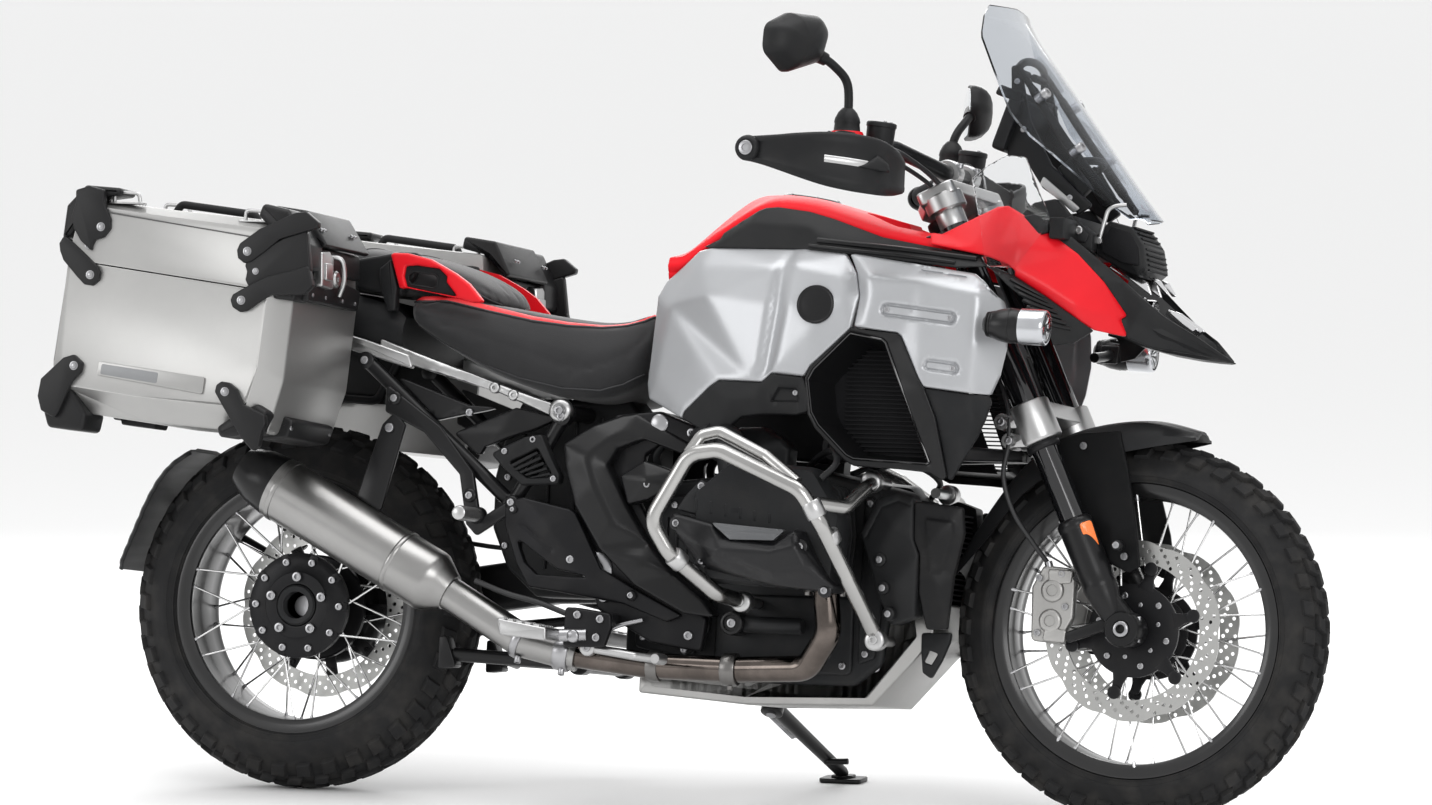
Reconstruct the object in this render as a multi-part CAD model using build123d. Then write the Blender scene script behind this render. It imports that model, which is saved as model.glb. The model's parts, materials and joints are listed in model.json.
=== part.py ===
from build123d import *
import math
import os

# Adventure motorcycle, millimetres, +X forward, +Y to its left, +Z up.
# It is modelled upright with its origin where the rear tyre meets the ground,
# then leaned onto its side stand and set with the middle of its footprint at the origin.

# ---- driving dimensions -------------------------------------------------
LEAN = 7.7                    # degrees to the left, resting on the side stand
WHEELBASE = 1534.0
FRONT_R, FRONT_HALF, FRONT_CROWN = 328.0, 60.0, 62.0
REAR_R, REAR_HALF, REAR_CROWN = 322.0, 85.0, 90.0
CASTER = 26.2                 # steering axis from the vertical
TRAIL = 118.0
FORK_Y = 122.0                # fork leg centre from the mid plane
FORK_SLOPE = 0.469            # fork run back per unit of height
FORK_FOOT_X = 1523.0          # fork line at axle height
AXLE_R, AXLE_BORE = 14.0, 14.05
DISC_Y = 66.0
SPOKES = 20                   # crossed pairs per side are half of this
CASE_WALL = 3.0
LID_GAP = 1.5

FRONT = (WHEELBASE, 0.0, FRONT_R)
REAR = (0.0, 0.0, REAR_R)
GROUND_X = WHEELBASE + TRAIL  # steering axis meets the ground here
STEER_DIR = (-math.sin(math.radians(CASTER)), 0.0, math.cos(math.radians(CASTER)))

RACK_HOLE = 3.25
SIDE_PIVOT = (823.0, 150.0, 180.0)
SIDE_FOOT = (880.0, 395.0)
SIDE_STOWED = (-0.955, 0.27, -0.12)
CENTRE_PIVOT = (556.0, 0.0, 236.0)
CENTRE_LEG = 258.0


def axis_x(z):
    return GROUND_X - z * math.tan(math.radians(CASTER))


def fork_x(z):
    return FORK_FOOT_X - FORK_SLOPE * (z - FRONT_R)


def ground_z(y):
    return y * math.tan(math.radians(LEAN))


# ---- shape helpers ------------------------------------------------------
def wire(points):
    return Wire.make_polygon([Vector(*p) for p in points], close=True)


def slab(outline, y0, y1):
    """An outline of (x, z) points, filled from y0 to y1."""
    return extrude(Face(wire([(x, y0, z) for x, z in outline])), amount=abs(y1 - y0),
                   dir=(0, 1 if y1 > y0 else -1, 0))


def plan(outline, z0, z1):
    """An outline of (x, y) points, filled from z0 to z1."""
    return extrude(Face(wire([(x, y, z0) for x, y in outline])), amount=z1 - z0, dir=(0, 0, 1))


def lofted(sections):
    """A ruled body through closed sections with equal numbers of points."""
    return Part(Solid.make_loft([wire(s) for s in sections], ruled=True).wrapped)


def panel(rows, t):
    """A bent panel. Each row is upper x, y, z and lower x, y, z; t is its thickness vector."""
    tx, ty, tz = t
    sections = []
    for ux, uy, uz, lx, ly, lz in rows:
        sections.append([(ux, uy, uz), (lx, ly, lz),
                         (lx + tx, ly + ty, lz + tz), (ux + tx, uy + ty, uz + tz)])
    return lofted(sections)


def ribbed(rows):
    """A body along x. Each row is x, half width at the bottom, bottom z,
    half width at the shoulder, shoulder z, half width on top, top z."""
    sections = []
    for x, wb, zb, ws, zs, wt, zt in rows:
        sections.append([(x, -wb, zb), (x, -ws, zs), (x, -wt, zt),
                         (x, wt, zt), (x, ws, zs), (x, wb, zb)])
    return lofted(sections)


def rod(p, q, r, r2=None):
    """A round bar from p to q, tapered if r2 is given."""
    a, b = Vector(*p), Vector(*q)
    pl = Plane(origin=a, z_dir=(b - a).normalized())
    if r2 is None:
        return Part(Solid.make_cylinder(r, (b - a).length, pl).wrapped)
    return Part(Solid.make_cone(r, r2, (b - a).length, pl).wrapped)


def tube(points, r, bends):
    """A bent round tube; bends is one radius or one for each inner point."""
    path = FilletPolyline(*points, radius=bends)
    return sweep(Plane(origin=path @ 0, z_dir=path % 0) * Circle(r), path=path)


def turned(profile, centre):
    """A body of revolution about the wheel's own axis. The profile is (y, radius)."""
    cx, cy, cz = centre
    face = Face(wire([(cx, cy + y, cz + r) for y, r in profile]))
    return revolve(face, axis=Axis((cx, cy, cz), (0, 1, 0)), revolution_arc=360)


def spun(p, q, profile):
    """A body of revolution about the line from p towards q. The profile is (distance along it, radius)."""
    a, d = Vector(*p), (Vector(*q) - Vector(*p)).normalized()
    side = d.cross(Vector(0, 1, 0)).normalized()
    face = Face(wire([tuple(a + d * t + side * r) for t, r in profile]))
    return revolve(face, axis=Axis(p, tuple(d)), revolution_arc=360)


def mirrored(s):
    return mirror(s, about=Plane.XZ)


def both(s):
    """A right-hand piece and its left-hand twin."""
    return [s, mirrored(s)]


def unite(items):
    out = items[0]
    for s in items[1:]:
        out = out + s
    return out


def polar(centre, radius, angle, y):
    a = math.radians(angle)
    return (centre[0] + radius * math.cos(a), y, centre[2] + radius * math.sin(a))


nodes = {}
bodies = {"root": [], "steering": [], "front_wheel": [], "rear_wheel": [],
          "side_stand": [], "centre_stand": [], "case_right_lid": [], "case_left_lid": []}


def add(name, body, items):
    nodes[name] = items if isinstance(items, list) else [items]
    bodies[body].append(name)


# ---- wheels -------------------------------------------------------------
def tyre(centre, radius, half, crown, bead_r, bead_y, shoulder):
    cx, _, cz = centre
    c = radius - crown
    a = math.radians(shoulder)
    sy, sr = crown * math.sin(a), c + crown * math.cos(a)
    def at(y, r):
        return (cx, y, cz + r)
    arc = ThreePointArc(at(-sy, sr), at(0, radius), at(sy, sr))
    rest = Polyline(at(sy, sr), at(half, bead_r + 24), at(bead_y + 1, bead_r + 6),
                    at(bead_y, bead_r), at(-bead_y, bead_r), at(-bead_y - 1, bead_r + 6),
                    at(-half, bead_r + 24), at(-sy, sr))
    face = Face(Wire([arc] + list(rest.edges())))
    return revolve(face, axis=Axis(centre, (0, 1, 0)), revolution_arc=360)


def rim(centre, bead_r, bead_y):
    b, y = bead_r, bead_y
    return turned([(-y - 6, b + 6), (-y - 1.4, b + 6), (-y - 0.4, b), (y + 0.4, b), (y + 1.4, b + 6),
                   (y + 6, b + 6), (y + 6, b - 6), (y - 8, b - 16), (-y + 8, b - 16),
                   (-y - 6, b - 6)], centre)


def spokes(centre, pairs, hub_r, hub_ys, rim_r, rim_ys, r, cross):
    """Each row of the table is side, twist sign and half-step offset of one family of spokes."""
    out = []
    step = 360.0 / pairs
    for side, sign, off in ((-1, 1, 0.0), (-1, -1, 0.32), (1, 1, 0.5), (1, -1, 0.82)):
        hub_y, rim_y = hub_ys[side > 0], rim_ys[side > 0]
        for i in range(pairs):
            a = step * (i + off)
            p = polar(centre, hub_r, a, side * (hub_y + sign * 2.3))
            q = polar(centre, rim_r, a + sign * cross, side * (rim_y + sign * 2.3))
            out.append(rod(p, q, r))
    return out


def ring(centre, y0, y1, r_out, r_in):
    return turned([(y0, r_out), (y1, r_out), (y1, r_in), (y0, r_in)], centre)


# front
F_BEAD, F_BEAD_Y = 244.0, 46.0
add("front_tyre", "front_wheel", tyre(FRONT, FRONT_R, FRONT_HALF, FRONT_CROWN, F_BEAD, F_BEAD_Y, 66))
add("front_rim", "front_wheel", rim(FRONT, F_BEAD, F_BEAD_Y))
add("front_spokes", "front_wheel", spokes(FRONT, SPOKES // 2, 62, (40, 40), F_BEAD - 7, (43, 43), 2.0, 20))
hub = turned([(-60, 27), (-46, 27), (-46, 68), (-34, 68), (-30, 44), (30, 44), (34, 68), (46, 68),
              (46, 27), (60, 27), (60, AXLE_BORE), (-60, AXLE_BORE)], FRONT)
DISC_ARMS = 6
for side in (-1, 1):
    hub = hub + ring(FRONT, side * 60 - 3.5, side * 60 + 3.5, 78, 26)
    for i in range(DISC_ARMS):
        a = 360 / DISC_ARMS * i + 15
        corners = [polar(FRONT, r, a + turn, 0) for r, turn in ((72, 6), (72, -6), (110, -3.4), (110, 3.4))]
        hub = hub + slab([(c[0], c[2]) for c in corners], side * 60 - 3.5, side * 60 + 3.5)
        end = polar(FRONT, 110, a, 0)
        hub = hub + turned([(side * 60 - 3.5, 10), (side * 60 + 3.5, 10), (side * 60 + 3.5, 0), (side * 60 - 3.5, 0)],
                           (end[0], 0, end[2]))
add("front_hub", "front_wheel", hub)


def brake_disc(centre, y, t, r_out, r_in, tabs, lug_r, turn):
    d = ring(centre, y - t / 2, y + t / 2, r_out, r_in)
    for i in range(tabs):
        end = polar(centre, lug_r, 360 / tabs * i + turn, 0)
        d = d + turned([(y - t / 2, 11), (y + t / 2, 11), (y + t / 2, 0), (y - t / 2, 0)], (end[0], 0, end[2]))
    return d


add("front_discs", "front_wheel", [brake_disc(FRONT, s * DISC_Y, 5.0, 155, 119, DISC_ARMS, 110, 15) for s in (-1, 1)])

# rear: the hub is open to the right, the drive flange is on the left
R_BEAD, R_BEAD_Y = 218.0, 66.0
add("rear_tyre", "rear_wheel", tyre(REAR, REAR_R, REAR_HALF, REAR_CROWN, R_BEAD, R_BEAD_Y, 62))
add("rear_rim", "rear_wheel", rim(REAR, R_BEAD, R_BEAD_Y))
add("rear_spokes", "rear_wheel", spokes(REAR, SPOKES // 2, 84, (50, 30), R_BEAD - 7, (62, 54), 2.0, 20))
add("rear_hub", "rear_wheel",
    turned([(-64, 62), (-60, 84), (-57, 92), (-44, 92), (-40, 60), (22, 56), (24, 92), (37, 92), (42, 66), (68, 66),
            (68, 52), (88, 52), (88, 20.05), (-30, 20.05), (-30, 40), (-64, 40)], REAR))
REAR_DISC_Y = 70.5
add("rear_disc", "rear_wheel", ring(REAR, REAR_DISC_Y - 2.5, REAR_DISC_Y + 2.5, 158, 52))

# ---- steering -----------------------------------------------------------
def fork_at(z, side=-1):
    return (fork_x(z), side * FORK_Y, z)


TUBE_TOP, RING_LOW, RING_HIGH, LEG_TOP = 1066.0, 640.0, 706.0, 508.0
add("fork_tubes", "steering", both(rod(fork_at(LEG_TOP), fork_at(RING_LOW), 23.5)
                                   + rod(fork_at(RING_LOW), fork_at(TUBE_TOP), 25.5)))
leg = rod(fork_at(LEG_TOP), fork_at(400), 30.0) + rod(fork_at(400), fork_at(345), 30.0, 17.0)
leg = leg + rod((WHEELBASE, -142, FRONT_R), (WHEELBASE, -82, FRONT_R), 31)
leg = leg + slab([(fork_x(400) - 20, 400), (fork_x(400) + 20, 405), (WHEELBASE + 22, FRONT_R + 16),
                  (WHEELBASE - 24, FRONT_R + 12)], -134, -104)
# caliper mount: two lugs reach back from the leg
leg = leg + slab([(1502, 408), (1440, 428), (1434, 410), (1512, 376)], -106, -92)
leg = leg + slab([(1512, 330), (1430, 302), (1424, 320), (1508, 352)], -106, -92)
leg = leg - rod((WHEELBASE, -150, FRONT_R), (WHEELBASE, -70, FRONT_R), AXLE_R)
add("fork_legs", "steering", both(leg))

# bridges, square to the steering axis; the lower one turns on the front arm's pin
def steer_at(z, u, w):
    c, t = math.cos(math.radians(CASTER)), math.sin(math.radians(CASTER))
    return (axis_x(z) + u * c - w * t, z + u * t + w * c)


def on_axis(z, w=0.0):
    x, zz = steer_at(z, 0, w)
    return (x, 0.0, zz)


def bridge_plate(z, outline, w0, w1):
    """A plate square to the steering axis. The outline is (ahead of the axis, sideways)."""
    return lofted([[(steer_at(z, u, w)[0], v, steer_at(z, u, w)[1]) for u, v in outline] for w in (w0, w1)])


PIN_R, PIN_BORE = 15.0, 15.05
LOW_Z, HIGH_Z = 676.0, 1046.0
lower = unite([rod(fork_at(RING_LOW, s), fork_at(RING_HIGH, s), 38) for s in (-1, 1)])
lower = lower + bridge_plate(LOW_Z, ((-26, -22), (-26, 22), (4, 70), (4, 122), (62, 122), (62, -122), (4, -122), (4, -70)), -15, 15)
lug = rod((fork_x(664) - 44, -FORK_Y - 26, 655), (fork_x(664) - 44, -FORK_Y + 20, 655), 14)
lower = lower + lug + mirrored(lug) - rod(on_axis(LOW_Z, -60), on_axis(LOW_Z, 60), PIN_BORE)
upper = bridge_plate(HIGH_Z, ((-28, -32), (-28, 32), (-4, 84), (8, 152), (78, 152), (78, -152), (8, -152), (-4, -84)), -12, 12)
upper = upper + rod(on_axis(HIGH_Z, -90), on_axis(HIGH_Z, -6), PIN_R)
for s in (-1, 1):
    lower = lower - rod(fork_at(RING_LOW - 5, s), fork_at(RING_HIGH + 5, s), 25.5)
    upper = upper - rod(fork_at(980, s), fork_at(TUBE_TOP + 30, s), 25.5)
BAR_CLAMP = (1168.0, 1106.0)
riser = slab([steer_at(HIGH_Z, -4, 8), steer_at(HIGH_Z, 50, 8), (BAR_CLAMP[0] + 24, BAR_CLAMP[1] + 4),
              (BAR_CLAMP[0] + 6, BAR_CLAMP[1] + 24), (BAR_CLAMP[0] - 22, BAR_CLAMP[1] + 12)], -66, -34)
riser = riser - rod((BAR_CLAMP[0], -70, BAR_CLAMP[1]), (BAR_CLAMP[0], -30, BAR_CLAMP[1]), 14.0)
upper = upper + riser + mirrored(riser)
add("fork_bridges", "steering", [lower, upper])

bar_half = [(BAR_CLAMP[0], 0, BAR_CLAMP[1]), (BAR_CLAMP[0], -86, BAR_CLAMP[1]), (1118, -212, 1134), (1060, -330, 1128), (952, -476, 1108)]
BAR_FLAT = 48.0
bar_end = tube([(BAR_CLAMP[0], BAR_FLAT, BAR_CLAMP[1])] + bar_half[1:], 14.0, [60, 60, 40][:3])
add("handlebar", "steering", unite([rod((BAR_CLAMP[0], -BAR_FLAT, BAR_CLAMP[1]), (BAR_CLAMP[0], BAR_FLAT, BAR_CLAMP[1]), 14.0), bar_end, mirrored(bar_end)]))

# grips, switch blocks, levers and reservoirs
def bar_point(t):
    a, b = bar_half[3], bar_half[4]
    return tuple(a[k] + (b[k] - a[k]) * t for k in range(3))


grip = rod(bar_point(0.06), bar_point(0.97), 18)
block = rod(bar_point(-0.10), bar_point(0.05), 25)
p0, p1 = bar_point(-0.2), bar_point(-0.1)
lever = tube([(1092, -306, 1118), (1112, -330, 1112), (1075, -420, 1102), (1010, -476, 1092)], 6.5, [14, 30])
lever = lever + rod(bar_point(-0.06), (1096, -312, 1116), 11)
tank_cup = rod((1108, -268, 1132), (1112, -268, 1172), 25)
tank_cup = tank_cup + rod((1080, -292, 1130), (1108, -268, 1140), 12)
cluster = grip + block + lever + tank_cup
cluster = cluster - rod(bar_point(-0.5), bar_point(1.2), 14.06)
add("hand_controls", "steering", both(cluster))

# hand guards: plan points x, y then top and bottom heights
guard = panel([(952, -492, 1128, 950, -492, 1080), (1040, -496, 1134, 1040, -494, 1058),
               (1120, -466, 1136, 1122, -464, 1040), (1164, -408, 1128, 1168, -406, 1036),
               (1166, -316, 1104, 1172, -312, 1044)], (-8, 4, 0))
guard = guard + rod((952, -478, 1108), (948, -504, 1106), 21)
guard = guard - rod(bar_point(0.2), bar_point(0.995), 20)
add("hand_guards", "steering", both(guard))


# mirrors: head centre x, y, z, turn in degrees; stem foot
def mirror_head(cx, cy, cz, side, turn, roll):
    w, h, d = 84, 53, 24
    out = [(-w, -4), (-w * 0.82, h * 0.78), (-w * 0.1, h), (w * 0.78, h * 0.72), (w, 6), (w * 0.6, -h * 0.86), (-w * 0.45, -h)]
    a = [(0, u, v) for u, v in out]
    b = [(d * 0.8, u * 0.93, v * 0.93) for u, v in out]
    c = [(d * 1.9, u * 0.5, v * 0.5) for u, v in out]
    s = lofted([a, b, c])
    return Pos(cx, cy, cz) * Rot(0, 0, turn) * Rot(roll, 0, 0) * s


stem_r = tube([(1060, -303, 1132), (1062, -303, 1206), (1058, -312, 1246), (1036, -334, 1270)], 7.5, [30, 14])
stem_l = tube([(1060, 303, 1132), (1062, 303, 1190), (1072, 314, 1216), (1084, 336, 1238)], 7.5, [22, 12])
boot_r = rod((1060, -303, 1118), (1061, -303, 1186), 17, 11)
boot_l = rod((1060, 303, 1118), (1061, 303, 1176), 17, 11)
m_r = mirror_head(984, -393, 1297, -1, -22, 12) + stem_r + boot_r
m_l = mirror_head(1056, 402, 1254, 1, 22, -6) + stem_l + boot_l
add("mirrors", "steering", [m_r, m_l])

# fender: rows are x, half width and height of the edge, half width and height of the crown
def fender_shell(k):
    rows = ((1200, 60, 402, 52, 420), (1262, 72, 470, 62, 520), (1330, 80, 552, 66, 606), (1400, 84, 600, 68, 656),
            (1470, 84, 622, 68, 678), (1550, 80, 640, 62, 684), (1628, 52, 656, 36, 668))
    return [[(x, -we + k, ze), (x, -wc + k * 0.8, zc - k), (x, wc - k * 0.8, zc - k), (x, we - k, ze)] for x, we, ze, wc, zc in rows]


shell = lofted([a + [b[3], b[2], b[1], b[0]] for a, b in zip(fender_shell(0), fender_shell(5))])
side = panel([(1392, -86, 640, 1318, -86, 500), (1440, -88, 640, 1372, -88, 470), (1492, -88, 640, 1470, -88, 436),
              (1530, -86, 600, 1536, -88, 430)], (0, 5, 0))
side = slab([(1384, 650), (1500, 664), (1518, 560), (1552, 436), (1500, 440), (1440, 560)], -90, -85)
link = slab([(1500, 470), (1540, 430), (1510, 424), (1470, 462)], -110, -84)
add("front_fender", "steering", unite([shell, side, mirrored(side), link, mirrored(link)]))

# calipers straddle the discs
CAL = (1393.0, 366.0)
cal = slab([(CAL[0] - 30, CAL[1] - 62), (CAL[0] + 20, CAL[1] - 66), (CAL[0] + 44, CAL[1] + 48), (CAL[0] + 34, CAL[1] + 64),
            (CAL[0] - 12, CAL[1] + 68), (CAL[0] - 30, CAL[1] + 30)], -92, -53)
cal = cal - ring(FRONT, -DISC_Y - 4.5, -DISC_Y + 4.5, 161, 0) - ring(FRONT, -100, -40, 127, 0)
cal = cal + slab([(1390, 426), (1434, 424), (1430, 404), (1392, 400)], -104, -88) + slab([(1384, 306), (1424, 304), (1426, 322), (1388, 326)], -104, -88)
cal = cal - leg
add("front_calipers", "steering", both(cal))
add("front_axle", "steering", rod((WHEELBASE, -146, FRONT_R), (WHEELBASE, 146, FRONT_R), AXLE_R)
    - rod((WHEELBASE, -150, FRONT_R), (WHEELBASE, 150, FRONT_R), 8))
hose = tube([(1325, -150, 636), (1318, -150, 580), (1336, -142, 520), (1366, -112, 470), (1386, -80, 430)], 4.0, [30, 40, 40])
add("brake_hoses", "steering", both(hose))

# ---- engine and running gear -------------------------------------------
add("engine_block", "root", slab([(640, 250), (640, 430), (700, 560), (960, 590), (1090, 560), (1130, 420), (1110, 250), (1060, 212), (700, 212)], -140, 140))
cyl = lofted([[(800, -140, 380), (1060, -140, 380), (1060, -140, 560), (800, -140, 560)],
              [(815, -250, 382), (1068, -250, 380), (1062, -250, 566), (812, -250, 560)]])
cyl_l = mirrored(cyl)
add("cylinders", "root", [cyl, cyl_l])
head = lofted([[(x, -250, z) for x, z in ((830, 430), (862, 380), (1076, 372), (1074, 520), (1030, 574), (880, 592), (820, 540))],
               [(x, -330, z) for x, z in ((812, 470), (852, 396), (1070, 384), (1080, 500), (1020, 556), (880, 584), (812, 530))],
               [(x, -376, z) for x, z in ((846, 476), (872, 412), (1036, 400), (1046, 470), (1000, 520), (890, 548), (850, 510))]])
add("head_covers", "root", both(head))
down = tube([(1040, -236, 384), (1046, -236, 300), (1000, -206, 240), (860, -184, 234), (700, -164, 236), (568, -164, 250)], 22, [40, 40, 40, 40])
add("exhaust_headers", "root", [down])
# silencer: distance from its front end and radius
muf = spun((330, -175, 350), (-62, -187, 559), [(0, 0), (0, 34), (36, 56), (408, 50), (444, 36), (444, 26), (400, 26), (400, 0)])
muf = muf + tube([(568, -164, 250), (463, -170, 272), (390, -173, 314), (300, -176, 366)], 30, [60, 60])
add("muffler", "root", muf)

# skid plate: an open tray below the engine
tray = slab([(664, 222), (664, 190), (860, 176), (1090, 182), (1196, 300), (1186, 360), (1150, 360), (1160, 304), (1078, 200), (860, 194), (690, 206), (690, 222)], -118, 118)
add("skid_plate", "root", tray)

# crash bars: main loop and outer branch
loop = tube([(1126, -214, 292), (1098, -312, 394), (1071, -386, 482), (1037, -404, 537), (891, -406, 600), (838, -404, 592),
             (771, -398, 478), (800, -380, 425), (862, -300, 360), (884, -214, 350)], 13.5, [40, 50, 40, 40, 24, 50, 30, 40])
branch = tube([(1050, -396, 516), (1096, -330, 512), (1112, -272, 548), (1108, -214, 562)], 12.5, [30, 24])
feet = unite([rod((x, -232, z), (x, -206, z), 18) + rod((x, -214, z), (x, -141, z), 9) for x, z in ((1126, 292), (884, 350), (1108, 562))])
add("crash_bars", "root", both(loop + branch + feet))

# radiator covers in front of the engine on both sides
shroud = slab([(1098, 532), (1200, 552), (1226, 540), (1240, 430), (1218, 336), (1160, 306), (1140, 316), (1132, 420)], -222, -146)
add("radiator_covers", "root", both(shroud))

# main frame: spine over the engine, side plates down to the arm pivot
side_plate = slab([(560, 600), (620, 668), (700, 676), (800, 640), (790, 610), (720, 630), (676, 600), (668, 520), (730, 400),
                   (800, 320), (792, 262), (700, 276), (600, 330), (560, 460)], -168, -146)
spine = slab([(700, 676), (760, 700), (1000, 800), (1090, 960), (1132, 1004), (1150, 960), (1110, 860), (1066, 740), (1040, 640), (960, 600), (800, 610)], -40, 40)
head_tube = rod(on_axis(HIGH_Z, -96), on_axis(HIGH_Z, -17), 30) - rod(on_axis(HIGH_Z, -92), on_axis(HIGH_Z, 0), PIN_BORE)
cross = [rod((x, -168, z), (x, 168, z), 20) for x, z in ((700, 655), (596, 400))]
add("main_frame", "root", unite([side_plate, mirrored(side_plate), spine, head_tube] + cross) - rod(on_axis(HIGH_Z, -92), on_axis(HIGH_Z, 40), PIN_BORE) - rod(on_axis(HIGH_Z, -17), on_axis(HIGH_Z, 60), 60))

# front arm: from the engine to the ball joint below the lower bridge
BALL = on_axis(LOW_Z, -36)
arm = unite([lofted([[(1010, s * 96, 606), (1010, s * 132, 606), (1010, s * 132, 642), (1010, s * 96, 642)],
                     [(BALL[0] - 22, -s * 4, 612), (BALL[0] - 22, s * 26, 612), (BALL[0] - 22, s * 26, 632), (BALL[0] - 22, -s * 4, 632)]]) for s in (-1, 1)]
            + [rod((1010, -134, 624), (1010, 134, 624), 18), rod(on_axis(LOW_Z, -50), on_axis(LOW_Z, -22), 26), rod(on_axis(LOW_Z, -40), on_axis(LOW_Z, 12), PIN_R)])
add("front_arm", "root", arm)

# swingarm and final drive on the left
swing = lofted([[(596, 100, 360), (596, 140, 360), (596, 140, 440), (596, 100, 440)],
                [(420, 108, 350), (420, 176, 350), (420, 176, 426), (420, 108, 426)],
                [(70, 100, 290), (70, 168, 290), (70, 168, 372), (70, 100, 372)]])
drive = turned([(90.5, 84), (104, 96), (150, 92), (168, 60), (168, 0), (90.5, 0)], REAR)
stub = rod((0, -28, REAR_R), (0, 100, REAR_R), 20)
add("swingarm", "root", unite([swing, drive, stub]))
pads = [polar(REAR, r, a, 0) for r, a in ((112, 34), (150, 26), (188, 34), (190, 62), (170, 74), (112, 66))]
clamp = slab([(x, z) for x, _, z in pads], 57, 98) - ring(REAR, REAR_DISC_Y - 4.5, REAR_DISC_Y + 4.5, 164, 0)
add("rear_caliper", "root", clamp - ring(REAR, 50, 66, 116, 0) + slab([(70, 372), (96, 420), (128, 410), (116, 362)], 84, 98))

# ---- tank, panels and fairing ------------------------------------------
add("fuel_tank", "root", ribbed([(694, 90, 860, 124, 900, 96, 940), (760, 120, 800, 168, 950, 118, 1008), (826, 150, 760, 196, 962, 130, 1062),
                                 (945, 180, 760, 226, 964, 140, 1058), (1070, 190, 800, 240, 952, 150, 1024)])
    - slab([(690, 600), (1000, 806), (1090, 1040), (1100, 700)], -44, 44)
    - bridge_plate(HIGH_Z, ((-50, -36), (-50, 36), (-92, 130), (-40, 172), (60, 172), (60, -172), (-40, -172), (-92, -130)), -80, 70))
side_rows = [(704, -170, 892, 684, -166, 706), (790, -214, 948, 762, -226, 664), (905, -244, 956, 842, -262, 726), (972, -262, 954, 946, -284, 742),
             (1062, -284, 945, 1078, -300, 822), (1168, -298, 930, 1168, -308, 812), (1296, -290, 912, 1218, -304, 722), (1350, -262, 868, 1338, -278, 712)]
add("tank_side_panels", "root", both(panel(side_rows, (0, 24, 0))))
strip = panel([(745, -168, 984, 720, -180, 930), (878, -196, 1022, 840, -214, 962), (978, -208, 994, 960, -240, 962), (1238, -232, 956, 1238, -262, 934)], (0, 16, 0))
add("tank_trim", "root", [strip, mirrored(strip)])

frame_out = [(998, 730), (1072, 818), (1166, 812), (1218, 724), (1338, 714), (1318, 636), (1264, 566), (1084, 590), (1010, 664)]
frame_in = [(1040, 726), (1084, 792), (1146, 794), (1232, 598), (1096, 612), (1044, 670)]
duct = slab(frame_out, -296, -252) - slab(frame_in, -320, -226)
scoop = lofted([[(x, -252, z) for x, z in frame_in], [(x * 0.92 + 92, -214, z * 0.9 + 70) for x, z in frame_in]])
knee = panel([(770, -222, 668, 772, -216, 622), (842, -258, 724, 842, -236, 630), (944, -272, 738, 930, -262, 660), (996, -282, 730, 1006, -276, 664)], (0, 22, 0))
add("air_ducts", "root", [duct, mirrored(duct), knee, mirrored(knee)])

wing_rows = [(1206, -236, 990, 1186, -238, 968), (1316, -232, 1034, 1284, -238, 952), (1376, -212, 1000, 1340, -224, 916),
             (1470, -168, 918, 1462, -180, 836), (1530, -120, 862, 1530, -130, 808)]
wing = panel(wing_rows, (0, 14, 0))
beak = lofted([[(1440, -176, 838), (1440, -120, 900), (1440, 120, 900), (1440, 176, 838), (1440, 150, 826), (1440, -150, 826)],
               [(1530, -130, 806), (1530, -86, 872), (1530, 86, 872), (1530, 130, 806), (1530, 110, 796), (1530, -110, 796)],
               [(1670, -16, 792), (1670, -10, 800), (1670, 10, 800), (1670, 16, 792), (1670, 12, 786), (1670, -12, 786)]])
add("front_fairing", "root", unite([beak, wing, mirrored(wing)]))
lamp = lofted([[(1448, -84, 900.5), (1448, -70, 966), (1448, 70, 966), (1448, 84, 900.5)],
               [(1530, -76, 873), (1530, -44, 938), (1530, 44, 938), (1530, 76, 873)]])
add("headlamp", "root", lamp - beak)
nose = lofted([[(1400, -120, 966), (1400, -110, 1050), (1400, 110, 1050), (1400, 120, 966)],
               [(1530, -70, 939), (1530, -60, 1030), (1530, 60, 1030), (1530, 70, 939)]])
nose = nose + slab([(1172, 958), (1172, 990), (1250, 1010), (1400, 1040), (1400, 980), (1260, 930)], -206, -186)
nose = nose + slab([(1172, 958), (1172, 990), (1250, 1010), (1400, 1040), (1400, 980), (1260, 930)], 186, 206)
nose = nose + slab([(1396, 966), (1396, 1040), (1424, 1040), (1424, 966)], -206, 206)
add("nose_panel", "root", nose - lamp)
add("dash", "root", lofted([[(1262, -118, 1150), (1300, -112, 1232), (1300, 112, 1232), (1262, 118, 1150)],
                            [(1290, -118, 1140), (1322, -112, 1226), (1322, 112, 1226), (1290, 118, 1140)]])
    + slab([(1290, 1142), (1320, 1226), (1346, 1310), (1358, 1300), (1340, 1190), (1440, 1050), (1410, 1040)], -96, -84)
    + slab([(1290, 1142), (1320, 1226), (1346, 1310), (1358, 1300), (1340, 1190), (1440, 1050), (1410, 1040)], 84, 96)
    + rod((1344, -96, 1296), (1344, 96, 1296), 8))


# screen: rows are height, centre x, half width, edge x
def screen_section(z, xc, w, xe, t):
    outer = [(xe, -w), (xe + (xc - xe) * 0.62, -w * 0.62), (xc, -w * 0.2), (xc, w * 0.2), (xe + (xc - xe) * 0.62, w * 0.62), (xe, w)]
    inner = [(x - t, y) for x, y in reversed(outer)]
    return [(x, y, z) for x, y in outer + inner]


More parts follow.
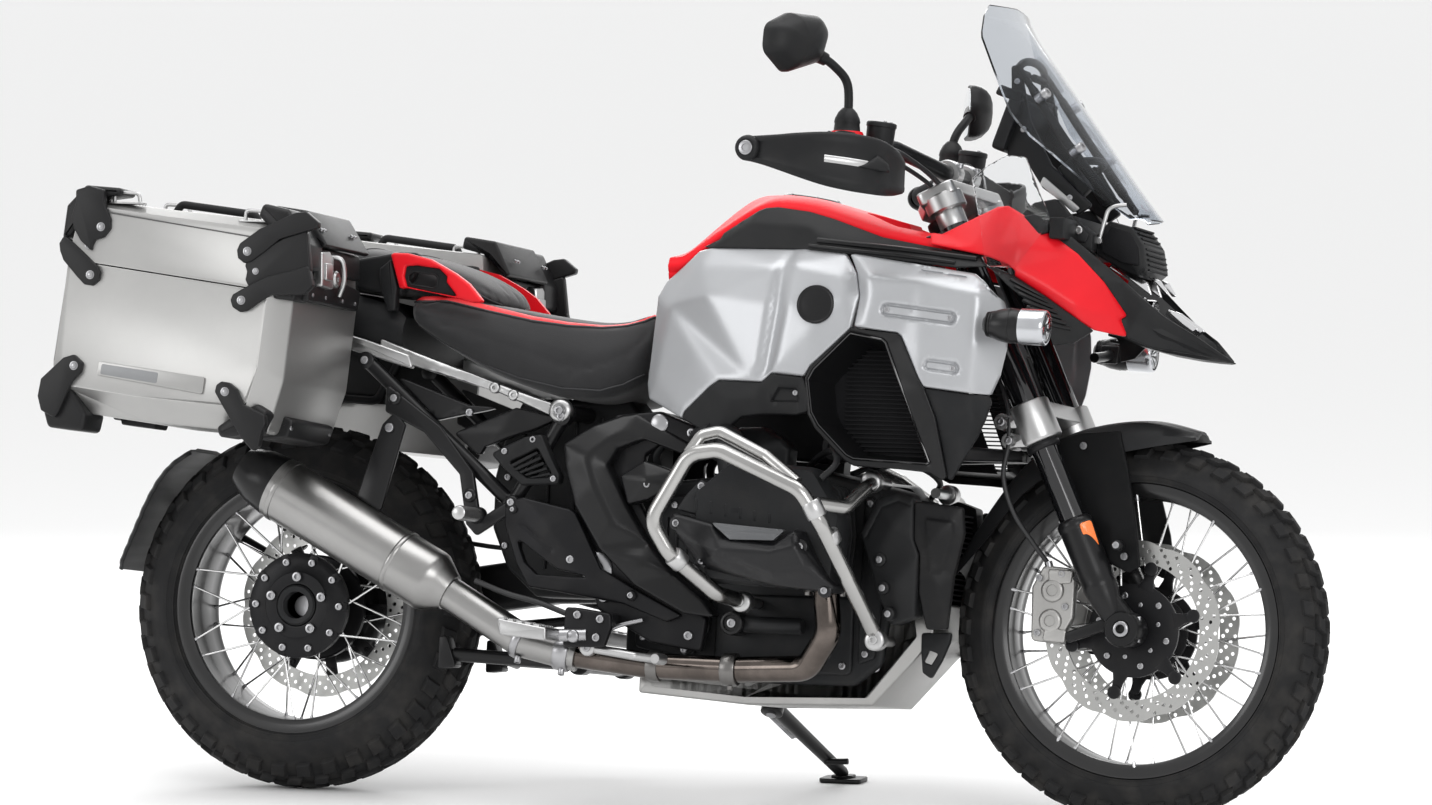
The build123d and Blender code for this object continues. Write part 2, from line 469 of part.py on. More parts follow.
screen = lofted([screen_section(z, xc, w, xe, 6) for z, xc, w, xe in
                 ((1034, 1538, 56, 1496), (1100, 1484, 132, 1424), (1166, 1434, 176, 1346), (1200, 1408, 182, 1316), (1336, 1302, 168, 1250), (1390, 1264, 128, 1252))])
defl = panel([(1276, -262, 1080, 1306, -256, 934), (1330, -252, 1120, 1352, -252, 934), (1366, -240, 1112, 1406, -236, 1014)], (0, 5, 0))
add("windscreen", "root", screen)
add("wind_deflectors", "root", both(defl))
aux = rod((1372, -338, 828), (1440, -338, 822), 30)
aux = aux + rod((1330, -338, 828), (1372, -338, 828), 17, 29) + rod((1352, -330, 826), (1352, -262, 826), 9)
add("aux_lamps", "root", both(aux))

# ---- seat and tail ------------------------------------------------------
add("rider_seat", "root", ribbed([(214, 150, 812, 170, 838, 150, 868), (330, 160, 760, 180, 800, 160, 852), (440, 168, 716, 188, 770, 162, 832),
                                  (560, 166, 692, 184, 760, 152, 822), (625, 150, 702, 160, 770, 120, 838), (660, 118, 722, 128, 790, 92, 852), (676, 112, 740, 120, 800, 88, 842)]))
add("passenger_seat", "root", ribbed([(-70, 104, 900, 128, 920, 104, 948), (40, 126, 880, 148, 906, 126, 946), (186, 134, 872, 154, 900, 134, 944),
                                      (280, 134, 862, 150, 884, 126, 926), (372, 120, 850, 130, 858, 108, 872)])
    - ribbed([(200, 200, 700, 200, 800, 200, 870.0), (214, 160, 700, 175, 838, 152, 869), (330, 180, 700, 194, 800, 170, 853), (440, 180, 700, 202, 770, 172, 833)]))
rail = slab([(186, 852), (190, 941), (230, 944), (290, 926), (372, 858), (300, 868), (214, 870)], -180, -158)
rail = rail - slab([(222, 884), (224, 916), (276, 914), (290, 888)], -184, -150)
rail = rail + slab([(186, 852), (190, 900), (214, 900), (210, 852)], -172, -140)
add("grab_handles", "root", both(rail))
rack = slab([(-236, 946), (-236, 958), (-80, 958), (-80, 946)], -120, 120)
for y0, y1 in ((-96, -64), (-48, -16), (16, 48), (64, 96)):
    rack = rack - slab([(-216, 900), (-216, 990), (-108, 990), (-108, 900)], y0, y1)
for x in (-226, -94):
    for y in (-66, 66):
        rack = rack - rod((x, y, 930), (x, y, 970), RACK_HOLE)
legs = unite([slab([(-200, 946), (-180, 880), (-160, 880), (-170, 946)], y, y + 16) for y in (-112, 96)])
add("luggage_rack", "root", rack + legs)
tail = ribbed([(-250, 66, 846, 84, 864, 66, 880), (-140, 100, 830, 124, 856, 104, 880), (0, 128, 790, 152, 830, 128, 878), (186, 140, 750, 164, 800, 144, 850), (212, 140, 742, 164, 800, 146, 810)])
tail = tail - slab([(-90, 940), (-90, 899), (40, 879), (186, 871), (300, 860), (300, 940)], -200, 200)
add("tail_cover", "root", tail)
add("tail_lamp", "root", lofted([[(-250, -62, 848), (-250, -62, 878), (-250, 62, 878), (-250, 62, 848)], [(-276, -54, 852), (-276, -54, 876), (-276, 54, 876), (-276, 54, 852)]]))
plate_arm = slab([(-236, 845), (-170, 834), (-262, 760), (-322, 640), (-336, 646), (-290, 760)], -34, 34)
add("plate_holder", "root", plate_arm + slab([(-322, 780), (-316, 782), (-352, 640), (-358, 640)], -92, 92)
    + rod((-300, -150, 800), (-300, 150, 800), 7))

# subframe: rails, struts, case carriers
rail = lofted([[(80, -150, 780), (80, -150, 806), (80, -168, 806), (80, -168, 780)], [(525, -154, 652), (525, -154, 690), (525, -170, 690), (525, -170, 652)]])
strut = rod((150, -158, 752), (432, -158, 508), 13) + rod((432, -158, 508), (520, -158, 662), 13)
gus = slab([(276, 650), (400, 696), (517, 660), (521, 569), (470, 560), (400, 600)], -158, -148)
side = unite([rail, strut, rod((525, -176, 671), (525, -100, 671), 22), rod((80, -160, 793), (-160, -110, 862), 12)])
cross = [rod((80, -155, 790), (80, 155, 790), 10), rod((432, -158, 508), (432, 158, 508), 12), rod((525, -110, 671), (525, 110, 671), 14), rod((-150, -112, 858), (-150, 112, 858), 10)]
brace = rod((525, 0, 671), (700, 0, 655), 14)
car = unite([rod((x, -158, z), (x, -184, z), 9) for x, z in ((86, 792), (100, 770))])
hang = tube([(90, -160, 790), (90, -176, 790), (40, -178, 700), (-180, -178, 712), (-180, -176, 800), (-120, -120, 850)], 8, [14, 30, 30, 20])
add("rear_subframe", "root", unite([side, mirrored(side), brace, hang, mirrored(hang)] + cross))

# side covers below the seat
cover = slab([(404, 600), (470, 622), (536, 616), (556, 560), (520, 530), (440, 530)], -196, -172)
add("side_covers", "root", both(slab([(440, 516), (590, 504), (648, 420), (752, 306), (700, 300), (606, 344), (484, 356), (452, 410)], -196, -172)
                                - slab([(462, 440), (470, 392), (606, 386), (560, 396), (500, 412)], -200, -160))
    + both(cover))

# pegs and their brackets
bracket = slab([(566, 332), (644, 322), (644, 300), (566, 300)], -220, -164) + slab([(562, 332), (644, 322), (634, 262), (556, 262)], -222, -208)
peg = slab([(462, 308), (556, 292), (556, 268), (470, 276)], -306, -222) + rod((540, -226, 280), (600, -215, 284), 12)
pas = slab([(196, 712), (300, 640), (366, 560), (380, 480), (362, 476), (340, 560), (270, 630), (196, 660)], -184, -172) + slab([(350, 470), (440, 520), (450, 500), (372, 452)], -184, -172)
add("foot_pegs", "root", both(bracket + peg) )
add("passenger_pegs", "root", both(pas + rod((376, -174, 486), (376, -280, 486), 13)))
pedal = tube([(600, -200, 262), (690, -204, 250), (740, -228, 246), (752, -262, 246)], 8, [40, 14]) + rod((600, -192, 262), (600, -212, 262), 14) + rod((748, -240, 246), (750, -282, 246), 10)
add("foot_levers", "root", both(pedal))

# rear splash guard behind the tyre, held from the left
guard = panel([(-196, -88, 640, -196, 88, 640), (-300, -90, 590, -300, 90, 590), (-360, -90, 500, -360, 90, 500), (-372, -84, 384, -372, 84, 384)], (-8, 0, 8))
hold = tube([(-330, 78, 540), (-296, 112, 500), (-140, 124, 420), (-60, 134, 372)], 8, [20, 40])
add("splash_guard", "root", guard + hold)

# ---- cases --------------------------------------------------------------
# One row a side: sign, rear x at the bottom, rear x at the seam, rear x on top, front x at the bottom,
# front x at the seam, front x on top, step of the front face from outside to inside.
CASE_OUT, CASE_IN, CHAMFER = 490.0, 192.0, 36.0
SEAM = (-226.0, 888.0, 40.0, 854.0)     # the seam falls towards the front
HINGE_X = -308.0                        # lid hinge pin, behind the rear wall
CASES = {"right": (-1, 0.0, 22.0), "left": (1, 118.0, -6.0)}


def seam_z(x):
    return SEAM[1] + (x - SEAM[0]) * (SEAM[3] - SEAM[1]) / (SEAM[2] - SEAM[0])


def case_block(sign, shift, step, inset, z_mode):
    """A filled case outline in four sections from the outer to the inner wall."""
    i = inset
    outer = [(-300, 640), (-296, 760), (-286, 886), (-232, 988), (84, 950), (88, 830), (66, 664)]
    def shape(grow_f, grow_r, top, y):
        pts = []
        for x, z in outer:
            f = x > -100
            dx = grow_f if f else -grow_r
            zz = z + (top if z > 900 else 0)
            pts.append((x + dx, y, zz))
        return pts
    rows = [(0, 0, 0, CASE_OUT), (24, 14, 10, CASE_OUT - CHAMFER), (24 + step, 14, 12, CASE_IN)]
    secs = []
    for gf, gr, tp, y in rows:
        pts = shape(gf - i, gr - i, tp - i, y - i if y == CASE_OUT else (y + i if y == CASE_IN else y))
        secs.append([(x + shift, sign * yy, z + (i if z < 700 else 0)) for x, yy, z in pts])
    return lofted(secs)


def seam_cut(sign, shift, up, gap):
    """Everything above the seam if up, otherwise everything below it."""
    far = 1600.0 if up else 300.0
    x0, x1 = -700.0, 700.0
    g = gap if up else -gap
    pts = [(x0 + shift, seam_z(x0) + g), (x1 + shift, seam_z(x1) + g), (x1 + shift, far), (x0 + shift, far)]
    return slab(pts, sign * 100, sign * 600)


for label, (sign, shift, step) in CASES.items():
    whole = case_block(sign, shift, step, 0, 0) - case_block(sign, shift, step, CASE_WALL, 0)
    body = whole & seam_cut(sign, shift, False, LID_GAP / 2)
    lid = whole & seam_cut(sign, shift, True, LID_GAP / 2)
    hx, hz = HINGE_X + shift, seam_z(HINGE_X) + 1
    for y0, y1, piece in ((236, 262, 0), (263, 337, 1), (338, 364, 0)):
        leaf = slab([(hx - 2, hz), (hx + 2, hz + 5), (hx + 13, hz + 5), (hx + 13, hz + 16), (hx - 3, hz + 16), (hx - 6, hz)] if piece
                    else [(hx - 6, hz), (hx - 3, hz - 16), (hx + 13, hz - 16), (hx + 13, hz - 6), (hx + 2, hz - 6), (hx - 2, hz)], sign * y0, sign * y1)
        knuckle = rod((hx, sign * y0, hz), (hx, sign * y1, hz), 6) + leaf
        if piece:
            lid = lid + (knuckle - rod((hx, sign * 200, hz), (hx, sign * 400, hz), 2.55))
        else:
            body = body + knuckle
    body = body + rod((hx, sign * 240, hz), (hx, sign * 360, hz), 2.5)
    add("case_" + label, "root", body)
    add("case_" + label + "_cover", "case_" + label + "_lid", lid)

# ---- stands -------------------------------------------------------------
up = Vector(0, -math.sin(math.radians(LEAN)), math.cos(math.radians(LEAN)))   # straight up when parked
pv = Vector(*SIDE_PIVOT)
fc = Vector(SIDE_FOOT[0], SIDE_FOOT[1], ground_z(SIDE_FOOT[1])) - up * 0.7
reach = fc - pv
stowed = Vector(*SIDE_STOWED).normalized() * reach.length
side_axis = reach.cross(stowed).normalized()
pad = extrude(Plane(origin=fc, z_dir=up, x_dir=(1, 0, 0)) * Rectangle(78, 56), amount=9)
stand = rod(tuple(pv), tuple(fc + up * 15), 13, 11) + pad
stand = stand + rod(tuple(pv - side_axis * 16), tuple(pv + side_axis * 16), 20) + rod(tuple(pv), tuple(pv + side_axis * 34), 8)
stand = stand + rod(tuple(pv + reach * 0.72), tuple(pv + reach * 0.72 + Vector(44, 6, 0)), 6)
add("side_stand_leg", "side_stand", stand)
face = Plane(origin=pv + side_axis * 17, z_dir=side_axis, x_dir=(1, 0, 0))
lug = extrude(face * Pos(0, -34) * Rectangle(44, 84), amount=18) + extrude(face * Circle(22), amount=18)
lug = lug - rod(tuple(pv), tuple(pv + side_axis * 60), 8.05)

cx, _, cz = CENTRE_PIVOT
arms = []
for s in (-1, 1):
    arms.append(rod((cx, s * 114, cz), (cx - CENTRE_LEG + 24, s * 118, cz + 8), 12))
    arms.append(slab([(cx - CENTRE_LEG, cz - 20), (cx - CENTRE_LEG, cz + 40), (cx - CENTRE_LEG + 14, cz + 40),
                      (cx - CENTRE_LEG + 34, cz - 16)], s * 102, s * 136))
arms.append(rod((cx - 64, -116, cz), (cx - 64, 116, cz), 10))
arms.append(rod((cx, -126, cz), (cx, 126, cz), 16))
arms.append(rod((cx - 222, 118, cz + 4), (cx - 226, 178, cz), 8))
add("centre_stand_frame", "centre_stand", unite(arms))
block = slab([(524, 300), (640, 330), (700, 330), (700, 216), (612, 212), (560, 212), (532, 220)], -96, 96)
block = block - rod((cx, -84, cz), (cx, 84, cz), 22) - rod((cx, -120, cz), (cx, 120, cz), 16.05)
block = block - slab([(400, 150), (cx + 6, 150), (cx + 6, 262), (400, 262)], -84, 84) - slab([(480, 150), (510, 150), (510, 400), (480, 400)], -120, 120)
add("stand_mount", "root", [block, lug])

# ---- pieces give way to what they meet ----------------------------------
# Each row is the piece that keeps its shape, then the pieces cut to fit it.
FITS = (
    ("tank_side_panels", ("air_ducts", "aux_lamps", "nose_panel", "tank_trim", "front_fairing", "fuel_tank")),
    ("main_frame", ("fuel_tank", "front_arm", "rear_subframe", "swingarm", "engine_block", "rider_seat", "foot_pegs", "exhaust_headers", "side_covers", "foot_levers", "tank_trim", "air_ducts", "skid_plate", "head_covers")),
    ("head_covers", ("exhaust_headers", "engine_block", "crash_bars")),
    ("engine_block", ("skid_plate", "exhaust_headers", "radiator_covers", "front_arm", "crash_bars", "foot_levers", "swingarm", "air_ducts")),
    ("skid_plate", ("crash_bars", "radiator_covers", "exhaust_headers")),
    ("radiator_covers", ("crash_bars", "air_ducts", "exhaust_headers")),
    ("exhaust_headers", ("muffler", "foot_pegs", "foot_levers", "crash_bars")),
    ("muffler", ("foot_pegs", "side_covers", "rear_subframe", "foot_levers")),
    ("fuel_tank", ("tank_trim", "rider_seat", "nose_panel")),
    ("rider_seat", ("passenger_seat", "grab_handles", "tail_cover", "tank_side_panels")),
    ("passenger_seat", ("grab_handles", "tail_cover", "luggage_rack")),
    ("rear_subframe", ("tail_cover", "side_covers", "rider_seat", "passenger_seat", "grab_handles", "luggage_rack", "case_right", "case_left", "foot_pegs")),
    ("foot_pegs", ("side_covers", "foot_levers")),
    ("tail_cover", ("tail_lamp", "grab_handles", "luggage_rack")),
    ("swingarm", ("rear_caliper", "side_covers", "rear_subframe")),
    ("windscreen", ("nose_panel", "wind_deflectors")),
    ("front_fairing", ("headlamp", "nose_panel", "wind_deflectors", "aux_lamps", "tank_trim")),
    ("headlamp", ("nose_panel",)),
    ("nose_panel", ("wind_deflectors",)),
    ("fork_legs", ("front_fender", "front_calipers", "fork_tubes")),
    ("fork_bridges", ("front_fender",)),
    ("fork_tubes", ("front_fender",)),
    ("front_calipers", ("front_fender",)),
    ("handlebar", ("hand_controls", "hand_guards", "mirrors", "fork_bridges")),
    ("hand_controls", ("mirrors", "hand_guards")),
)


def fused(items):
    out = items[0]
    for s in items[1:]:
        out = out + s
    return out


def boxes_meet(a, b):
    p, q = a.bounding_box(), b.bounding_box()
    return all(tuple(p.min)[k] <= tuple(q.max)[k] + 0.01 and tuple(q.min)[k] <= tuple(p.max)[k] + 0.01 for k in range(3))


def solids_of(items):
    out = []
    for it in items:
        out += list(it.solids())
    return out


JOINED = (
    ("foot_pegs", ("passenger_pegs",)),
    ("main_frame", ("stand_mount",)),
    ("nose_panel", ("dash",)),
    ("tail_cover", ("plate_holder",)),
    ("fork_legs", ("front_axle",)),
    ("swingarm", ("splash_guard",)),
    ("engine_block", ("cylinders",)),
)
nodes.pop("brake_hoses")
bodies["steering"].remove("brake_hoses")
for keep, others in JOINED:
    groups = list(nodes[keep])
    for name in others:
        groups += list(nodes.pop(name))
        for group in bodies.values():
            if name in group:
                group.remove(name)
    nodes[keep] = [fused(groups)]


for keep, cuts in FITS:
    tools = solids_of(nodes[keep])
    for name in cuts:
        left = []
        for piece in solids_of(nodes[name]):
            for tool in tools:
                if piece is not None and boxes_meet(piece, tool):
                    cut = piece - tool
                    found = solids_of(cut if isinstance(cut, list) else [cut]) if cut is not None else []
                    found = [x for x in found if x.volume > 60.0]
                    piece = Compound(found) if found else None
            left += solids_of([piece]) if piece is not None else []
        nodes[name] = left

# ---- lean, set on the ground and write ----------------------------------
tilt = Location((0, 0, 0), (-LEAN, 0, 0))
built = {}
for name, items in nodes.items():
    solids = []
    for it in items:
        solids += list(it.solids())
    built[name] = Compound(solids).moved(tilt)
lo = [min(b.bounding_box().min.X for b in built.values()), min(b.bounding_box().min.Y for b in built.values()), min(b.bounding_box().min.Z for b in built.values())]
hi = [max(b.bounding_box().max.X for b in built.values()), max(b.bounding_box().max.Y for b in built.values()), max(b.bounding_box().max.Z for b in built.values())]
SHIFT = (-(lo[0] + hi[0]) / 2, -(lo[1] + hi[1]) / 2, -lo[2])
print("box", [round(h - l, 2) for l, h in zip(lo, hi)])
print("shift", [round(s, 5) for s in SHIFT])
print("side_axis", side_axis)
os.makedirs("parts", exist_ok=True)
for name, shape in built.items():
    export_step(shape.moved(Location(SHIFT)), "parts/" + name + ".step")
print("bodies", bodies)
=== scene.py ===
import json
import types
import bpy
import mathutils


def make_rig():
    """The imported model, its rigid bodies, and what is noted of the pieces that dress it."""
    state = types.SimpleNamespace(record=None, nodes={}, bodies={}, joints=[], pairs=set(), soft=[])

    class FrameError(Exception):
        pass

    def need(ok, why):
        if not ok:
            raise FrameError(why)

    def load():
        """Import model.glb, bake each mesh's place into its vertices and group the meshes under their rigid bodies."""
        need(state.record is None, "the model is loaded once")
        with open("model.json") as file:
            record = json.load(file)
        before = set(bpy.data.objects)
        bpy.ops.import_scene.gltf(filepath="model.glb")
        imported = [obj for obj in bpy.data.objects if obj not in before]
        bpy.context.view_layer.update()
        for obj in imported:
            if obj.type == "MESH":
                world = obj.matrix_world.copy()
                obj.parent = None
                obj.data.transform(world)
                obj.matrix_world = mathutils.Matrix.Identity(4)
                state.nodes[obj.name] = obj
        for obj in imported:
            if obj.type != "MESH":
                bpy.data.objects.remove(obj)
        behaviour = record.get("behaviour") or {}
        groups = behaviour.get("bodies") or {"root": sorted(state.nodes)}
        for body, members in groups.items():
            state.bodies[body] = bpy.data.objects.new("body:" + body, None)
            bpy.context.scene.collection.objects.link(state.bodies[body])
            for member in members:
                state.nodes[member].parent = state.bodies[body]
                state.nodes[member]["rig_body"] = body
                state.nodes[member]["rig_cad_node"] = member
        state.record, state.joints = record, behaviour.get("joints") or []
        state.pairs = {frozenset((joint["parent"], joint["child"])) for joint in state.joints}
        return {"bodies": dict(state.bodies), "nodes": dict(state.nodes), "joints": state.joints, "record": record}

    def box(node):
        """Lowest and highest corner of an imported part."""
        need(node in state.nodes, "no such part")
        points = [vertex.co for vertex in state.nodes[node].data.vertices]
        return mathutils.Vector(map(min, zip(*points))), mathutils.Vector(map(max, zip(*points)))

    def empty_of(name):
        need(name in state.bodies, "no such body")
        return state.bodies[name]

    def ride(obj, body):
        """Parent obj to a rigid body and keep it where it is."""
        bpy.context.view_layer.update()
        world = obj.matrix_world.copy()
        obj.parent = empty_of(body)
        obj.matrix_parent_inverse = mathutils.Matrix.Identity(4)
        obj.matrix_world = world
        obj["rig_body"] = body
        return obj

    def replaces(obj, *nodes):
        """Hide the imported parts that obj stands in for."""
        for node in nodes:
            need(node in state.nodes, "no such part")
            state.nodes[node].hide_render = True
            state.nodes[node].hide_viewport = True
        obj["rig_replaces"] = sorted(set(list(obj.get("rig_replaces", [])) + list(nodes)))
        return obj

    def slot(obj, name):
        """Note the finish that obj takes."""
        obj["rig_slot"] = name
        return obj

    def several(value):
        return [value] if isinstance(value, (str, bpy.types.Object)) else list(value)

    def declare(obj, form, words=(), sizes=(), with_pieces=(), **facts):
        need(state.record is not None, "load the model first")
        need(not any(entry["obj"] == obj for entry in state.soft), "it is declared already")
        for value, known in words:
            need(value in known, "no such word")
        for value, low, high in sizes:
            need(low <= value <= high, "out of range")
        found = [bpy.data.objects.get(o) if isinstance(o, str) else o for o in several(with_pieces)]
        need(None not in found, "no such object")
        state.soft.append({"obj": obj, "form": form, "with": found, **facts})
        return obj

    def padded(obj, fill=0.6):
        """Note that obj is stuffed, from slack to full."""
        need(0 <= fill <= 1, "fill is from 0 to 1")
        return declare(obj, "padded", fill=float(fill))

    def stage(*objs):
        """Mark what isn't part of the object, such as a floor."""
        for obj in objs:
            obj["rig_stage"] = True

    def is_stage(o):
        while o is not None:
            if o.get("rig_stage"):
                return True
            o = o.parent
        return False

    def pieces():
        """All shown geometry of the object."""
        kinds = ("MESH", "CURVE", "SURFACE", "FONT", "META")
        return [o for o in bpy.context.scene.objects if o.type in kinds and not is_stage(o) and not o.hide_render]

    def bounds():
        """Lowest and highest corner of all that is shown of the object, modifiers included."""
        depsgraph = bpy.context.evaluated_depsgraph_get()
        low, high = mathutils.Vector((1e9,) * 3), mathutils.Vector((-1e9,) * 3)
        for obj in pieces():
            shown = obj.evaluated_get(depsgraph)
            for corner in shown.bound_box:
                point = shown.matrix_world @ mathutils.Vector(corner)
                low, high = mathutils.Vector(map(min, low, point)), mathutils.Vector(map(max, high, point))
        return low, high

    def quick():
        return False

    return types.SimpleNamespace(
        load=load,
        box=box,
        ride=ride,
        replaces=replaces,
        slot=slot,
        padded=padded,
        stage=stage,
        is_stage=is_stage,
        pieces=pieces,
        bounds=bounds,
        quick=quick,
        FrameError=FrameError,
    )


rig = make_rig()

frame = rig.load()

import bpy
import json
import math
import random
import numpy as np
from mathutils import Matrix, Vector, geometry

CAD_LO, CAD_HI = [list(v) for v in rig.bounds()]
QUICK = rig.quick()

# ---- the upright machine's own frame ------------------------------------
# x forward, y left, z up, in millimetres, with the rear axle above x = 0 and the floor at z = 0.
# The parked machine leans to its left, and the row frame is in metres.
LEAN = math.radians(7.7)
CL, SL = math.cos(LEAN), math.sin(LEAN)
_lo, _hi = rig.box("front_tyre")
_mid = (Vector(_lo) + Vector(_hi)) / 2 * 1000
SHIFT = (_mid.x - 1534.0, _mid.y - 328.0 * SL, _mid.z - 328.0 * CL)


def W(p):
    x, y, z = p
    return ((x + SHIFT[0]) / 1000, (y * CL + z * SL + SHIFT[1]) / 1000, (-y * SL + z * CL + SHIFT[2]) / 1000)


def WA(a):
    """The same for an (n, 3) array."""
    a = np.asarray(a, float)
    return np.stack([(a[:, 0] + SHIFT[0]) / 1000, (a[:, 1] * CL + a[:, 2] * SL + SHIFT[1]) / 1000,
                     (-a[:, 1] * SL + a[:, 2] * CL + SHIFT[2]) / 1000], axis=1)


# ---- materials ----------------------------------------------------------
MATS = {}


def mat(name, color, rough=0.5, metal=0.0, bump=0.0, bscale=900.0, var=0.10, vscale=7.0, rvar=0.06,
        coat=0.0, coat_rough=0.05, stretch=None, grain="noise", spec=0.5, sheen=0.0, trans=0.0, ior=1.45,
        wear=0.0, dust=0.0, aniso=0.0, bdist=0.0006, emit=None):
    """A procedural finish: colour drift, roughness drift, grain or brushing as bump, edge wear and dust."""
    m = bpy.data.materials.new(name)
    m.use_nodes = True
    nt = m.node_tree
    b = nt.nodes["Principled BSDF"]
    N, L = nt.nodes.new, nt.links.new
    tc = N("ShaderNodeTexCoord")
    mp = N("ShaderNodeMapping")
    L(tc.outputs["Object"], mp.inputs["Vector"])
    if stretch:
        mp.inputs["Scale"].default_value = stretch
    drift = N("ShaderNodeTexNoise")
    drift.inputs["Scale"].default_value = vscale
    drift.inputs["Detail"].default_value = 5.0
    drift.inputs["Roughness"].default_value = 0.62
    L(tc.outputs["Object"], drift.inputs["Vector"])
    ramp = N("ShaderNodeValToRGB")
    lo = [max(0.0, c * (1 - var)) for c in color]
    hi = [min(1.0, c * (1 + var)) for c in color]
    ramp.color_ramp.elements[0].position, ramp.color_ramp.elements[1].position = 0.32, 0.68
    ramp.color_ramp.elements[0].color = (*lo, 1)
    ramp.color_ramp.elements[1].color = (*hi, 1)
    L(drift.outputs["Fac"], ramp.inputs["Fac"])
    col = ramp.outputs["Color"]
    if wear:
        geo = N("ShaderNodeNewGeometry")
        wr = N("ShaderNodeMapRange")
        wr.inputs["From Min"].default_value, wr.inputs["From Max"].default_value = 0.54, 0.66
        wr.inputs["To Max"].default_value = wear
        L(geo.outputs["Pointiness"], wr.inputs["Value"])
        mx = N("ShaderNodeMix")
        mx.data_type = "RGBA"
        L(wr.outputs["Result"], mx.inputs["Factor"])
        L(col, mx.inputs["A"])
        mx.inputs["B"].default_value = (*[min(1.0, c * 1.8 + 0.06) for c in color], 1)
        col = mx.outputs["Result"]
    if dust:
        sep = N("ShaderNodeTexNoise")
        sep.inputs["Scale"].default_value = 24.0
        sep.inputs["Detail"].default_value = 8.0
        L(tc.outputs["Object"], sep.inputs["Vector"])
        dr = N("ShaderNodeMapRange")
        dr.inputs["From Min"].default_value, dr.inputs["From Max"].default_value = 0.45, 0.75
        dr.inputs["To Max"].default_value = dust
        L(sep.outputs["Fac"], dr.inputs["Value"])
        mx = N("ShaderNodeMix")
        mx.data_type = "RGBA"
        L(dr.outputs["Result"], mx.inputs["Factor"])
        L(col, mx.inputs["A"])
        mx.inputs["B"].default_value = (0.16, 0.145, 0.125, 1)
        col = mx.outputs["Result"]
    L(col, b.inputs["Base Color"])
    fine = N("ShaderNodeTexVoronoi" if grain == "leather" else "ShaderNodeTexNoise")
    fine.inputs["Scale"].default_value = bscale
    if grain != "leather":
        fine.inputs["Detail"].default_value = 3.0
    L(mp.outputs["Vector"], fine.inputs["Vector"])
    fout = fine.outputs["Distance"] if grain == "leather" else fine.outputs["Fac"]
    rr = N("ShaderNodeMapRange")
    rr.inputs["To Min"].default_value = max(0.02, rough - rvar)
    rr.inputs["To Max"].default_value = min(1.0, rough + rvar)
    if grain == "leather":
        L(drift.outputs["Fac"], rr.inputs["Value"])
    else:
        mm = N("ShaderNodeMath")
        mm.operation = "MULTIPLY_ADD"
        mm.inputs[1].default_value, mm.inputs[2].default_value = 0.5, 0.0
        L(fout, mm.inputs[0])
        ad = N("ShaderNodeMath")
        ad.operation = "MULTIPLY_ADD"
        ad.inputs[1].default_value = 0.5
        L(drift.outputs["Fac"], ad.inputs[0])
        L(mm.outputs[0], ad.inputs[2])
        L(ad.outputs[0], rr.inputs["Value"])
    L(rr.outputs["Result"], b.inputs["Roughness"])
    if bump:
        bp = N("ShaderNodeBump")
        bp.inputs["Strength"].default_value = bump
        bp.inputs["Distance"].default_value = bdist
        L(fout, bp.inputs["Height"])
        L(bp.outputs["Normal"], b.inputs["Normal"])
    b.inputs["Metallic"].default_value = metal
    b.inputs["Coat Weight"].default_value = coat
    b.inputs["Coat Roughness"].default_value = coat_rough
    b.inputs["Specular IOR Level"].default_value = spec
    b.inputs["IOR"].default_value = ior
    b.inputs["Transmission Weight"].default_value = trans
    b.inputs["Sheen Weight"].default_value = sheen
    b.inputs["Anisotropic"].default_value = aniso
    if emit:
        b.inputs["Emission Color"].default_value = (*emit[:3], 1)
        b.inputs["Emission Strength"].default_value = emit[3]
    MATS[name] = m
    return m


mat("tyre_rubber", (0.012, 0.012, 0.0125), 0.78, bump=0.35, bscale=420, var=0.25, vscale=14, rvar=0.10, dust=0.10, bdist=0.0004, spec=0.25)
mat("black_rim", (0.005, 0.005, 0.0055), 0.30, metal=0.2, bump=0.05, bscale=600, coat=0.4, coat_rough=0.15, dust=0.02)
mat("spoke_steel", (0.62, 0.62, 0.62), 0.22, metal=1.0, bump=0.05, bscale=700)
mat("nipple_steel", (0.45, 0.45, 0.46), 0.30, metal=1.0, bump=0.05, bscale=900)
mat("black_alloy", (0.008, 0.008, 0.009), 0.38, metal=0.25, bump=0.20, bscale=1100, dust=0.03, wear=0.25, spec=0.25)
mat("black_gloss", (0.006, 0.006, 0.007), 0.10, metal=0.3, bump=0.02, coat=0.8)
mat("disc_steel", (0.42, 0.42, 0.41), 0.30, metal=1.0, bump=0.10, bscale=500, aniso=0.5, var=0.05)
mat("engine_metal", (0.011, 0.0115, 0.0125), 0.48, metal=0.35, bump=0.35, bscale=500, dust=0.04, wear=0.3, spec=0.30)
mat("head_cover", (0.008, 0.008, 0.009), 0.34, metal=0.25, bump=0.18, bscale=900, coat=0.15, coat_rough=0.3, wear=0.2, spec=0.30)
mat("cover_insert", (0.11, 0.113, 0.118), 0.42, metal=0.55, bump=0.15, bscale=800)
mat("header_steel", (0.115, 0.098, 0.088), 0.14, metal=1.0, bump=0.08, bscale=60, var=0.28, vscale=18)
mat("muffler_steel", (0.30, 0.297, 0.292), 0.30, metal=1.0, bump=0.14, bscale=300, stretch=(1.0, 9.0, 7.0), aniso=0.3, var=0.06)
mat("silver_alloy", (0.42, 0.42, 0.42), 0.34, metal=1.0, bump=0.12, bscale=700, var=0.06, wear=0.2)
mat("skid_alloy", (0.34, 0.337, 0.33), 0.36, metal=1.0, bump=0.22, bscale=260, stretch=(1.0, 10.0, 5.0), var=0.08)
mat("crash_steel", (0.37, 0.367, 0.36), 0.24, metal=1.0, bump=0.08, bscale=500, var=0.05, vscale=12)
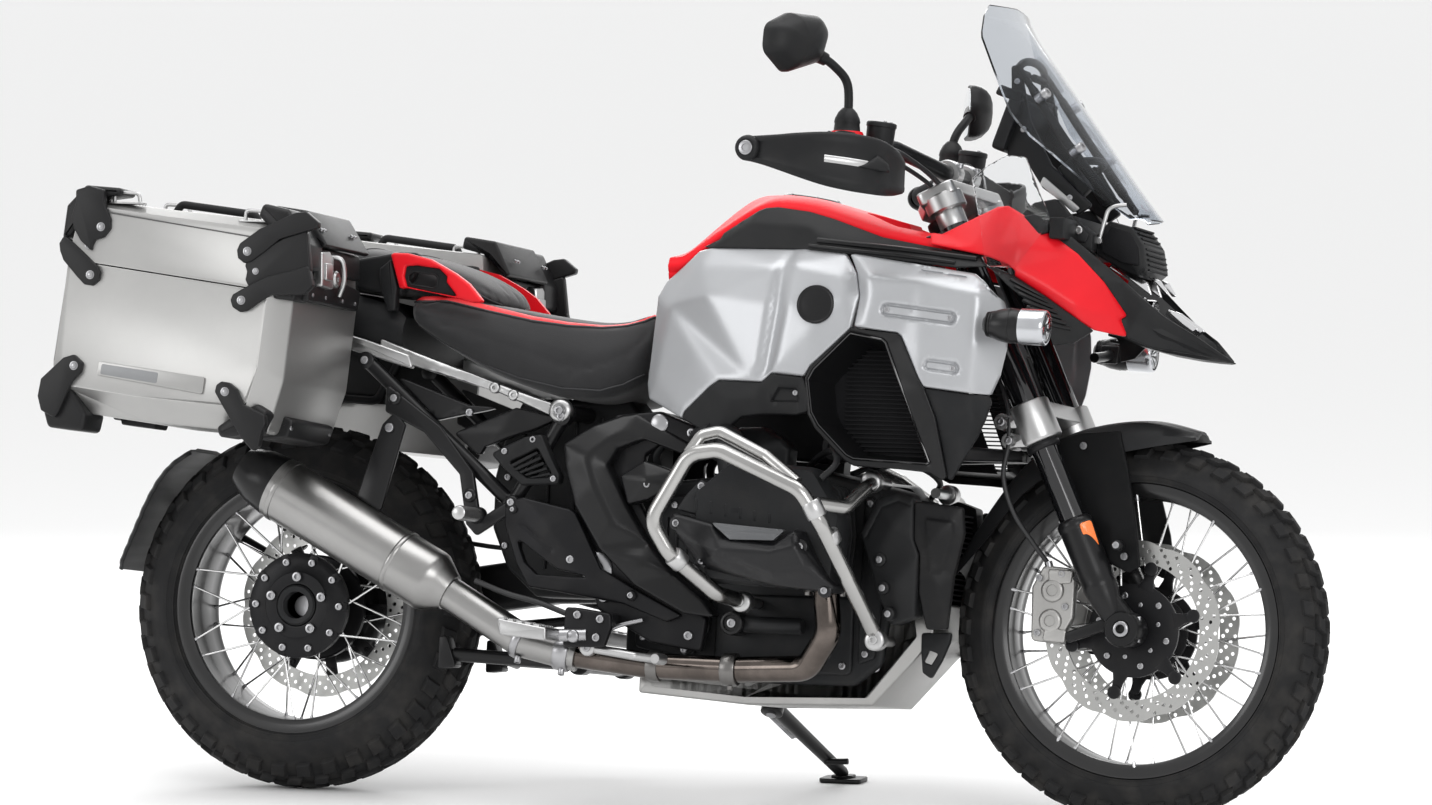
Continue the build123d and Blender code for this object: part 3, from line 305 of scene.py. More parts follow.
mat("black_plastic", (0.0085, 0.0088, 0.0095), 0.46, bump=0.45, bscale=1500, var=0.12, rvar=0.07, dust=0.02, bdist=0.0003, spec=0.22)
mat("black_satin", (0.006, 0.006, 0.0065), 0.32, bump=0.10, bscale=900, coat=0.15, coat_rough=0.25, spec=0.22)
mat("black_paint", (0.007, 0.007, 0.0075), 0.36, metal=0.15, bump=0.10, bscale=900, wear=0.2, dust=0.03, spec=0.22)
mat("caliper_alloy", (0.36, 0.355, 0.345), 0.38, metal=0.8, bump=0.18, bscale=800)
mat("red_paint", (0.60, 0.005, 0.012), 0.40, bump=0.03, bscale=1200, var=0.05, coat=0.12, coat_rough=0.2, spec=0.25)
mat("red_top", (0.60, 0.005, 0.012), 0.46, bump=0.03, bscale=1200, var=0.05, spec=0.14)
mat("silver_paint", (0.365, 0.372, 0.385), 0.36, metal=0.55, bump=0.05, bscale=1800, var=0.03, coat=0.25, coat_rough=0.22)
mat("lamp_lens", (0.93, 0.95, 0.97), 0.04, trans=1.0, ior=1.35, var=0.01, rvar=0.02)
mat("clear_screen", (0.62, 0.65, 0.69), 0.03, trans=1.0, ior=1.25, var=0.01, rvar=0.02)
mat("seat_cover", (0.015, 0.015, 0.016), 0.62, bump=0.30, bscale=620, grain="leather", var=0.14, vscale=20, sheen=0.15, bdist=0.0005, spec=0.22)
mat("seat_red", (0.62, 0.012, 0.018), 0.50, bump=0.20, bscale=700, grain="leather", var=0.06, bdist=0.0004)
mat("red_lens", (0.55, 0.01, 0.012), 0.12, trans=0.35, ior=1.4, coat=0.5)
mat("case_aluminium", (0.35, 0.348, 0.342), 0.40, metal=0.85, bump=0.22, bscale=900, var=0.05, vscale=5, bdist=0.0003)
mat("axle_steel", (0.40, 0.40, 0.40), 0.30, metal=1.0, bump=0.12, bscale=900)
mat("orange_lens", (0.85, 0.20, 0.0), 0.22, bump=0.5, bscale=420, grain="leather", coat=0.6, bdist=0.0008)
mat("rubber", (0.010, 0.010, 0.011), 0.70, bump=0.30, bscale=700, var=0.12, spec=0.25)
mat("bolt_steel", (0.34, 0.34, 0.35), 0.30, metal=1.0, bump=0.05)
mat("dark_mesh", (0.008, 0.008, 0.009), 0.60, bump=0.50, bscale=500, bdist=0.001, spec=0.15)
mat("mirror_glass", (0.80, 0.82, 0.84), 0.03, metal=1.0, var=0.01, rvar=0.01)
mat("chrome", (0.70, 0.70, 0.71), 0.10, metal=1.0, bump=0.03, var=0.03)
mat("screen_display", (0.004, 0.004, 0.005), 0.08, coat=1.0, var=0.05)


# ---- meshes -------------------------------------------------------------
class Mesh:
    """Points in the upright frame in millimetres, faces, and one material number a face."""

    def __init__(self):
        self.v, self.f, self.m, self.s = [], [], [], []

    def add(self, verts, faces, m=0, smooth=True):
        o = len(self.v)
        self.v += [tuple(map(float, p)) for p in verts]
        for f in faces:
            self.f.append([i + o for i in f])
            self.m.append(m)
            self.s.append(smooth)
        return self

    def mirrored(self):
        """Adds the left-hand twin of everything so far."""
        o = len(self.v)
        self.v += [(x, -y, z) for x, y, z in self.v]
        n = len(self.f)
        for k in range(n):
            self.f.append([i + o for i in reversed(self.f[k])])
            self.m.append(self.m[k])
            self.s.append(self.s[k])
        return self


def make(name, mesh, mats, body="root", replaces=(), sharp=35.0, subsurf=0, bevel=0.0, slot=None, weighted=False):
    me = bpy.data.meshes.new(name)
    pts = WA(mesh.v)
    me.from_pydata([tuple(p) for p in pts], [], mesh.f)
    me.validate(clean_customdata=False)
    for mn in (mats if isinstance(mats, (list, tuple)) else [mats]):
        me.materials.append(MATS[mn] if isinstance(mn, str) else mn)
    if len(me.polygons) == len(mesh.f):
        me.polygons.foreach_set("material_index", mesh.m)
        me.polygons.foreach_set("use_smooth", mesh.s)
    else:
        print("WARNING faces dropped in", name, len(mesh.f) - len(me.polygons))
        me.polygons.foreach_set("use_smooth", [True] * len(me.polygons))
    import bmesh
    bm = bmesh.new()
    bm.from_mesh(me)
    bmesh.ops.recalc_face_normals(bm, faces=bm.faces)
    bm.to_mesh(me)
    bm.free()
    ob = bpy.data.objects.new(name, me)
    bpy.context.scene.collection.objects.link(ob)
    if bevel:
        mod = ob.modifiers.new("edge", "BEVEL")
        mod.width, mod.segments, mod.limit_method, mod.angle_limit = bevel / 1000, 2, "ANGLE", math.radians(32)
        mod.harden_normals = False
    if subsurf:
        mod = ob.modifiers.new("smooth", "SUBSURF")
        mod.levels = mod.render_levels = subsurf
    if sharp and not subsurf:
        me.set_sharp_from_angle(angle=math.radians(sharp))
    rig.ride(ob, body)
    if replaces:
        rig.replaces(ob, *replaces)
    if slot:
        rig.slot(ob, slot)
    return ob


def carve(ob, cut):
    """Cut a closed mesh out of a piece, with the piece's modifiers applied first."""
    me = bpy.data.meshes.new("cutter")
    me.from_pydata([tuple(p) for p in WA(cut.v)], [], cut.f)
    import bmesh
    bm = bmesh.new()
    bm.from_mesh(me)
    bmesh.ops.recalc_face_normals(bm, faces=bm.faces)
    bm.to_mesh(me)
    bm.free()
    tool = bpy.data.objects.new("cutter", me)
    bpy.context.scene.collection.objects.link(tool)
    mod = ob.modifiers.new("cut", "BOOLEAN")
    mod.operation, mod.solver, mod.object = "DIFFERENCE", "EXACT", tool
    dg = bpy.context.evaluated_depsgraph_get()
    dg.update()
    res = bpy.data.meshes.new_from_object(ob.evaluated_get(dg))
    ob.modifiers.clear()
    ob.data = res
    bpy.data.objects.remove(tool)
    bpy.data.meshes.remove(me)
    res.polygons.foreach_set("use_smooth", [True] * len(res.polygons))
    res.set_sharp_from_angle(angle=math.radians(40))
    print("carved", ob.name, len(res.polygons))


def frame_of(axis):
    a = Vector(axis).normalized()
    h = Vector((0, 0, 1)) if abs(a.z) < 0.9 else Vector((1, 0, 0))
    u = a.cross(h).normalized()
    return a, u, a.cross(u).normalized()


def turned(m, centre, axis, profile, n=48, mi=0, smooth=True, closed=True, a0=0.0):
    """A body of revolution: the profile is (distance along the axis, radius), closed into itself or capped on the axis."""
    a, u, w = frame_of(axis)
    c = Vector(centre)
    rings, verts = [], []
    for t, r in profile:
        if r < 1e-6:
            rings.append([len(verts)])
            verts.append(c + a * t)
        else:
            ring = []
            for k in range(n):
                q = a0 + 2 * math.pi * k / n
                ring.append(len(verts))
                verts.append(c + a * t + (u * math.cos(q) + w * math.sin(q)) * r)
            rings.append(ring)
    faces = []
    pairs = list(zip(rings, rings[1:]))
    if closed and len(rings[0]) > 1 and len(rings[-1]) > 1:
        pairs.append((rings[-1], rings[0]))
    for p, q in pairs:
        for k in range(n):
            j = (k + 1) % n
            if len(p) > 1 and len(q) > 1:
                faces.append([p[k], p[j], q[j], q[k]])
            elif len(p) > 1:
                faces.append([p[k], p[j], q[0]])
            elif len(q) > 1:
                faces.append([p[0], q[j], q[k]])
    m.add(verts, faces, mi, smooth)


def fillet(pts, r, k=6):
    """A polyline with its corners rounded to radius r (one number or one for each inner point)."""
    P = [Vector(p) for p in pts]
    rs = list(r) if isinstance(r, (list, tuple)) else [r] * (len(P) - 2)
    out = [P[0]]
    for i in range(1, len(P) - 1):
        a, b, c = P[i - 1], P[i], P[i + 1]
        d0, d1 = (a - b).normalized(), (c - b).normalized()
        ang = d0.angle(d1)
        if ang > math.pi - 0.02 or rs[i - 1] <= 0:
            out.append(b)
            continue
        t = rs[i - 1] / math.tan(ang / 2)
        t = min(t, 0.49 * (a - b).length, 0.49 * (c - b).length)
        p, q = b + d0 * t, b + d1 * t
        for j in range(k + 1):
            s = j / k
            out.append(p * (1 - s) ** 2 + b * 2 * s * (1 - s) + q * s ** 2)
    out.append(P[-1])
    return out


def smooth_line(pts, k=6):
    """A Catmull-Rom line through the points."""
    P = [Vector(p) for p in pts]
    P = [P[0] * 2 - P[1]] + P + [P[-1] * 2 - P[-2]]
    out = []
    for i in range(1, len(P) - 2):
        a, b, c, d = P[i - 1:i + 3]
        for j in range(k):
            t = j / k
            out.append(0.5 * ((2 * b) + (c - a) * t + (2 * a - 5 * b + 4 * c - d) * t * t + (3 * b - a - 3 * c + d) * t ** 3))
    out.append(P[-2])
    return out


def tube(m, line, r, n=14, mi=0, caps=True, round_end=0.0):
    """A round tube along a line; r is a number or one for each point."""
    P = [Vector(p) for p in line]
    if round_end and not isinstance(r, (list, tuple)):
        d0, d1 = (P[1] - P[0]).normalized(), (P[-2] - P[-1]).normalized()
        e = round_end
        rr = [r * 0.35, r * 0.75, r] + [r] * (len(P) - 2) + [r, r * 0.75, r * 0.35]
        P = [P[0], P[0] + d0 * e * 0.25, P[0] + d0 * e] + P[1:-1] + [P[-1] + d1 * e, P[-1] + d1 * e * 0.25, P[-1]]
        r = rr
    R = list(r) if isinstance(r, (list, tuple)) else [r] * len(P)
    T = []
    for i in range(len(P)):
        a = P[max(i - 1, 0)]
        b = P[min(i + 1, len(P) - 1)]
        T.append((b - a).normalized())
    _, u, _ = frame_of(T[0])
    verts, faces = [], []
    for i, (p, t) in enumerate(zip(P, T)):
        u = (u - t * u.dot(t)).normalized()
        w = t.cross(u)
        for k in range(n):
            q = 2 * math.pi * k / n
            verts.append(p + (u * math.cos(q) + w * math.sin(q)) * R[i])
    for i in range(len(P) - 1):
        for k in range(n):
            j = (k + 1) % n
            faces.append([i * n + k, i * n + j, (i + 1) * n + j, (i + 1) * n + k])
    m.add(verts, faces, mi)
    if caps:
        o = len(m.v) - len(verts)
        m.f.append([o + k for k in reversed(range(n))])
        m.f.append([o + (len(P) - 1) * n + k for k in range(n)])
        m.m += [mi, mi]
        m.s += [False, False]


def area2(poly):
    return sum(poly[i][0] * poly[(i + 1) % len(poly)][1] - poly[(i + 1) % len(poly)][0] * poly[i][1] for i in range(len(poly)))


def inset(poly, d):
    """A 2-D outline moved inwards by d, mitred."""
    s = 1 if area2(poly) > 0 else -1
    out = []
    n = len(poly)
    for i in range(n):
        a, b, c = Vector(poly[i - 1]), Vector(poly[i]), Vector(poly[(i + 1) % n])
        e0, e1 = (b - a), (c - b)
        if e0.length < 1e-9 or e1.length < 1e-9:
            out.append(tuple(b))
            continue
        e0.normalize()
        e1.normalize()
        n0, n1 = Vector((-e0.y, e0.x)) * s, Vector((-e1.y, e1.x)) * s
        k = n0 + n1
        if k.length < 1e-6:
            out.append(tuple(b + n0 * d))
            continue
        k.normalize()
        out.append(tuple(b + k * (d / max(0.35, k.dot(n0)))))
    return out


def rounded(poly, r, k=4):
    """A 2-D outline with its corners rounded; r is a number or one for each corner."""
    n = len(poly)
    rs = list(r) if isinstance(r, (list, tuple)) else [r] * n
    out = []
    for i in range(n):
        a, b, c = Vector(poly[i - 1]), Vector(poly[i]), Vector(poly[(i + 1) % n])
        if rs[i] <= 0:
            out.append(tuple(b))
            continue
        d0, d1 = (a - b), (c - b)
        l0, l1 = d0.length, d1.length
        d0.normalize()
        d1.normalize()
        ang = d0.angle(d1)
        if ang > math.pi - 0.05:
            out.append(tuple(b))
            continue
        t = min(rs[i] / math.tan(ang / 2), 0.45 * l0, 0.45 * l1)
        p, q = b + d0 * t, b + d1 * t
        for j in range(k + 1):
            s = j / k
            out.append(tuple(p * (1 - s) ** 2 + b * 2 * s * (1 - s) + q * s ** 2))
    return out


def prism(m, poly, to3, h0, h1, edge=1.5, mi=0, segs=2, flat_caps=True, cap_mi=None):
    """A plate: a 2-D outline from height h0 to h1 with rounded edges. to3(a, b, h) gives the 3-D point."""
    rows = []
    sgn = 1 if h1 > h0 else -1
    steps = [(1 - math.cos(math.pi / 2 * j / segs), 1 - math.sin(math.pi / 2 * j / segs)) for j in range(segs + 1)]
    for c, s in steps:
        rows.append((edge * s, h0 + sgn * edge * c) if False else (edge * (1 - math.sin(math.acos(max(-1, min(1, 1 - c))))), h0 + sgn * edge * c))
    for c, s in reversed(steps):
        rows.append((edge * (1 - math.sin(math.acos(max(-1, min(1, 1 - c))))), h1 - sgn * edge * c))
    verts, faces = [], []
    n = len(poly)
    for d, h in rows:
        q = inset(poly, d) if d > 1e-6 else poly
        verts += [to3(a, b, h) for a, b in q]
    for i in range(len(rows) - 1):
        for k in range(n):
            j = (k + 1) % n
            faces.append([i * n + k, i * n + j, (i + 1) * n + j, (i + 1) * n + k])
    m.add(verts, faces, mi)
    o = len(m.v) - len(verts)
    m.f.append([o + k for k in reversed(range(n))])
    m.f.append([o + (len(rows) - 1) * n + k for k in range(n)])
    m.m += [mi, mi if cap_mi is None else cap_mi]
    m.s += [False, False]


def xz(y_sign=1):
    return lambda a, b, h: (a, h * y_sign, b)


def plate(m, poly, y0, y1, edge=1.5, mi=0, segs=2):
    """A plate in the XZ plane from y0 to y1."""
    prism(m, poly, lambda a, b, h: (a, h, b), y0, y1, edge, mi, segs)


def plane_map(origin, n, up=(0, 0, 1)):
    """Local coordinates on a plane: a along u, b along v, h along n."""
    o, nn = Vector(origin), Vector(n).normalized()
    v = Vector(up) - nn * nn.dot(Vector(up))
    v.normalize()
    u = v.cross(nn)
    return lambda a, b, h: tuple(o + u * a + v * b + nn * h)


def bolt(m, p, axis, r=5.0, h=4.0, mi=0, hexed=True, n=18):
    """A socket-head screw standing on p, with its socket as a hollow."""
    c = 0.8
    prof = [(-2.0, r * 0.98), (h - c, r), (h - 0.25 * c, r - 0.7 * c), (h, r - 1.4 * c)]
    if hexed:
        prof += [(h, r * 0.52), (h * 0.35, r * 0.50), (h * 0.35, 0.0)]
        turned(m, p, axis, [(-2.0, 0.0)] + prof, n, mi, closed=False)
    else:
        turned(m, p, axis, [(-2.0, 0.0)] + prof + [(h + 0.5, 0.0)], n, mi, closed=False)


def hexnut(m, p, axis, r=8.0, h=6.0, mi=0):
    turned(m, p, axis, [(-1.0, 0.0), (-1.0, r), (h - 1.0, r), (h, r * 0.88), (h, r * 0.5), (h + 1.5, r * 0.46), (h + 1.5, 0.0)], 6, mi, smooth=False, closed=False)


def arc_pts(cx, cz, r, a0, a1, n):
    return [(cx + r * math.cos(math.radians(a0 + (a1 - a0) * i / n)), cz + r * math.sin(math.radians(a0 + (a1 - a0) * i / n))) for i in range(n + 1)]


def circle2(cx, cz, r, n=16, a0=0.0):
    return [(cx + r * math.cos(a0 + 2 * math.pi * i / n), cz + r * math.sin(a0 + 2 * math.pi * i / n)) for i in range(n)]


def resample(poly, step, closed=True):
    out = []
    n = len(poly)
    for i in range(n if closed else n - 1):
        a, b = Vector(poly[i]), Vector(poly[(i + 1) % n])
        k = max(1, int(math.ceil((b - a).length / step)))
        for j in range(k):
            out.append(tuple(a + (b - a) * (j / k)))
    if not closed:
        out.append(tuple(poly[-1]))
    return out


def inside(poly, pts):
    """Which of the (n, 2) points lie inside the outline."""
    P = np.asarray(poly, float)
    X, Y = pts[:, 0], pts[:, 1]
    c = np.zeros(len(pts), bool)
    x1, y1 = P[:, 0], P[:, 1]
    x0, y0 = np.roll(x1, 1), np.roll(y1, 1)
    for a, b, e, f in zip(x0, y0, x1, y1):
        if b == f:
            continue
        hit = ((b > Y) != (f > Y)) & (X < (e - a) * (Y - b) / (f - b) + a)
        c ^= hit
    return c


def distance(poly, pts, closed=True):
    """The distance from each (n, 2) point to the outline."""
    P = np.asarray(poly, float)
    Q = np.roll(P, -1, axis=0) if closed else P[1:]
    A = P if closed else P[:-1]
    best = np.full(len(pts), 1e9)
    for a, b in zip(A, Q):
        d = b - a
        L = max(d @ d, 1e-12)
        t = np.clip(((pts - a) @ d) / L, 0, 1)
        e = pts - (a + t[:, None] * d)
        best = np.minimum(best, np.hypot(e[:, 0], e[:, 1]))
    return best


def spline_surface(ctrl):
    """A thin-plate surface y(x, z) through (x, z, y) points."""
    C = np.asarray(ctrl, float)
    P, y = C[:, :2] / 100.0, C[:, 2]
    def k(r2):
        return np.where(r2 > 1e-12, r2 * np.log(np.maximum(r2, 1e-12)), 0.0)
    n = len(P)
    K = k(((P[:, None] - P[None]) ** 2).sum(-1)) + np.eye(n) * 1e-3
    A = np.zeros((n + 3, n + 3))
    A[:n, :n] = K
    A[:n, n:] = np.c_[np.ones(n), P]
    A[n:, :n] = A[:n, n:].T
    w = np.linalg.solve(A, np.r_[y, 0, 0, 0])
    def f(pts):
        q = np.asarray(pts, float) / 100.0
        out = np.empty(len(q))
        for s in range(0, len(q), 4000):
            qq = q[s:s + 4000]
            out[s:s + 4000] = k(((qq[:, None] - P[None]) ** 2).sum(-1)) @ w[:n] + w[n] + qq @ w[n + 1:]
        return out
    return f


def smoothstep(t):
    t = np.clip(t, 0, 1)
    return t * t * (3 - 2 * t)


def skin(m, outline, surf, side=-1, thick=3.0, edge=4.0, res=9.0, holes=(), raised=(), grooves=(), mi=0, step=4.0, bulge=0.0, back=True):
    """A body panel. Its outline and holes are in x and z, surf gives its half width there, and its border rolls inwards.
    raised rows are an outline, a height (negative is a recess) and a ramp width.
    grooves rows are a line, a depth and a width."""
    out = resample(outline, step)
    border_n = len(out)
    hole_pts = [resample(h, step) for h in holes]
    extra = []
    ring_steps = (0.12, 0.35, 0.65, 1.0)
    rings = [(out, False)] + [(h, True) for h in hole_pts]
    for poly, is_hole in rings:
        for q in ring_steps:
            extra += inset(poly, (-1 if is_hole else 1) * edge * q)
    for poly, h, wdt in raised:
        pp = resample(poly, max(2.5, step * 0.8))
        extra += pp + inset(pp, wdt) + inset(pp, wdt * 0.5)
    for line, dep, wdt in grooves:
        ll = resample(line, max(2.5, step * 0.8), closed=False)
        for i, p in enumerate(ll):
            a, b = Vector(ll[max(0, i - 1)]), Vector(ll[min(len(ll) - 1, i + 1)])
            t = (b - a).normalized()
            nrm = Vector((-t.y, t.x))
            for s in (-1, -0.5, 0, 0.5, 1):
                extra.append(tuple(Vector(p) + nrm * wdt * s))
    lo = np.min(out, axis=0)
    hi = np.max(out, axis=0)
    gx, gz = np.arange(lo[0] + res / 2, hi[0], res), np.arange(lo[1] + res / 2, hi[1], res)
    G = np.array([(x + (res / 2 if j % 2 else 0), z) for j, z in enumerate(gz) for x in gx]).reshape(-1, 2)
    E = np.array(extra) if extra else np.zeros((0, 2))
    cand = np.vstack([E, G])
    keep = inside(out, cand)
    dist = distance(out, cand)
    for h in hole_pts:
        keep &= ~inside(h, cand)
        dist = np.minimum(dist, distance(h, cand))
    keep &= dist > edge * 0.08
    grid_part = np.arange(len(cand)) >= len(E)
    keep &= ~(grid_part & (dist < edge * 1.25))
    cand = cand[keep]
    # thin out near-duplicates
    key = {}
    for p in cand:
        key.setdefault((round(p[0] / 1.1), round(p[1] / 1.1)), (float(p[0]), float(p[1])))
    inner = list(key.values())
    pts = [tuple(p) for p in out]
    edges = [(i, (i + 1) % len(out)) for i in range(len(out))]
    borders = [list(range(len(out)))]
    for h in hole_pts:
        o = len(pts)
        pts += [tuple(p) for p in h]
        edges += [(o + i, o + (i + 1) % len(h)) for i in range(len(h))]
        borders.append([o + i for i in range(len(h))])
    pts += inner
    vs, es, fs, ov, oe, of_ = geometry.delaunay_2d_cdt([Vector(p) for p in pts], edges, [], 0, 1e-4)
    V2 = np.array([(v.x, v.y) for v in vs])
    F = np.array([f for f in fs if len(f) == 3], int)
    cen = V2[F].mean(axis=1)
    ok = inside(out, cen)
    for h in hole_pts:
        ok &= ~inside(h, cen)
    F = F[ok]
    base = surf(V2)
    d = distance(out, V2)
    for h in hole_pts:
        d = np.minimum(d, distance(h, V2))
    t = np.clip(1 - d / edge, 0, 1)
    y = base - edge * (1 - np.sqrt(np.clip(1 - t * t, 0, 1)))
    for poly, h, wdt in raised:
        s = inside(poly, V2)
        dd = distance(poly, V2)
        y = y + np.where(s, h * smoothstep(dd / wdt), 0.0)
    for line, dep, wdt in grooves:
        dd = distance(line, V2, closed=False)
        y = y - dep * (1 - smoothstep(dd / wdt))
    front = np.c_[V2[:, 0], side * y, V2[:, 1]]
    o = len(m.v)
    nv = len(front)
    m.add(front, F.tolist(), mi)
    if back:
        yb = base - edge - thick
        m.add(np.c_[V2[:, 0], side * yb, V2[:, 1]], F[:, ::-1].tolist(), mi)
        # border walls follow the constrained edges
        cnt = {}
        for a, b, c in F.tolist():
            for e in ((a, b), (b, c), (c, a)):
                k = tuple(sorted(e))
                cnt[k] = cnt.get(k, 0) + 1
        for (a, b), c in cnt.items():
            if c == 1:
                m.f.append([o + a, o + b, o + nv + b, o + nv + a])
                m.m.append(mi)
                m.s.append(True)
    return surf


def loft(m, sections, mi=0, smooth=True, caps=True, closed=True):
    n = len(sections[0])
    verts = [p for s in sections for p in s]
    faces = []
    for i in range(len(sections) - 1):
        for k in range(n if closed else n - 1):
            j = (k + 1) % n
            faces.append([i * n + k, i * n + j, (i + 1) * n + j, (i + 1) * n + k])
    o = len(m.v)
    m.add(verts, faces, mi, smooth)
    if caps:
        m.f.append([o + k for k in reversed(range(n))])
        m.f.append([o + (len(sections) - 1) * n + k for k in range(n)])
        m.m += [mi, mi]
        m.s += [False, False]


def paint(node, name):
    """A CAD node keeps its shape and takes a finish."""
    ob = bpy.data.objects[node] if node in bpy.data.objects else None
    for o in bpy.data.objects:
        if o.name == node or o.name.startswith(node + "."):
            ob = o
    if ob is None:
        raise SystemExit("no CAD object " + node)
    me = ob.data
    if len(ob.material_slots) == 0:
        me.materials.append(MATS[name])
    for s in ob.material_slots:
        s.material = MATS[name]
    return ob

# ---- places read along the camera's view --------------------------------
EYE = np.array((5220.287, -12989.351, 1730.861))
LOOK = np.array((-0.32282886, 0.94351423, -0.0745816))
RIGHT = np.array((0.94614934, 0.32373048, 0.0))
UP = np.array((-0.02414434, 0.07056533, 0.99721491))
FOCAL = 7937.303


def see(pts, y):
    """Where the view through image points (u, v) meets the plane y in the upright frame: (x, z) pairs. y may be a list."""
    out = []
    ys = y if isinstance(y, (list, tuple, np.ndarray)) else [y] * len(pts)
    for (u, v), yy in zip(pts, ys):
        d = LOOK + (u - 716.0) / FOCAL * RIGHT - (v - 402.5) / FOCAL * UP
        # leaned to upright: y = Y cos - Z sin, z = Y sin + Z cos
        e = np.array((EYE[0], EYE[1] * CL - EYE[2] * SL, EYE[1] * SL + EYE[2] * CL))
        f = np.array((d[0], d[1] * CL - d[2] * SL, d[1] * SL + d[2] * CL))
        t = (yy - e[1]) / f[1]
        p = e + f * t
        out.append((float(p[0]), float(p[2])))
    return out


def crop(u0, v0, width):
    """Image points given on a detail view that is 1568 wide."""
    s = width / 1568.0
    return lambda pts: [(u0 + a * s, v0 + b * s) for a, b in pts]


def see_on(pts, surf, side=-1):
    """The same on a surface that gives the half width at (x, z)."""
    w = np.full(len(pts), 250.0)
    q = None
    for _ in range(8):
        q = see(pts, list(side * w))
        w = surf(np.array(q))
    return q


class Facets:
    """A surface of flat facets with softened creases. keys are (u, v, half width) on a detail view or (x, z, half width)."""

    def __init__(self, keys, creases=(), soft=7.0, view=None, side=-1, hull=True):
        self.soft = soft
        if view is not None:
            px = view([(k[0], k[1]) for k in keys])
            xz_ = see(px, [side * k[2] for k in keys])
        else:
            xz_ = [(k[0], k[1]) for k in keys]
        self.xz = xz_
        P = [Vector(p) for p in xz_]
        vs, es, fs, ov, oe, of_ = geometry.delaunay_2d_cdt(P, list(creases), [], 0, 1e-4)
        w = []
        for i, v in enumerate(vs):
            if ov[i]:
                w.append(keys[ov[i][0]][2])
            else:
                d = [(Vector(p) - v).length for p in P]
                j = int(np.argmin(d))
                w.append(keys[j][2])
        self.V = np.array([(v.x, v.y) for v in vs])
        self.w = np.array(w, float)
        self.F = np.array([f for f in fs if len(f) == 3], int)

    def raw(self, q):
        A, B, C = self.V[self.F[:, 0]], self.V[self.F[:, 1]], self.V[self.F[:, 2]]
        wa, wb, wc = self.w[self.F[:, 0]], self.w[self.F[:, 1]], self.w[self.F[:, 2]]
        v0, v1 = B - A, C - A
        den = v0[:, 0] * v1[:, 1] - v0[:, 1] * v1[:, 0]
        den = np.where(np.abs(den) < 1e-9, 1e-9, den)
        out = np.empty(len(q))
        for s in range(0, len(q), 3000):
            p = q[s:s + 3000]
            d = p[:, None, :] - A[None]
            b = (d[:, :, 0] * v1[:, 1] - d[:, :, 1] * v1[:, 0]) / den
            c = (v0[:, 0] * d[:, :, 1] - v0[:, 1] * d[:, :, 0]) / den
            a = 1 - b - c
            worst = np.minimum(np.minimum(a, b), c)
            j = worst.argmax(axis=1)
            r = np.arange(len(p))
            aa, bb, cc = np.clip(a[r, j], -0.3, 1.3), np.clip(b[r, j], -0.3, 1.3), np.clip(c[r, j], -0.3, 1.3)
            t = aa + bb + cc
            out[s:s + 3000] = (aa * wa[j] + bb * wb[j] + cc * wc[j]) / t
        return out

    def __call__(self, pts):
        q = np.asarray(pts, float)
        if self.soft <= 0:
            return self.raw(q)
        acc = self.raw(q) * 2.0
        tot = 2.0
        for ring, wgt in ((0.5, 1.0), (1.0, 0.6)):
            for k in range(8):
                a = math.pi / 4 * k + ring
                acc = acc + wgt * self.raw(q + np.array((math.cos(a), math.sin(a))) * self.soft * ring)
                tot += wgt
        return acc / tot


class Moved:
    """A surface set in or out by a distance."""

    def __init__(self, surf, d):
        self.s, self.d = surf, d

    def __call__(self, q):
        return self.s(q) + self.d

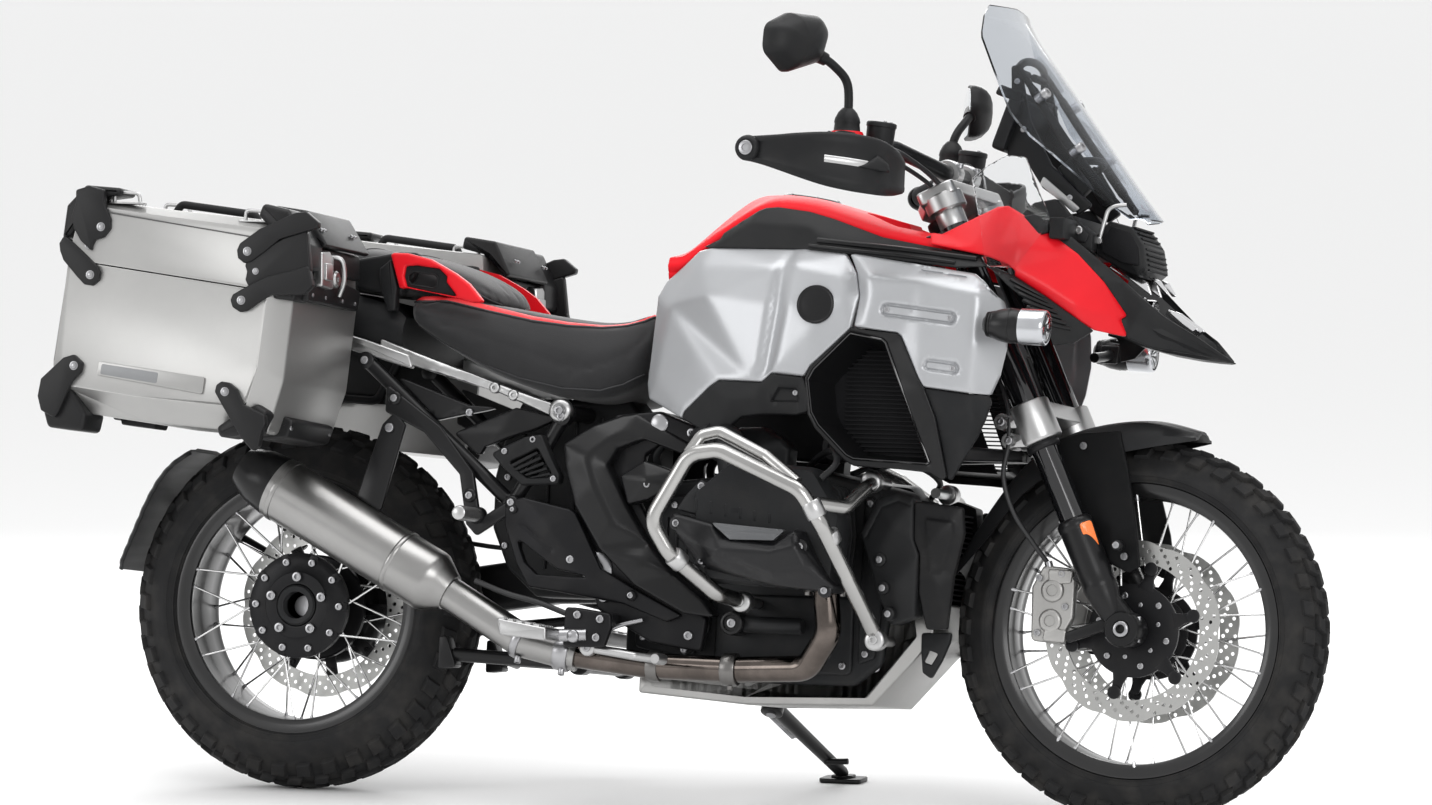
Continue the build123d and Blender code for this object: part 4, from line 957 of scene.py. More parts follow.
# ---- camera, floor and lights -------------------------------------------
def make_stage():
    cam = bpy.data.cameras.new("view")
    co = bpy.data.objects.new("view", cam)
    bpy.context.scene.collection.objects.link(co)
    right, up, look = Vector((0.946149, 0.323730, 0.0)), Vector((-0.024144, 0.070565, 0.997215)), Vector((-0.322829, 0.943514, -0.074582))
    eye = Vector(((5220.287 + SHIFT[0]) / 1000, (-12989.351 + SHIFT[1]) / 1000, (1730.861 + SHIFT[2]) / 1000))
    rot = Matrix((right, up, -look)).transposed()
    co.matrix_world = Matrix.Translation(eye) @ rot.to_4x4()
    cam.sensor_width = 36.0
    cam.lens = 36.0 * 7937.303 / 1432.0
    cam.clip_start, cam.clip_end = 0.5, 80.0
    bpy.context.scene.camera = co

    # a wide pale floor, open on every side
    me = bpy.data.meshes.new("studio_floor")
    vs, fs = [], []
    n = 13
    for i in range(n):
        for j in range(n):
            vs.append((-96.0 + 16.0 * i, -96.0 + 16.0 * j, 0.0))
    for i in range(n - 1):
        for j in range(n - 1):
            fs.append([i * n + j, (i + 1) * n + j, (i + 1) * n + j + 1, i * n + j + 1])
    me.from_pydata(vs, [], fs)
    me.polygons.foreach_set("use_smooth", [True] * len(me.polygons))
    fl = bpy.data.objects.new("studio_floor", me)
    bpy.context.scene.collection.objects.link(fl)
    fm = bpy.data.materials.new("studio_floor")
    fm.use_nodes = True
    nt = fm.node_tree
    b = nt.nodes["Principled BSDF"]
    tn = nt.nodes.new("ShaderNodeTexNoise")
    tn.inputs["Scale"].default_value = 1.3
    rp = nt.nodes.new("ShaderNodeValToRGB")
    rp.color_ramp.elements[0].color = (0.93, 0.93, 0.93, 1)
    rp.color_ramp.elements[1].color = (0.96, 0.96, 0.96, 1)
    nt.links.new(tn.outputs["Fac"], rp.inputs["Fac"])
    nt.links.new(rp.outputs["Color"], b.inputs["Base Color"])
    b.inputs["Roughness"].default_value = 0.75
    me.materials.append(fm)
    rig.stage(fl)

    w = bpy.data.worlds.new("studio")
    bpy.context.scene.world = w
    w.use_nodes = True
    w.node_tree.nodes["Background"].inputs["Color"].default_value = (1.0, 1.0, 1.0, 1)
    w.node_tree.nodes["Background"].inputs["Strength"].default_value = 0.92

    def area(name, loc, aim, size, size_y, power, col=(1, 1, 1)):
        l = bpy.data.lights.new(name, "AREA")
        l.shape, l.size, l.size_y, l.energy, l.color = "RECTANGLE", size, size_y, power, col
        o = bpy.data.objects.new(name, l)
        bpy.context.scene.collection.objects.link(o)
        o.location = loc
        o.rotation_mode = "QUATERNION"
        o.rotation_quaternion = (Vector(aim) - Vector(loc)).to_track_quat("-Z", "Y")
    area("overhead", (0.2, -0.4, 3.9), (0.0, 0.1, 0.6), 4.6, 2.6, 105)
    area("front_side", (3.6, -4.2, 2.3), (0.2, 0.0, 0.7), 2.6, 2.0, 78)
    area("rear_side", (-3.6, -3.6, 2.0), (-0.3, 0.0, 0.7), 2.2, 2.0, 46)
    area("far_rim", (-1.2, 3.8, 2.6), (0.0, 0.0, 0.7), 3.2, 1.6, 60)


make_stage()
bpy.context.scene.view_settings.view_transform = "Standard"

# ---- wheels -------------------------------------------------------------
FRONT_C, REAR_C = (1534.0, 0.0, 328.0), (0.0, 0.0, 322.0)
YAX = (0.0, 1.0, 0.0)


def wheel_point(c, r, ang, y):
    return (c[0] + r * math.cos(ang), y, c[2] + r * math.sin(ang))


def tyre_mesh(c, R, half, crown, bead_r, bead_y, pitches, rows, groove, seed):
    """A carcass turned about the axle, with tapered tread blocks set on it in staggered rows."""
    m = Mesh()
    base = R - groove
    cc = R - crown
    prof = []
    # crown arc of the carcass, then the sidewall with its mould lines
    amax = math.radians(64)
    for k in range(-12, 13):
        a = amax * k / 12
        prof.append(((crown - groove) * math.sin(a), cc + (crown - groove) * math.cos(a)))
    ys, rs = prof[-1]
    side = [(half - 5.0, rs - (rs - bead_r) * 0.22), (half - 2.0, rs - (rs - bead_r) * 0.34), (half - 0.5, rs - (rs - bead_r) * 0.40), (half - 0.3, rs - (rs - bead_r) * 0.52),
            (half - 2.0, rs - (rs - bead_r) * 0.56), (half - 3.2, rs - (rs - bead_r) * 0.66), (half - 7.0, rs - (rs - bead_r) * 0.78),
            (half - 6.0, bead_r + 14.5), (half - 9.5, bead_r + 13.5), (half - 11.0, bead_r + 9.5), (bead_y + 5.5, bead_r + 7.5), (bead_y + 3.0, bead_r + 6.8), (bead_y + 0.5, bead_r + 1.0)]
    full = [(-y, r) for y, r in reversed(side)] + prof + side
    turned(m, c, YAX, full, n=144, mi=0)
    # raised ribs round the sidewall
    for sgn in (-1, 1):
        for yy, rr in ((half - 1.2, rs - (rs - bead_r) * 0.46), (half - 5.4, rs - (rs - bead_r) * 0.74)):
            turned(m, c, YAX, [(sgn * (yy - 1.5), rr + 2.2), (sgn * (yy + 0.9), rr + 1.2), (sgn * (yy + 0.9), rr - 1.2), (sgn * (yy - 1.5), rr - 2.2)], n=144)
    rnd = random.Random(seed)
    step = 2 * math.pi / pitches
    for ang_lo, ang_hi, length, offset, skew, pin in rows:
        # ang_lo..ang_hi: cross-section angles on the crown; length: share of a pitch; skew: twist along the block
        for i in range(pitches):
            a0 = step * (i + offset)
            jit = rnd.uniform(-0.004, 0.004) * step
            top, bot = [], []
            for s, t in ((0, 0), (1, 0), (1, 1), (0, 1)):
                ca = ang_lo + (ang_hi - ang_lo) * s
                along = (t - 0.5) * length * step + (s - 0.5) * skew * step + a0 + jit
                for lst, depth, shrink in ((top, 0.0, 0.86), (bot, groove + 2.5, 1.06)):
                    cm = (ang_lo + ang_hi) / 2
                    cb = cm + (ca - cm) * shrink
                    am = a0 + jit + (along - a0 - jit) * shrink
                    rad = cc + (crown - depth) * math.cos(cb)
                    lst.append(wheel_point(c, rad, am, (crown - depth) * math.sin(cb)))
            # a chamfer ring just below the top
            mid = [tuple(Vector(t) * 0.80 + Vector(b) * 0.20) for t, b in zip(top, bot)]
            cen = sum((Vector(t) for t in top), Vector()) / 4
            cap = [tuple(Vector(t) * 0.90 + cen * 0.10) for t in top]
            vs = bot + mid + cap
            fc = []
            for lvl in (0, 1):
                for k in range(4):
                    j = (k + 1) % 4
                    fc.append([lvl * 4 + k, lvl * 4 + j, lvl * 4 + 4 + j, lvl * 4 + 4 + k])
            fc += [[8, 9, 10, 11], [3, 2, 1, 0]]
            m.add(vs, fc, 0, smooth=False)
            if pin:
                # no sipe is drawn across a block
                pass
    return m


D = math.radians
front_rows = [(D(-10), D(10), 0.56, 0.0, 0.18, 1), (D(-32), D(-13), 0.52, 0.45, -0.22, 0), (D(13), D(32), 0.52, 0.45, 0.22, 0),
              (D(-58), D(-37), 0.58, 0.02, -0.10, 0), (D(37), D(58), 0.58, 0.02, 0.10, 0)]
make("front_block_tyre", tyre_mesh(FRONT_C, 328.0, 60.0, 62.0, 244.0, 46.0, 40, front_rows, 8.5, 3), "tyre_rubber", "front_wheel", replaces=("front_tyre",), sharp=28)
rear_rows = [(D(-13), D(-1.0), 0.60, 0.0, 0.26, 1), (D(1.0), D(13), 0.60, 0.0, 0.26, 1), (D(-32), D(-16), 0.56, 0.5, -0.22, 0), (D(16), D(32), 0.56, 0.5, 0.22, 0),
             (D(-55), D(-35), 0.60, 0.05, -0.12, 0), (D(35), D(55), 0.60, 0.05, 0.12, 0)]
make("rear_block_tyre", tyre_mesh(REAR_C, 322.0, 85.0, 90.0, 218.0, 66.0, 38, rear_rows, 8.5, 5), "tyre_rubber", "rear_wheel", replaces=("rear_tyre",), sharp=28)


def rim_mesh(c, b, y):
    m = Mesh()
    prof = []
    half = [(0.0, b - 18.0), (y * 0.35, b - 17.5), (y - 16, b - 14.5), (y - 9, b - 16.0), (y - 4, b - 17.0), (y + 2.0, b - 15.5), (y + 5.2, b - 9.0), (y + 6.4, b - 4.0),
            (y + 7.2, b + 5.0), (y + 6.8, b + 8.0), (y + 5.0, b + 9.0), (y + 3.2, b + 8.0), (y + 2.2, b + 4.0), (y + 0.6, b - 0.8), (y - 8.0, b - 5.0), (y * 0.4, b - 8.0), (0.0, b - 8.5)]
    full = half + [(-t, r) for t, r in reversed(half[1:-1])]
    turned(m, c, YAX, full, n=144)
    return m


make("front_spoked_rim", rim_mesh(FRONT_C, 244.0, 46.0), "black_rim", "front_wheel", replaces=("front_rim",), sharp=40)
make("rear_spoked_rim", rim_mesh(REAR_C, 218.0, 66.0), "black_rim", "rear_wheel", replaces=("rear_rim",), sharp=40)


def spoke_mesh(c, hub_r, hub_ys, rim_r, rim_ys, cross, pairs=10):
    """Wires with a bent head at the flange, and nipples at the rim's edge."""
    m = Mesh()
    step = 2 * math.pi / pairs
    for side, sign, off in ((-1, 1, 0.0), (-1, -1, 0.32), (1, 1, 0.5), (1, -1, 0.82)):
        hub_y, rim_y = hub_ys[side > 0], rim_ys[side > 0]
        for i in range(pairs):
            a = step * (i + off)
            p = Vector(wheel_point(c, hub_r, a, side * (hub_y + sign * 2.3)))
            q = Vector(wheel_point(c, rim_r, a + sign * D(cross), side * (rim_y + sign * 2.3)))
            d = (q - p).normalized()
            head = p + Vector((0, -sign * side * 5.0, 0))
            tube(m, [head, p + Vector((0, -sign * side * 0.8, 0)), p + d * 3.0, p + d * 30, q], [2.5, 2.3, 2.2, 1.9, 1.9], n=8, mi=0)
            turned(m, head, Vector((0, -sign * side, 0)), [(-1.2, 0.0), (-1.2, 2.6), (0.2, 3.6), (1.4, 3.0), (2.0, 0.0)], n=10, mi=1, closed=False)
            turned(m, q - d * 13, d, [(-3.0, 0.0), (-3.0, 2.4), (0.0, 3.1), (9.0, 3.3), (15.0, 3.9), (15.0, 0.0)], n=8, mi=1, closed=False)
    return m


make("front_wire_spokes", spoke_mesh(FRONT_C, 62, (40, 40), 238, (45, 45), 20), ["spoke_steel", "nipple_steel"], "front_wheel", replaces=("front_spokes",))
make("rear_wire_spokes", spoke_mesh(REAR_C, 84, (50, 30), 212, (62, 54), 20), ["spoke_steel", "nipple_steel"], "rear_wheel", replaces=("rear_spokes",))


def disc_mesh(m, c, y, t, r_out, r_in, waves, wave_h, holes_rows, mi=0):
    """A drilled disc with a wavy rim: rows are a radius, a number, a hole radius and an angle offset."""
    n = waves * 10
    outer = []
    for k in range(n):
        a = 2 * math.pi * k / n
        w = 0.5 - 0.5 * math.cos(waves * a)
        outer.append(((r_out - wave_h * (1 - w) ** 3) * math.cos(a), (r_out - wave_h * (1 - w) ** 3) * math.sin(a)))
    inner = [(r_in * math.cos(2 * math.pi * k / 96), r_in * math.sin(2 * math.pi * k / 96)) for k in range(96)]
    holes = [inner]
    for rad, cnt, hr, off in holes_rows:
        for k in range(cnt):
            a = 2 * math.pi * (k + off) / cnt
            holes.append(circle2(rad * math.cos(a), rad * math.sin(a), hr, 10, a))
    pts, edges, borders = [], [], []
    for ring in [outer] + holes:
        o = len(pts)
        pts += [Vector(p) for p in ring]
        idx = list(range(o, o + len(ring)))
        edges += [(idx[i], idx[(i + 1) % len(idx)]) for i in range(len(idx))]
        borders.append(idx)
    vs, es, fs, ov, oe, of_ = geometry.delaunay_2d_cdt(pts, edges, [], 0, 1e-5)
    V2 = np.array([(v.x, v.y) for v in vs])
    F = np.array([f for f in fs if len(f) == 3], int)
    cen = V2[F].mean(axis=1)
    ok = inside(outer, cen)
    rr = np.hypot(cen[:, 0], cen[:, 1])
    ok &= rr > r_in * 0.999
    for h in holes[1:]:
        hc = np.mean(h, axis=0)
        near = np.hypot(cen[:, 0] - hc[0], cen[:, 1] - hc[1]) < 12
        if near.any():
            sel = np.where(near)[0]
            ok[sel] &= ~inside(h, cen[sel])
    F = F[ok]
    o = len(m.v)
    A = np.c_[V2[:, 0] + c[0], np.full(len(V2), y - t / 2), V2[:, 1] + c[2]]
    B = A.copy()
    B[:, 1] = y + t / 2
    m.add(A, F.tolist(), mi, smooth=False)
    m.add(B, F[:, ::-1].tolist(), mi, smooth=False)
    cnt = {}
    for a, b, d in F.tolist():
        for e in ((a, b), (b, d), (d, a)):
            k = tuple(sorted(e))
            cnt[k] = cnt.get(k, 0) + 1
    nv = len(V2)
    for (a, b), k in cnt.items():
        if k == 1:
            m.f.append([o + a, o + b, o + nv + b, o + nv + a])
            m.m.append(mi)
            m.s.append(False)


fr_rows = [(124, 30, 3.6, 0.0), (131, 30, 3.6, 0.33), (138, 30, 3.6, 0.66), (145.5, 30, 3.4, 0.0)]
for s in (-1, 1):
    m = Mesh()
    disc_mesh(m, FRONT_C, s * 66.0, 5.0, 155, 118.5, 10, 5.0, fr_rows)
    for i in range(6):
        a = D(60 * i + 15)
        p = wheel_point(FRONT_C, 110, a, s * 66.0)
        turned(m, p, (0, s, 0), [(-2.4, 0.0), (-2.4, 9.0), (-3.0, 11.5), (3.0, 11.5), (3.8, 9.0), (3.8, 0.0)], n=20, mi=1, closed=False)
        q0, q1 = D(60 * i + 15 - 3), D(60 * i + 15 + 3)
        ear = [(110 * math.cos(q0), 110 * math.sin(q0)), (121 * math.cos(q0), 121 * math.sin(q0)), (121 * math.cos(q1), 121 * math.sin(q1)), (110 * math.cos(q1), 110 * math.sin(q1))]
        plate(m, [(x + 1534, z + 328) for x, z in ear], s * 66 - 2.2, s * 66 + 2.2, edge=0.4, mi=0)
    make("front_drilled_disc_" + ("right" if s < 0 else "left"), m, ["disc_steel", "black_alloy"], "front_wheel", replaces=("front_discs",), sharp=30)

m = Mesh()
disc_mesh(m, REAR_C, 70.5, 5.0, 158, 120, 10, 5.0, [(126, 30, 3.6, 0.0), (134, 30, 3.6, 0.4), (142, 30, 3.6, 0.8), (149, 30, 3.2, 0.2)])
arms = []
for i in range(9):
    a0 = D(40 * i)
    arm = [wheel_point(REAR_C, 62, a0 - D(11), 0), wheel_point(REAR_C, 96, a0 - D(6.0), 0), wheel_point(REAR_C, 122, a0 - D(5), 0), wheel_point(REAR_C, 122, a0 + D(5), 0),
           wheel_point(REAR_C, 96, a0 + D(6.0), 0), wheel_point(REAR_C, 62, a0 + D(11), 0)]
    plate(m, [(p[0], p[2]) for p in arm], 68.0, 73.0, edge=0.8, mi=1)
    bolt(m, wheel_point(REAR_C, 112, a0, 68.0), (0, -1, 0), 5.5, 3.0, mi=1)
turned(m, REAR_C, YAX, [(67.5, 52), (67.5, 74), (68.4, 75), (73.0, 75), (73.6, 74), (73.6, 52)], n=72, mi=1)
make("rear_drilled_disc", m, ["disc_steel", "black_alloy"], "rear_wheel", replaces=("rear_disc",), sharp=30)

# hub details: disc carriers, flange rings and screws
m = Mesh()
for s in (-1, 1):
    turned(m, FRONT_C, YAX, [(s * 52, 26), (s * 52, 40), (s * 56.6, 78), (s * 57.0, 80), (s * 63.0, 80), (s * 63.6, 78.6), (s * 64.4, 60), (s * 65.0, 46), (s * 64.0, 34), (s * 64.0, 22), (s * 60, 20)], n=72)
    for i in range(6):
        a = D(60 * i + 15)
        arm = [wheel_point(FRONT_C, 74, a - D(12), 0), wheel_point(FRONT_C, 92, a - D(5.5), 0), wheel_point(FRONT_C, 104, a - D(4.5), 0), wheel_point(FRONT_C, 104, a + D(4.5), 0), wheel_point(FRONT_C, 92, a + D(5.5), 0), wheel_point(FRONT_C, 74, a + D(12), 0)]
        plate(m, rounded([(p[0], p[2]) for p in arm], [0, 8, 2, 2, 8, 0]), s * 56.6, s * 64.2, edge=1.6)
        pc = wheel_point(FRONT_C, 102, a, 0)
        ring2 = circle2(pc[0], pc[2], 8.5, 24)
        plate(m, ring2, s * 56.8, s * 63.4, edge=1.2)
        bolt(m, wheel_point(FRONT_C, 62, a + D(30), s * 64.5), (0, s, 0), 5.5, 4.0, mi=1)
        bolt(m, wheel_point(FRONT_C, 46, a, s * 65.0), (0, s, 0), 4.0, 2.5, mi=1)
turned(m, FRONT_C, YAX, [(-46, 24), (-46, 66), (-44.5, 68.5), (-35, 68.5), (-33, 60), (-28, 42), (28, 42), (33, 60), (35, 68.5), (44.5, 68.5), (46, 66), (46, 24)], n=72)
make("front_hub_shell", m, ["black_alloy", "bolt_steel"], "front_wheel", replaces=("front_hub",), sharp=32)

m = Mesh()
turned(m, REAR_C, YAX, [(-66, 38), (-66.5, 42), (-66, 58), (-63, 62), (-61, 78), (-59, 88), (-56, 93), (-44.5, 93), (-42, 88), (-40, 60), (20, 57), (22, 90), (24.5, 93), (36, 93), (38.5, 88), (42, 66), (66, 66), (66, 40), (-30, 40), (-32, 36)], n=96)
for i in range(10):
    a = D(36 * i)
    bolt(m, wheel_point(REAR_C, 79, a, -60.5), (0, -1, 0), 6.5, 5.0, mi=1)
    lobe = [wheel_point(REAR_C, 60, a - D(9), 0), wheel_point(REAR_C, 86, a - D(6), 0), wheel_point(REAR_C, 94, a - D(4), 0), wheel_point(REAR_C, 94, a + D(4), 0), wheel_point(REAR_C, 86, a + D(6), 0), wheel_point(REAR_C, 60, a + D(9), 0)]
    plate(m, rounded([(p[0], p[2]) for p in lobe], [0, 4, 3, 3, 4, 0]), -60.0, -50.0, edge=1.5)
for i in range(5):
    a = D(72 * i + 18)
    bolt(m, wheel_point(REAR_C, 50, a, -66.0), (0, -1, 0), 8.5, 7.0, mi=1)
turned(m, REAR_C, YAX, [(-70, 24), (-71, 27), (-71, 33), (-68, 36), (-50, 36), (-50, 24)], n=60, mi=2)
make("rear_hub_shell", m, ["black_alloy", "bolt_steel", "engine_metal"], "rear_wheel", replaces=("rear_hub",), sharp=32)

# ---- tank, side panels and fairing --------------------------------------
A = crop(640, 160, 380)
B = crop(930, 180, 320)
keys = [(180, 437, 170), (245, 375, 180), (295, 362, 188), (640, 366, 222), (680, 364, 228), (850, 385, 250), (895, 470, 278), (905, 560, 290), (868, 690, 297),
        (700, 850, 289), (672, 893, 285), (540, 878, 277), (500, 915, 270), (325, 907, 254), (285, 935, 246), (180, 1040, 226), (172, 1066, 222), (35, 985, 176),
        (30, 925, 168), (75, 560, 156), (110, 500, 160),
        (250, 437, 210), (555, 440, 256), (120, 600, 190), (445, 890, 266), (640, 430, 266), (835, 470, 284), (590, 440, 250), (565, 600, 260), (608, 600, 284),
        (850, 560, 297), (512, 880, 262), (560, 840, 283), (62, 900, 184), (528, 600, 272), (490, 850, 272), (280, 560, 240), (700, 700, 294)]
cre = [(21, 22), (21, 23), (23, 24), (23, 33), (22, 34), (34, 35), (27, 28), (28, 31), (25, 29), (29, 32), (25, 26), (26, 30), (21, 36)]
side_rear = Facets(keys, cre, soft=9.0, view=A)
out_rear = side_rear.xz[:21]
m = Mesh()
skin(m, rounded(out_rear, 7, 3), side_rear, thick=3.0, edge=5.0, res=8.0)
roundel_c = see_on(A([(727, 596)]), side_rear)[0]
m2 = Mesh()
make("tank_side_rear_right", m, "silver_paint", replaces=("tank_side_panels",), sharp=50)
ml = Mesh()
ml.v = [(x, -y, z) for x, y, z in m.v]
ml.f, ml.m, ml.s = [list(reversed(f)) for f in m.f], m.m, m.s
make("tank_side_rear_left", ml, "silver_paint", sharp=50)

keys = [(866, 390, 254), (884, 386, 256), (1380, 468, 270), (1420, 500, 270), (1500, 585, 262), (1515, 640, 260), (1510, 775, 264), (1482, 890, 268), (1445, 970, 272),
        (1360, 963, 292), (1165, 936, 305), (1145, 900, 306), (1075, 728, 303), (1058, 713, 303), (880, 688, 296), (905, 560, 290), (895, 470, 280),
        (940, 474, 302), (946, 560, 306), (915, 686, 303), (1395, 545, 308), (1378, 760, 311), (1358, 950, 300), (1150, 500, 306), (1150, 800, 310)]
cre = [(17, 18), (18, 19), (17, 23), (23, 20), (20, 21), (21, 22)]
side_front = Facets(keys, cre, soft=8.0, view=A)
out_front = side_front.xz[:17]


def slot_outline(p, q, r):
    a, b = Vector(p), Vector(q)
    t = (b - a).normalized()
    n = Vector((-t.y, t.x))
    pts = []
    base = math.atan2(n.y, n.x)
    for k in range(9):
        ang = base + math.pi * k / 8
        pts.append(tuple(a + Vector((math.cos(ang), math.sin(ang))) * r))
    for k in range(9):
        ang = base + math.pi + math.pi * k / 8
        pts.append(tuple(b + Vector((math.cos(ang), math.sin(ang))) * r))
    return pts


s1 = see_on(A([(1018, 617), (1277, 652)]), side_front)
s2 = see_on(A([(1192, 846), (1290, 860)]), side_front)
slits = [see_on(A(p), side_front) for p in ([(1165, 457), (1245, 467)], [(1270, 473), (1342, 483)])]
m = Mesh()
rs = [(slot_outline(*s1, 14.0), -5.5, 5.0), (slot_outline(*s1, 8.0), 4.5, 2.5), (slot_outline(*s2, 13.0), -5.0, 5.0), (slot_outline(*s2, 7.0), 3.5, 2.5)]
skin(m, rounded(out_front, 6, 3), side_front, thick=3.0, edge=5.0, res=8.0, raised=rs, grooves=[(l, 4.0, 2.2) for l in slits])
for p, surf in ((s1[0], side_front), (s1[1], side_front), (s2[1], side_front)):
    w = float(surf(np.array([p]))[0]) - 1.5
    bolt(m, (p[0], -w, p[1]), (0, -1, 0), 4.6, 2.2, mi=1)
mm = Mesh()
mm.v, mm.f, mm.m, mm.s = list(m.v), list(m.f), list(m.m), list(m.s)
make("tank_side_front_right", m, ["silver_paint", "bolt_steel"], sharp=50)
mm.v = [(x, -y, z) for x, y, z in mm.v]
mm.f = [list(reversed(f)) for f in mm.f]
make("tank_side_front_left", mm, ["silver_paint", "bolt_steel"], sharp=50)

# blank badge: a domed disc in a ring
m = Mesh()
rw = float(side_rear(np.array([roundel_c]))[0])
for s in (-1, 1):
    c = (roundel_c[0], s * (rw + 1.6), roundel_c[1])
    turned(m, c, (0.02, s, 0.10), [(-3, 0.0), (-3, 33.0), (2.5, 33.5), (4.2, 32.6), (4.6, 31.0), (3.6, 29.8), (3.4, 28.0), (4.4, 22.0), (5.4, 10.0), (5.6, 0.0)], n=64, closed=False)
make("badge_blanks", m, "black_satin", sharp=60)


def twins(name, m, mats, body="root", replaces=(), sharp=50, **kw):
    """The right piece and its mirrored left twin."""
    l = Mesh()
    l.v = [(x, -y, z) for x, y, z in m.v]
    l.f, l.m, l.s = [list(reversed(f)) for f in m.f], list(m.m), list(m.s)
    a = make(name + "_right", m, mats, body, replaces, sharp, **kw)
    b = make(name + "_left", l, mats, body, (), sharp, **kw)
    return a, b


# red tank top: stations along x, half profile from the centre outwards
def zc(x):
    return float(np.interp(x, [670, 700, 750, 800, 827, 880, 943, 1067, 1127, 1180, 1240], [925, 952, 1004, 1050, 1066, 1066, 1059, 1027, 1010, 1004, 1000]))


edge_px = A([(178, 436), (270, 355), (345, 300), (490, 206), (570, 196), (700, 215), (800, 245), (1000, 320), (1200, 360), (1400, 396), (1560, 440)])
edge_w = [160, 168, 176, 186, 190, 196, 202, 212, 222, 232, 236]
edge_xz = see(edge_px, [-w for w in edge_w])
ex, ez = np.array([p[0] for p in edge_xz]), np.array([p[1] for p in edge_xz])
top_px = A([(180, 400), (195, 385), (300, 305), (530, 152), (600, 148), (760, 165), (860, 200), (1050, 260), (1250, 300)])
shoulder = see(top_px, -150)
sx, sz = np.array([p[0] for p in shoulder]), np.array([p[1] for p in shoulder])
secs = []
for x in [690, 704, 722, 745, 775, 805, 830, 852, 880, 920, 970, 1030, 1090, 1150, 1200, 1240]:
    we = float(np.interp(x, ex, edge_w))
    ze = float(np.interp(x, ex, ez))
    zsh = float(np.interp(x, sx, sz))
    z0 = zc(x)
    zsh = max(zsh, ze + 6)
    prof = [(0, z0), (50, z0 - 1.0), (100, (z0 + zsh) / 2 + 2.5), (138, zsh + 1.5), (152, zsh - 1.0), (we - 8, ze + 7 + 0.25 * (zsh - ze)), (we, ze), (we - 4, ze - 8), (we - 16, ze - 20)]
    secs.append([(x, -y, z) for y, z in reversed(prof)] + [(x, y, z) for y, z in prof[1:]])
m = Mesh()
loft(m, secs, caps=False, closed=False)
n = len(secs[0])
inner = [[(x, y * 0.97, z - 14) for x, y, z in s] for s in secs]
m.f, m.m, m.s = [], [], []
m.v = []
ring = [s + list(reversed(i)) for s, i in zip(secs, inner)]
loft(m, ring, caps=True, closed=True)
ob = make("tank_top_shell", m, "red_top", replaces=("fuel_tank",), sharp=0, subsurf=2)
# room for the fork bridges as they turn
hd, hn, hf = Vector((1652 - 0.492 * 1046, 0, 1046)), Vector((-0.4415, 0, 0.8973)), Vector((0.8973, 0, 0.4415))
m = Mesh()
prism(m, rounded([(-50, -36), (-92, -130), (-40, -172), (240, -172), (240, 172), (-40, 172), (-92, 130), (-50, 36)], [8, 18, 18, 0, 0, 18, 18, 8], 4), lambda u, v, h: hd + hf * u + Vector((0, v, 0)) + hn * h, -80, 150, edge=2)
carve(ob, m)

# filler cap, on the centre line
m = Mesh()
turned(m, (905, 0, 1058), (0.12, 0, 1), [(-6, 0), (-6, 52), (3, 52), (6, 49), (7, 44), (5.5, 42), (5.5, 20), (8, 16), (8.5, 0)], n=48, closed=False)
for k in range(6):
    a = D(60 * k)
    bolt(m, (905 + 47 * math.cos(a), 47 * math.sin(a), 1064 - 5.6 * math.cos(a)), (0.12, 0, 1), 3.0, 1.5, mi=1)
make("filler_cap", m, ["black_satin", "bolt_steel"])

# black trim between the red top and the silver sides
keys = [(268, 358, 176), (330, 326, 180), (345, 302, 178), (490, 208, 188), (520, 197, 190), (570, 194, 192), (700, 213, 198), (800, 243, 204), (1000, 318, 214), (1200, 358, 224), (1400, 394, 234),
        (1430, 440, 250), (1300, 444, 258), (1100, 420, 262), (868, 390, 252), (640, 370, 224), (295, 366, 188), (460, 262, 206), (720, 282, 226), (960, 350, 240), (1200, 392, 248), (720, 330, 234)]
trim = Facets(keys, [(17, 18), (18, 19), (19, 20)], soft=5.0, view=A)
m = Mesh()
skin(m, trim.xz[:17], trim, thick=5.0, edge=3.0, res=8.0)
groove = see_on(A([(735, 330), (860, 345), (1100, 372), (1390, 408)]), trim)
tube(m, [(x, -float(trim(np.array([(x, z)]))[0]) - 0.5, z) for x, z in resample(groove, 20, closed=False)], 5.5, n=8, mi=1)
groove2 = see_on(A([(700, 352), (860, 372), (1100, 398), (1300, 424)]), trim)
tube(m, [(x, -float(trim(np.array([(x, z)]))[0]) - 0.5, z) for x, z in resample(groove2, 20, closed=False)], 4.0, n=8, mi=1)
twins("tank_trim_panel", m, ["black_plastic", "black_satin"], replaces=("tank_trim",))

# lower black knee panels
keys = [(172, 1068, 224), (180, 1038, 228), (285, 935, 246), (325, 909, 252), (500, 917, 268), (540, 880, 276), (672, 895, 284), (690, 960, 286), (690, 1040, 284), (640, 1052, 270), (560, 1050, 264),
        (500, 1050, 262), (420, 1060, 250), (380, 1090, 244), (345, 1165, 236), (300, 1140, 232), (480, 980, 268), (360, 1000, 256)]
knee = Facets(keys, [(4, 16), (16, 12)], soft=6.0, view=A)
m = Mesh()
pocket = see_on(A([(530, 1000), (570, 935), (650, 940), (655, 1000)]), knee)
skin(m, rounded(knee.xz[:16], 5, 3), knee, thick=4.0, edge=4.0, res=8.0, raised=[(rounded(pocket, 4), -6.0, 4.0)])
q = see_on(A([(638, 960)]), knee)[0]
bolt(m, (q[0], -float(knee(np.array([q]))[0]) + 5.0, q[1]), (0, -1, 0), 5.0, 3.0, mi=1)
twins("knee_panel", m, ["black_plastic", "bolt_steel"])

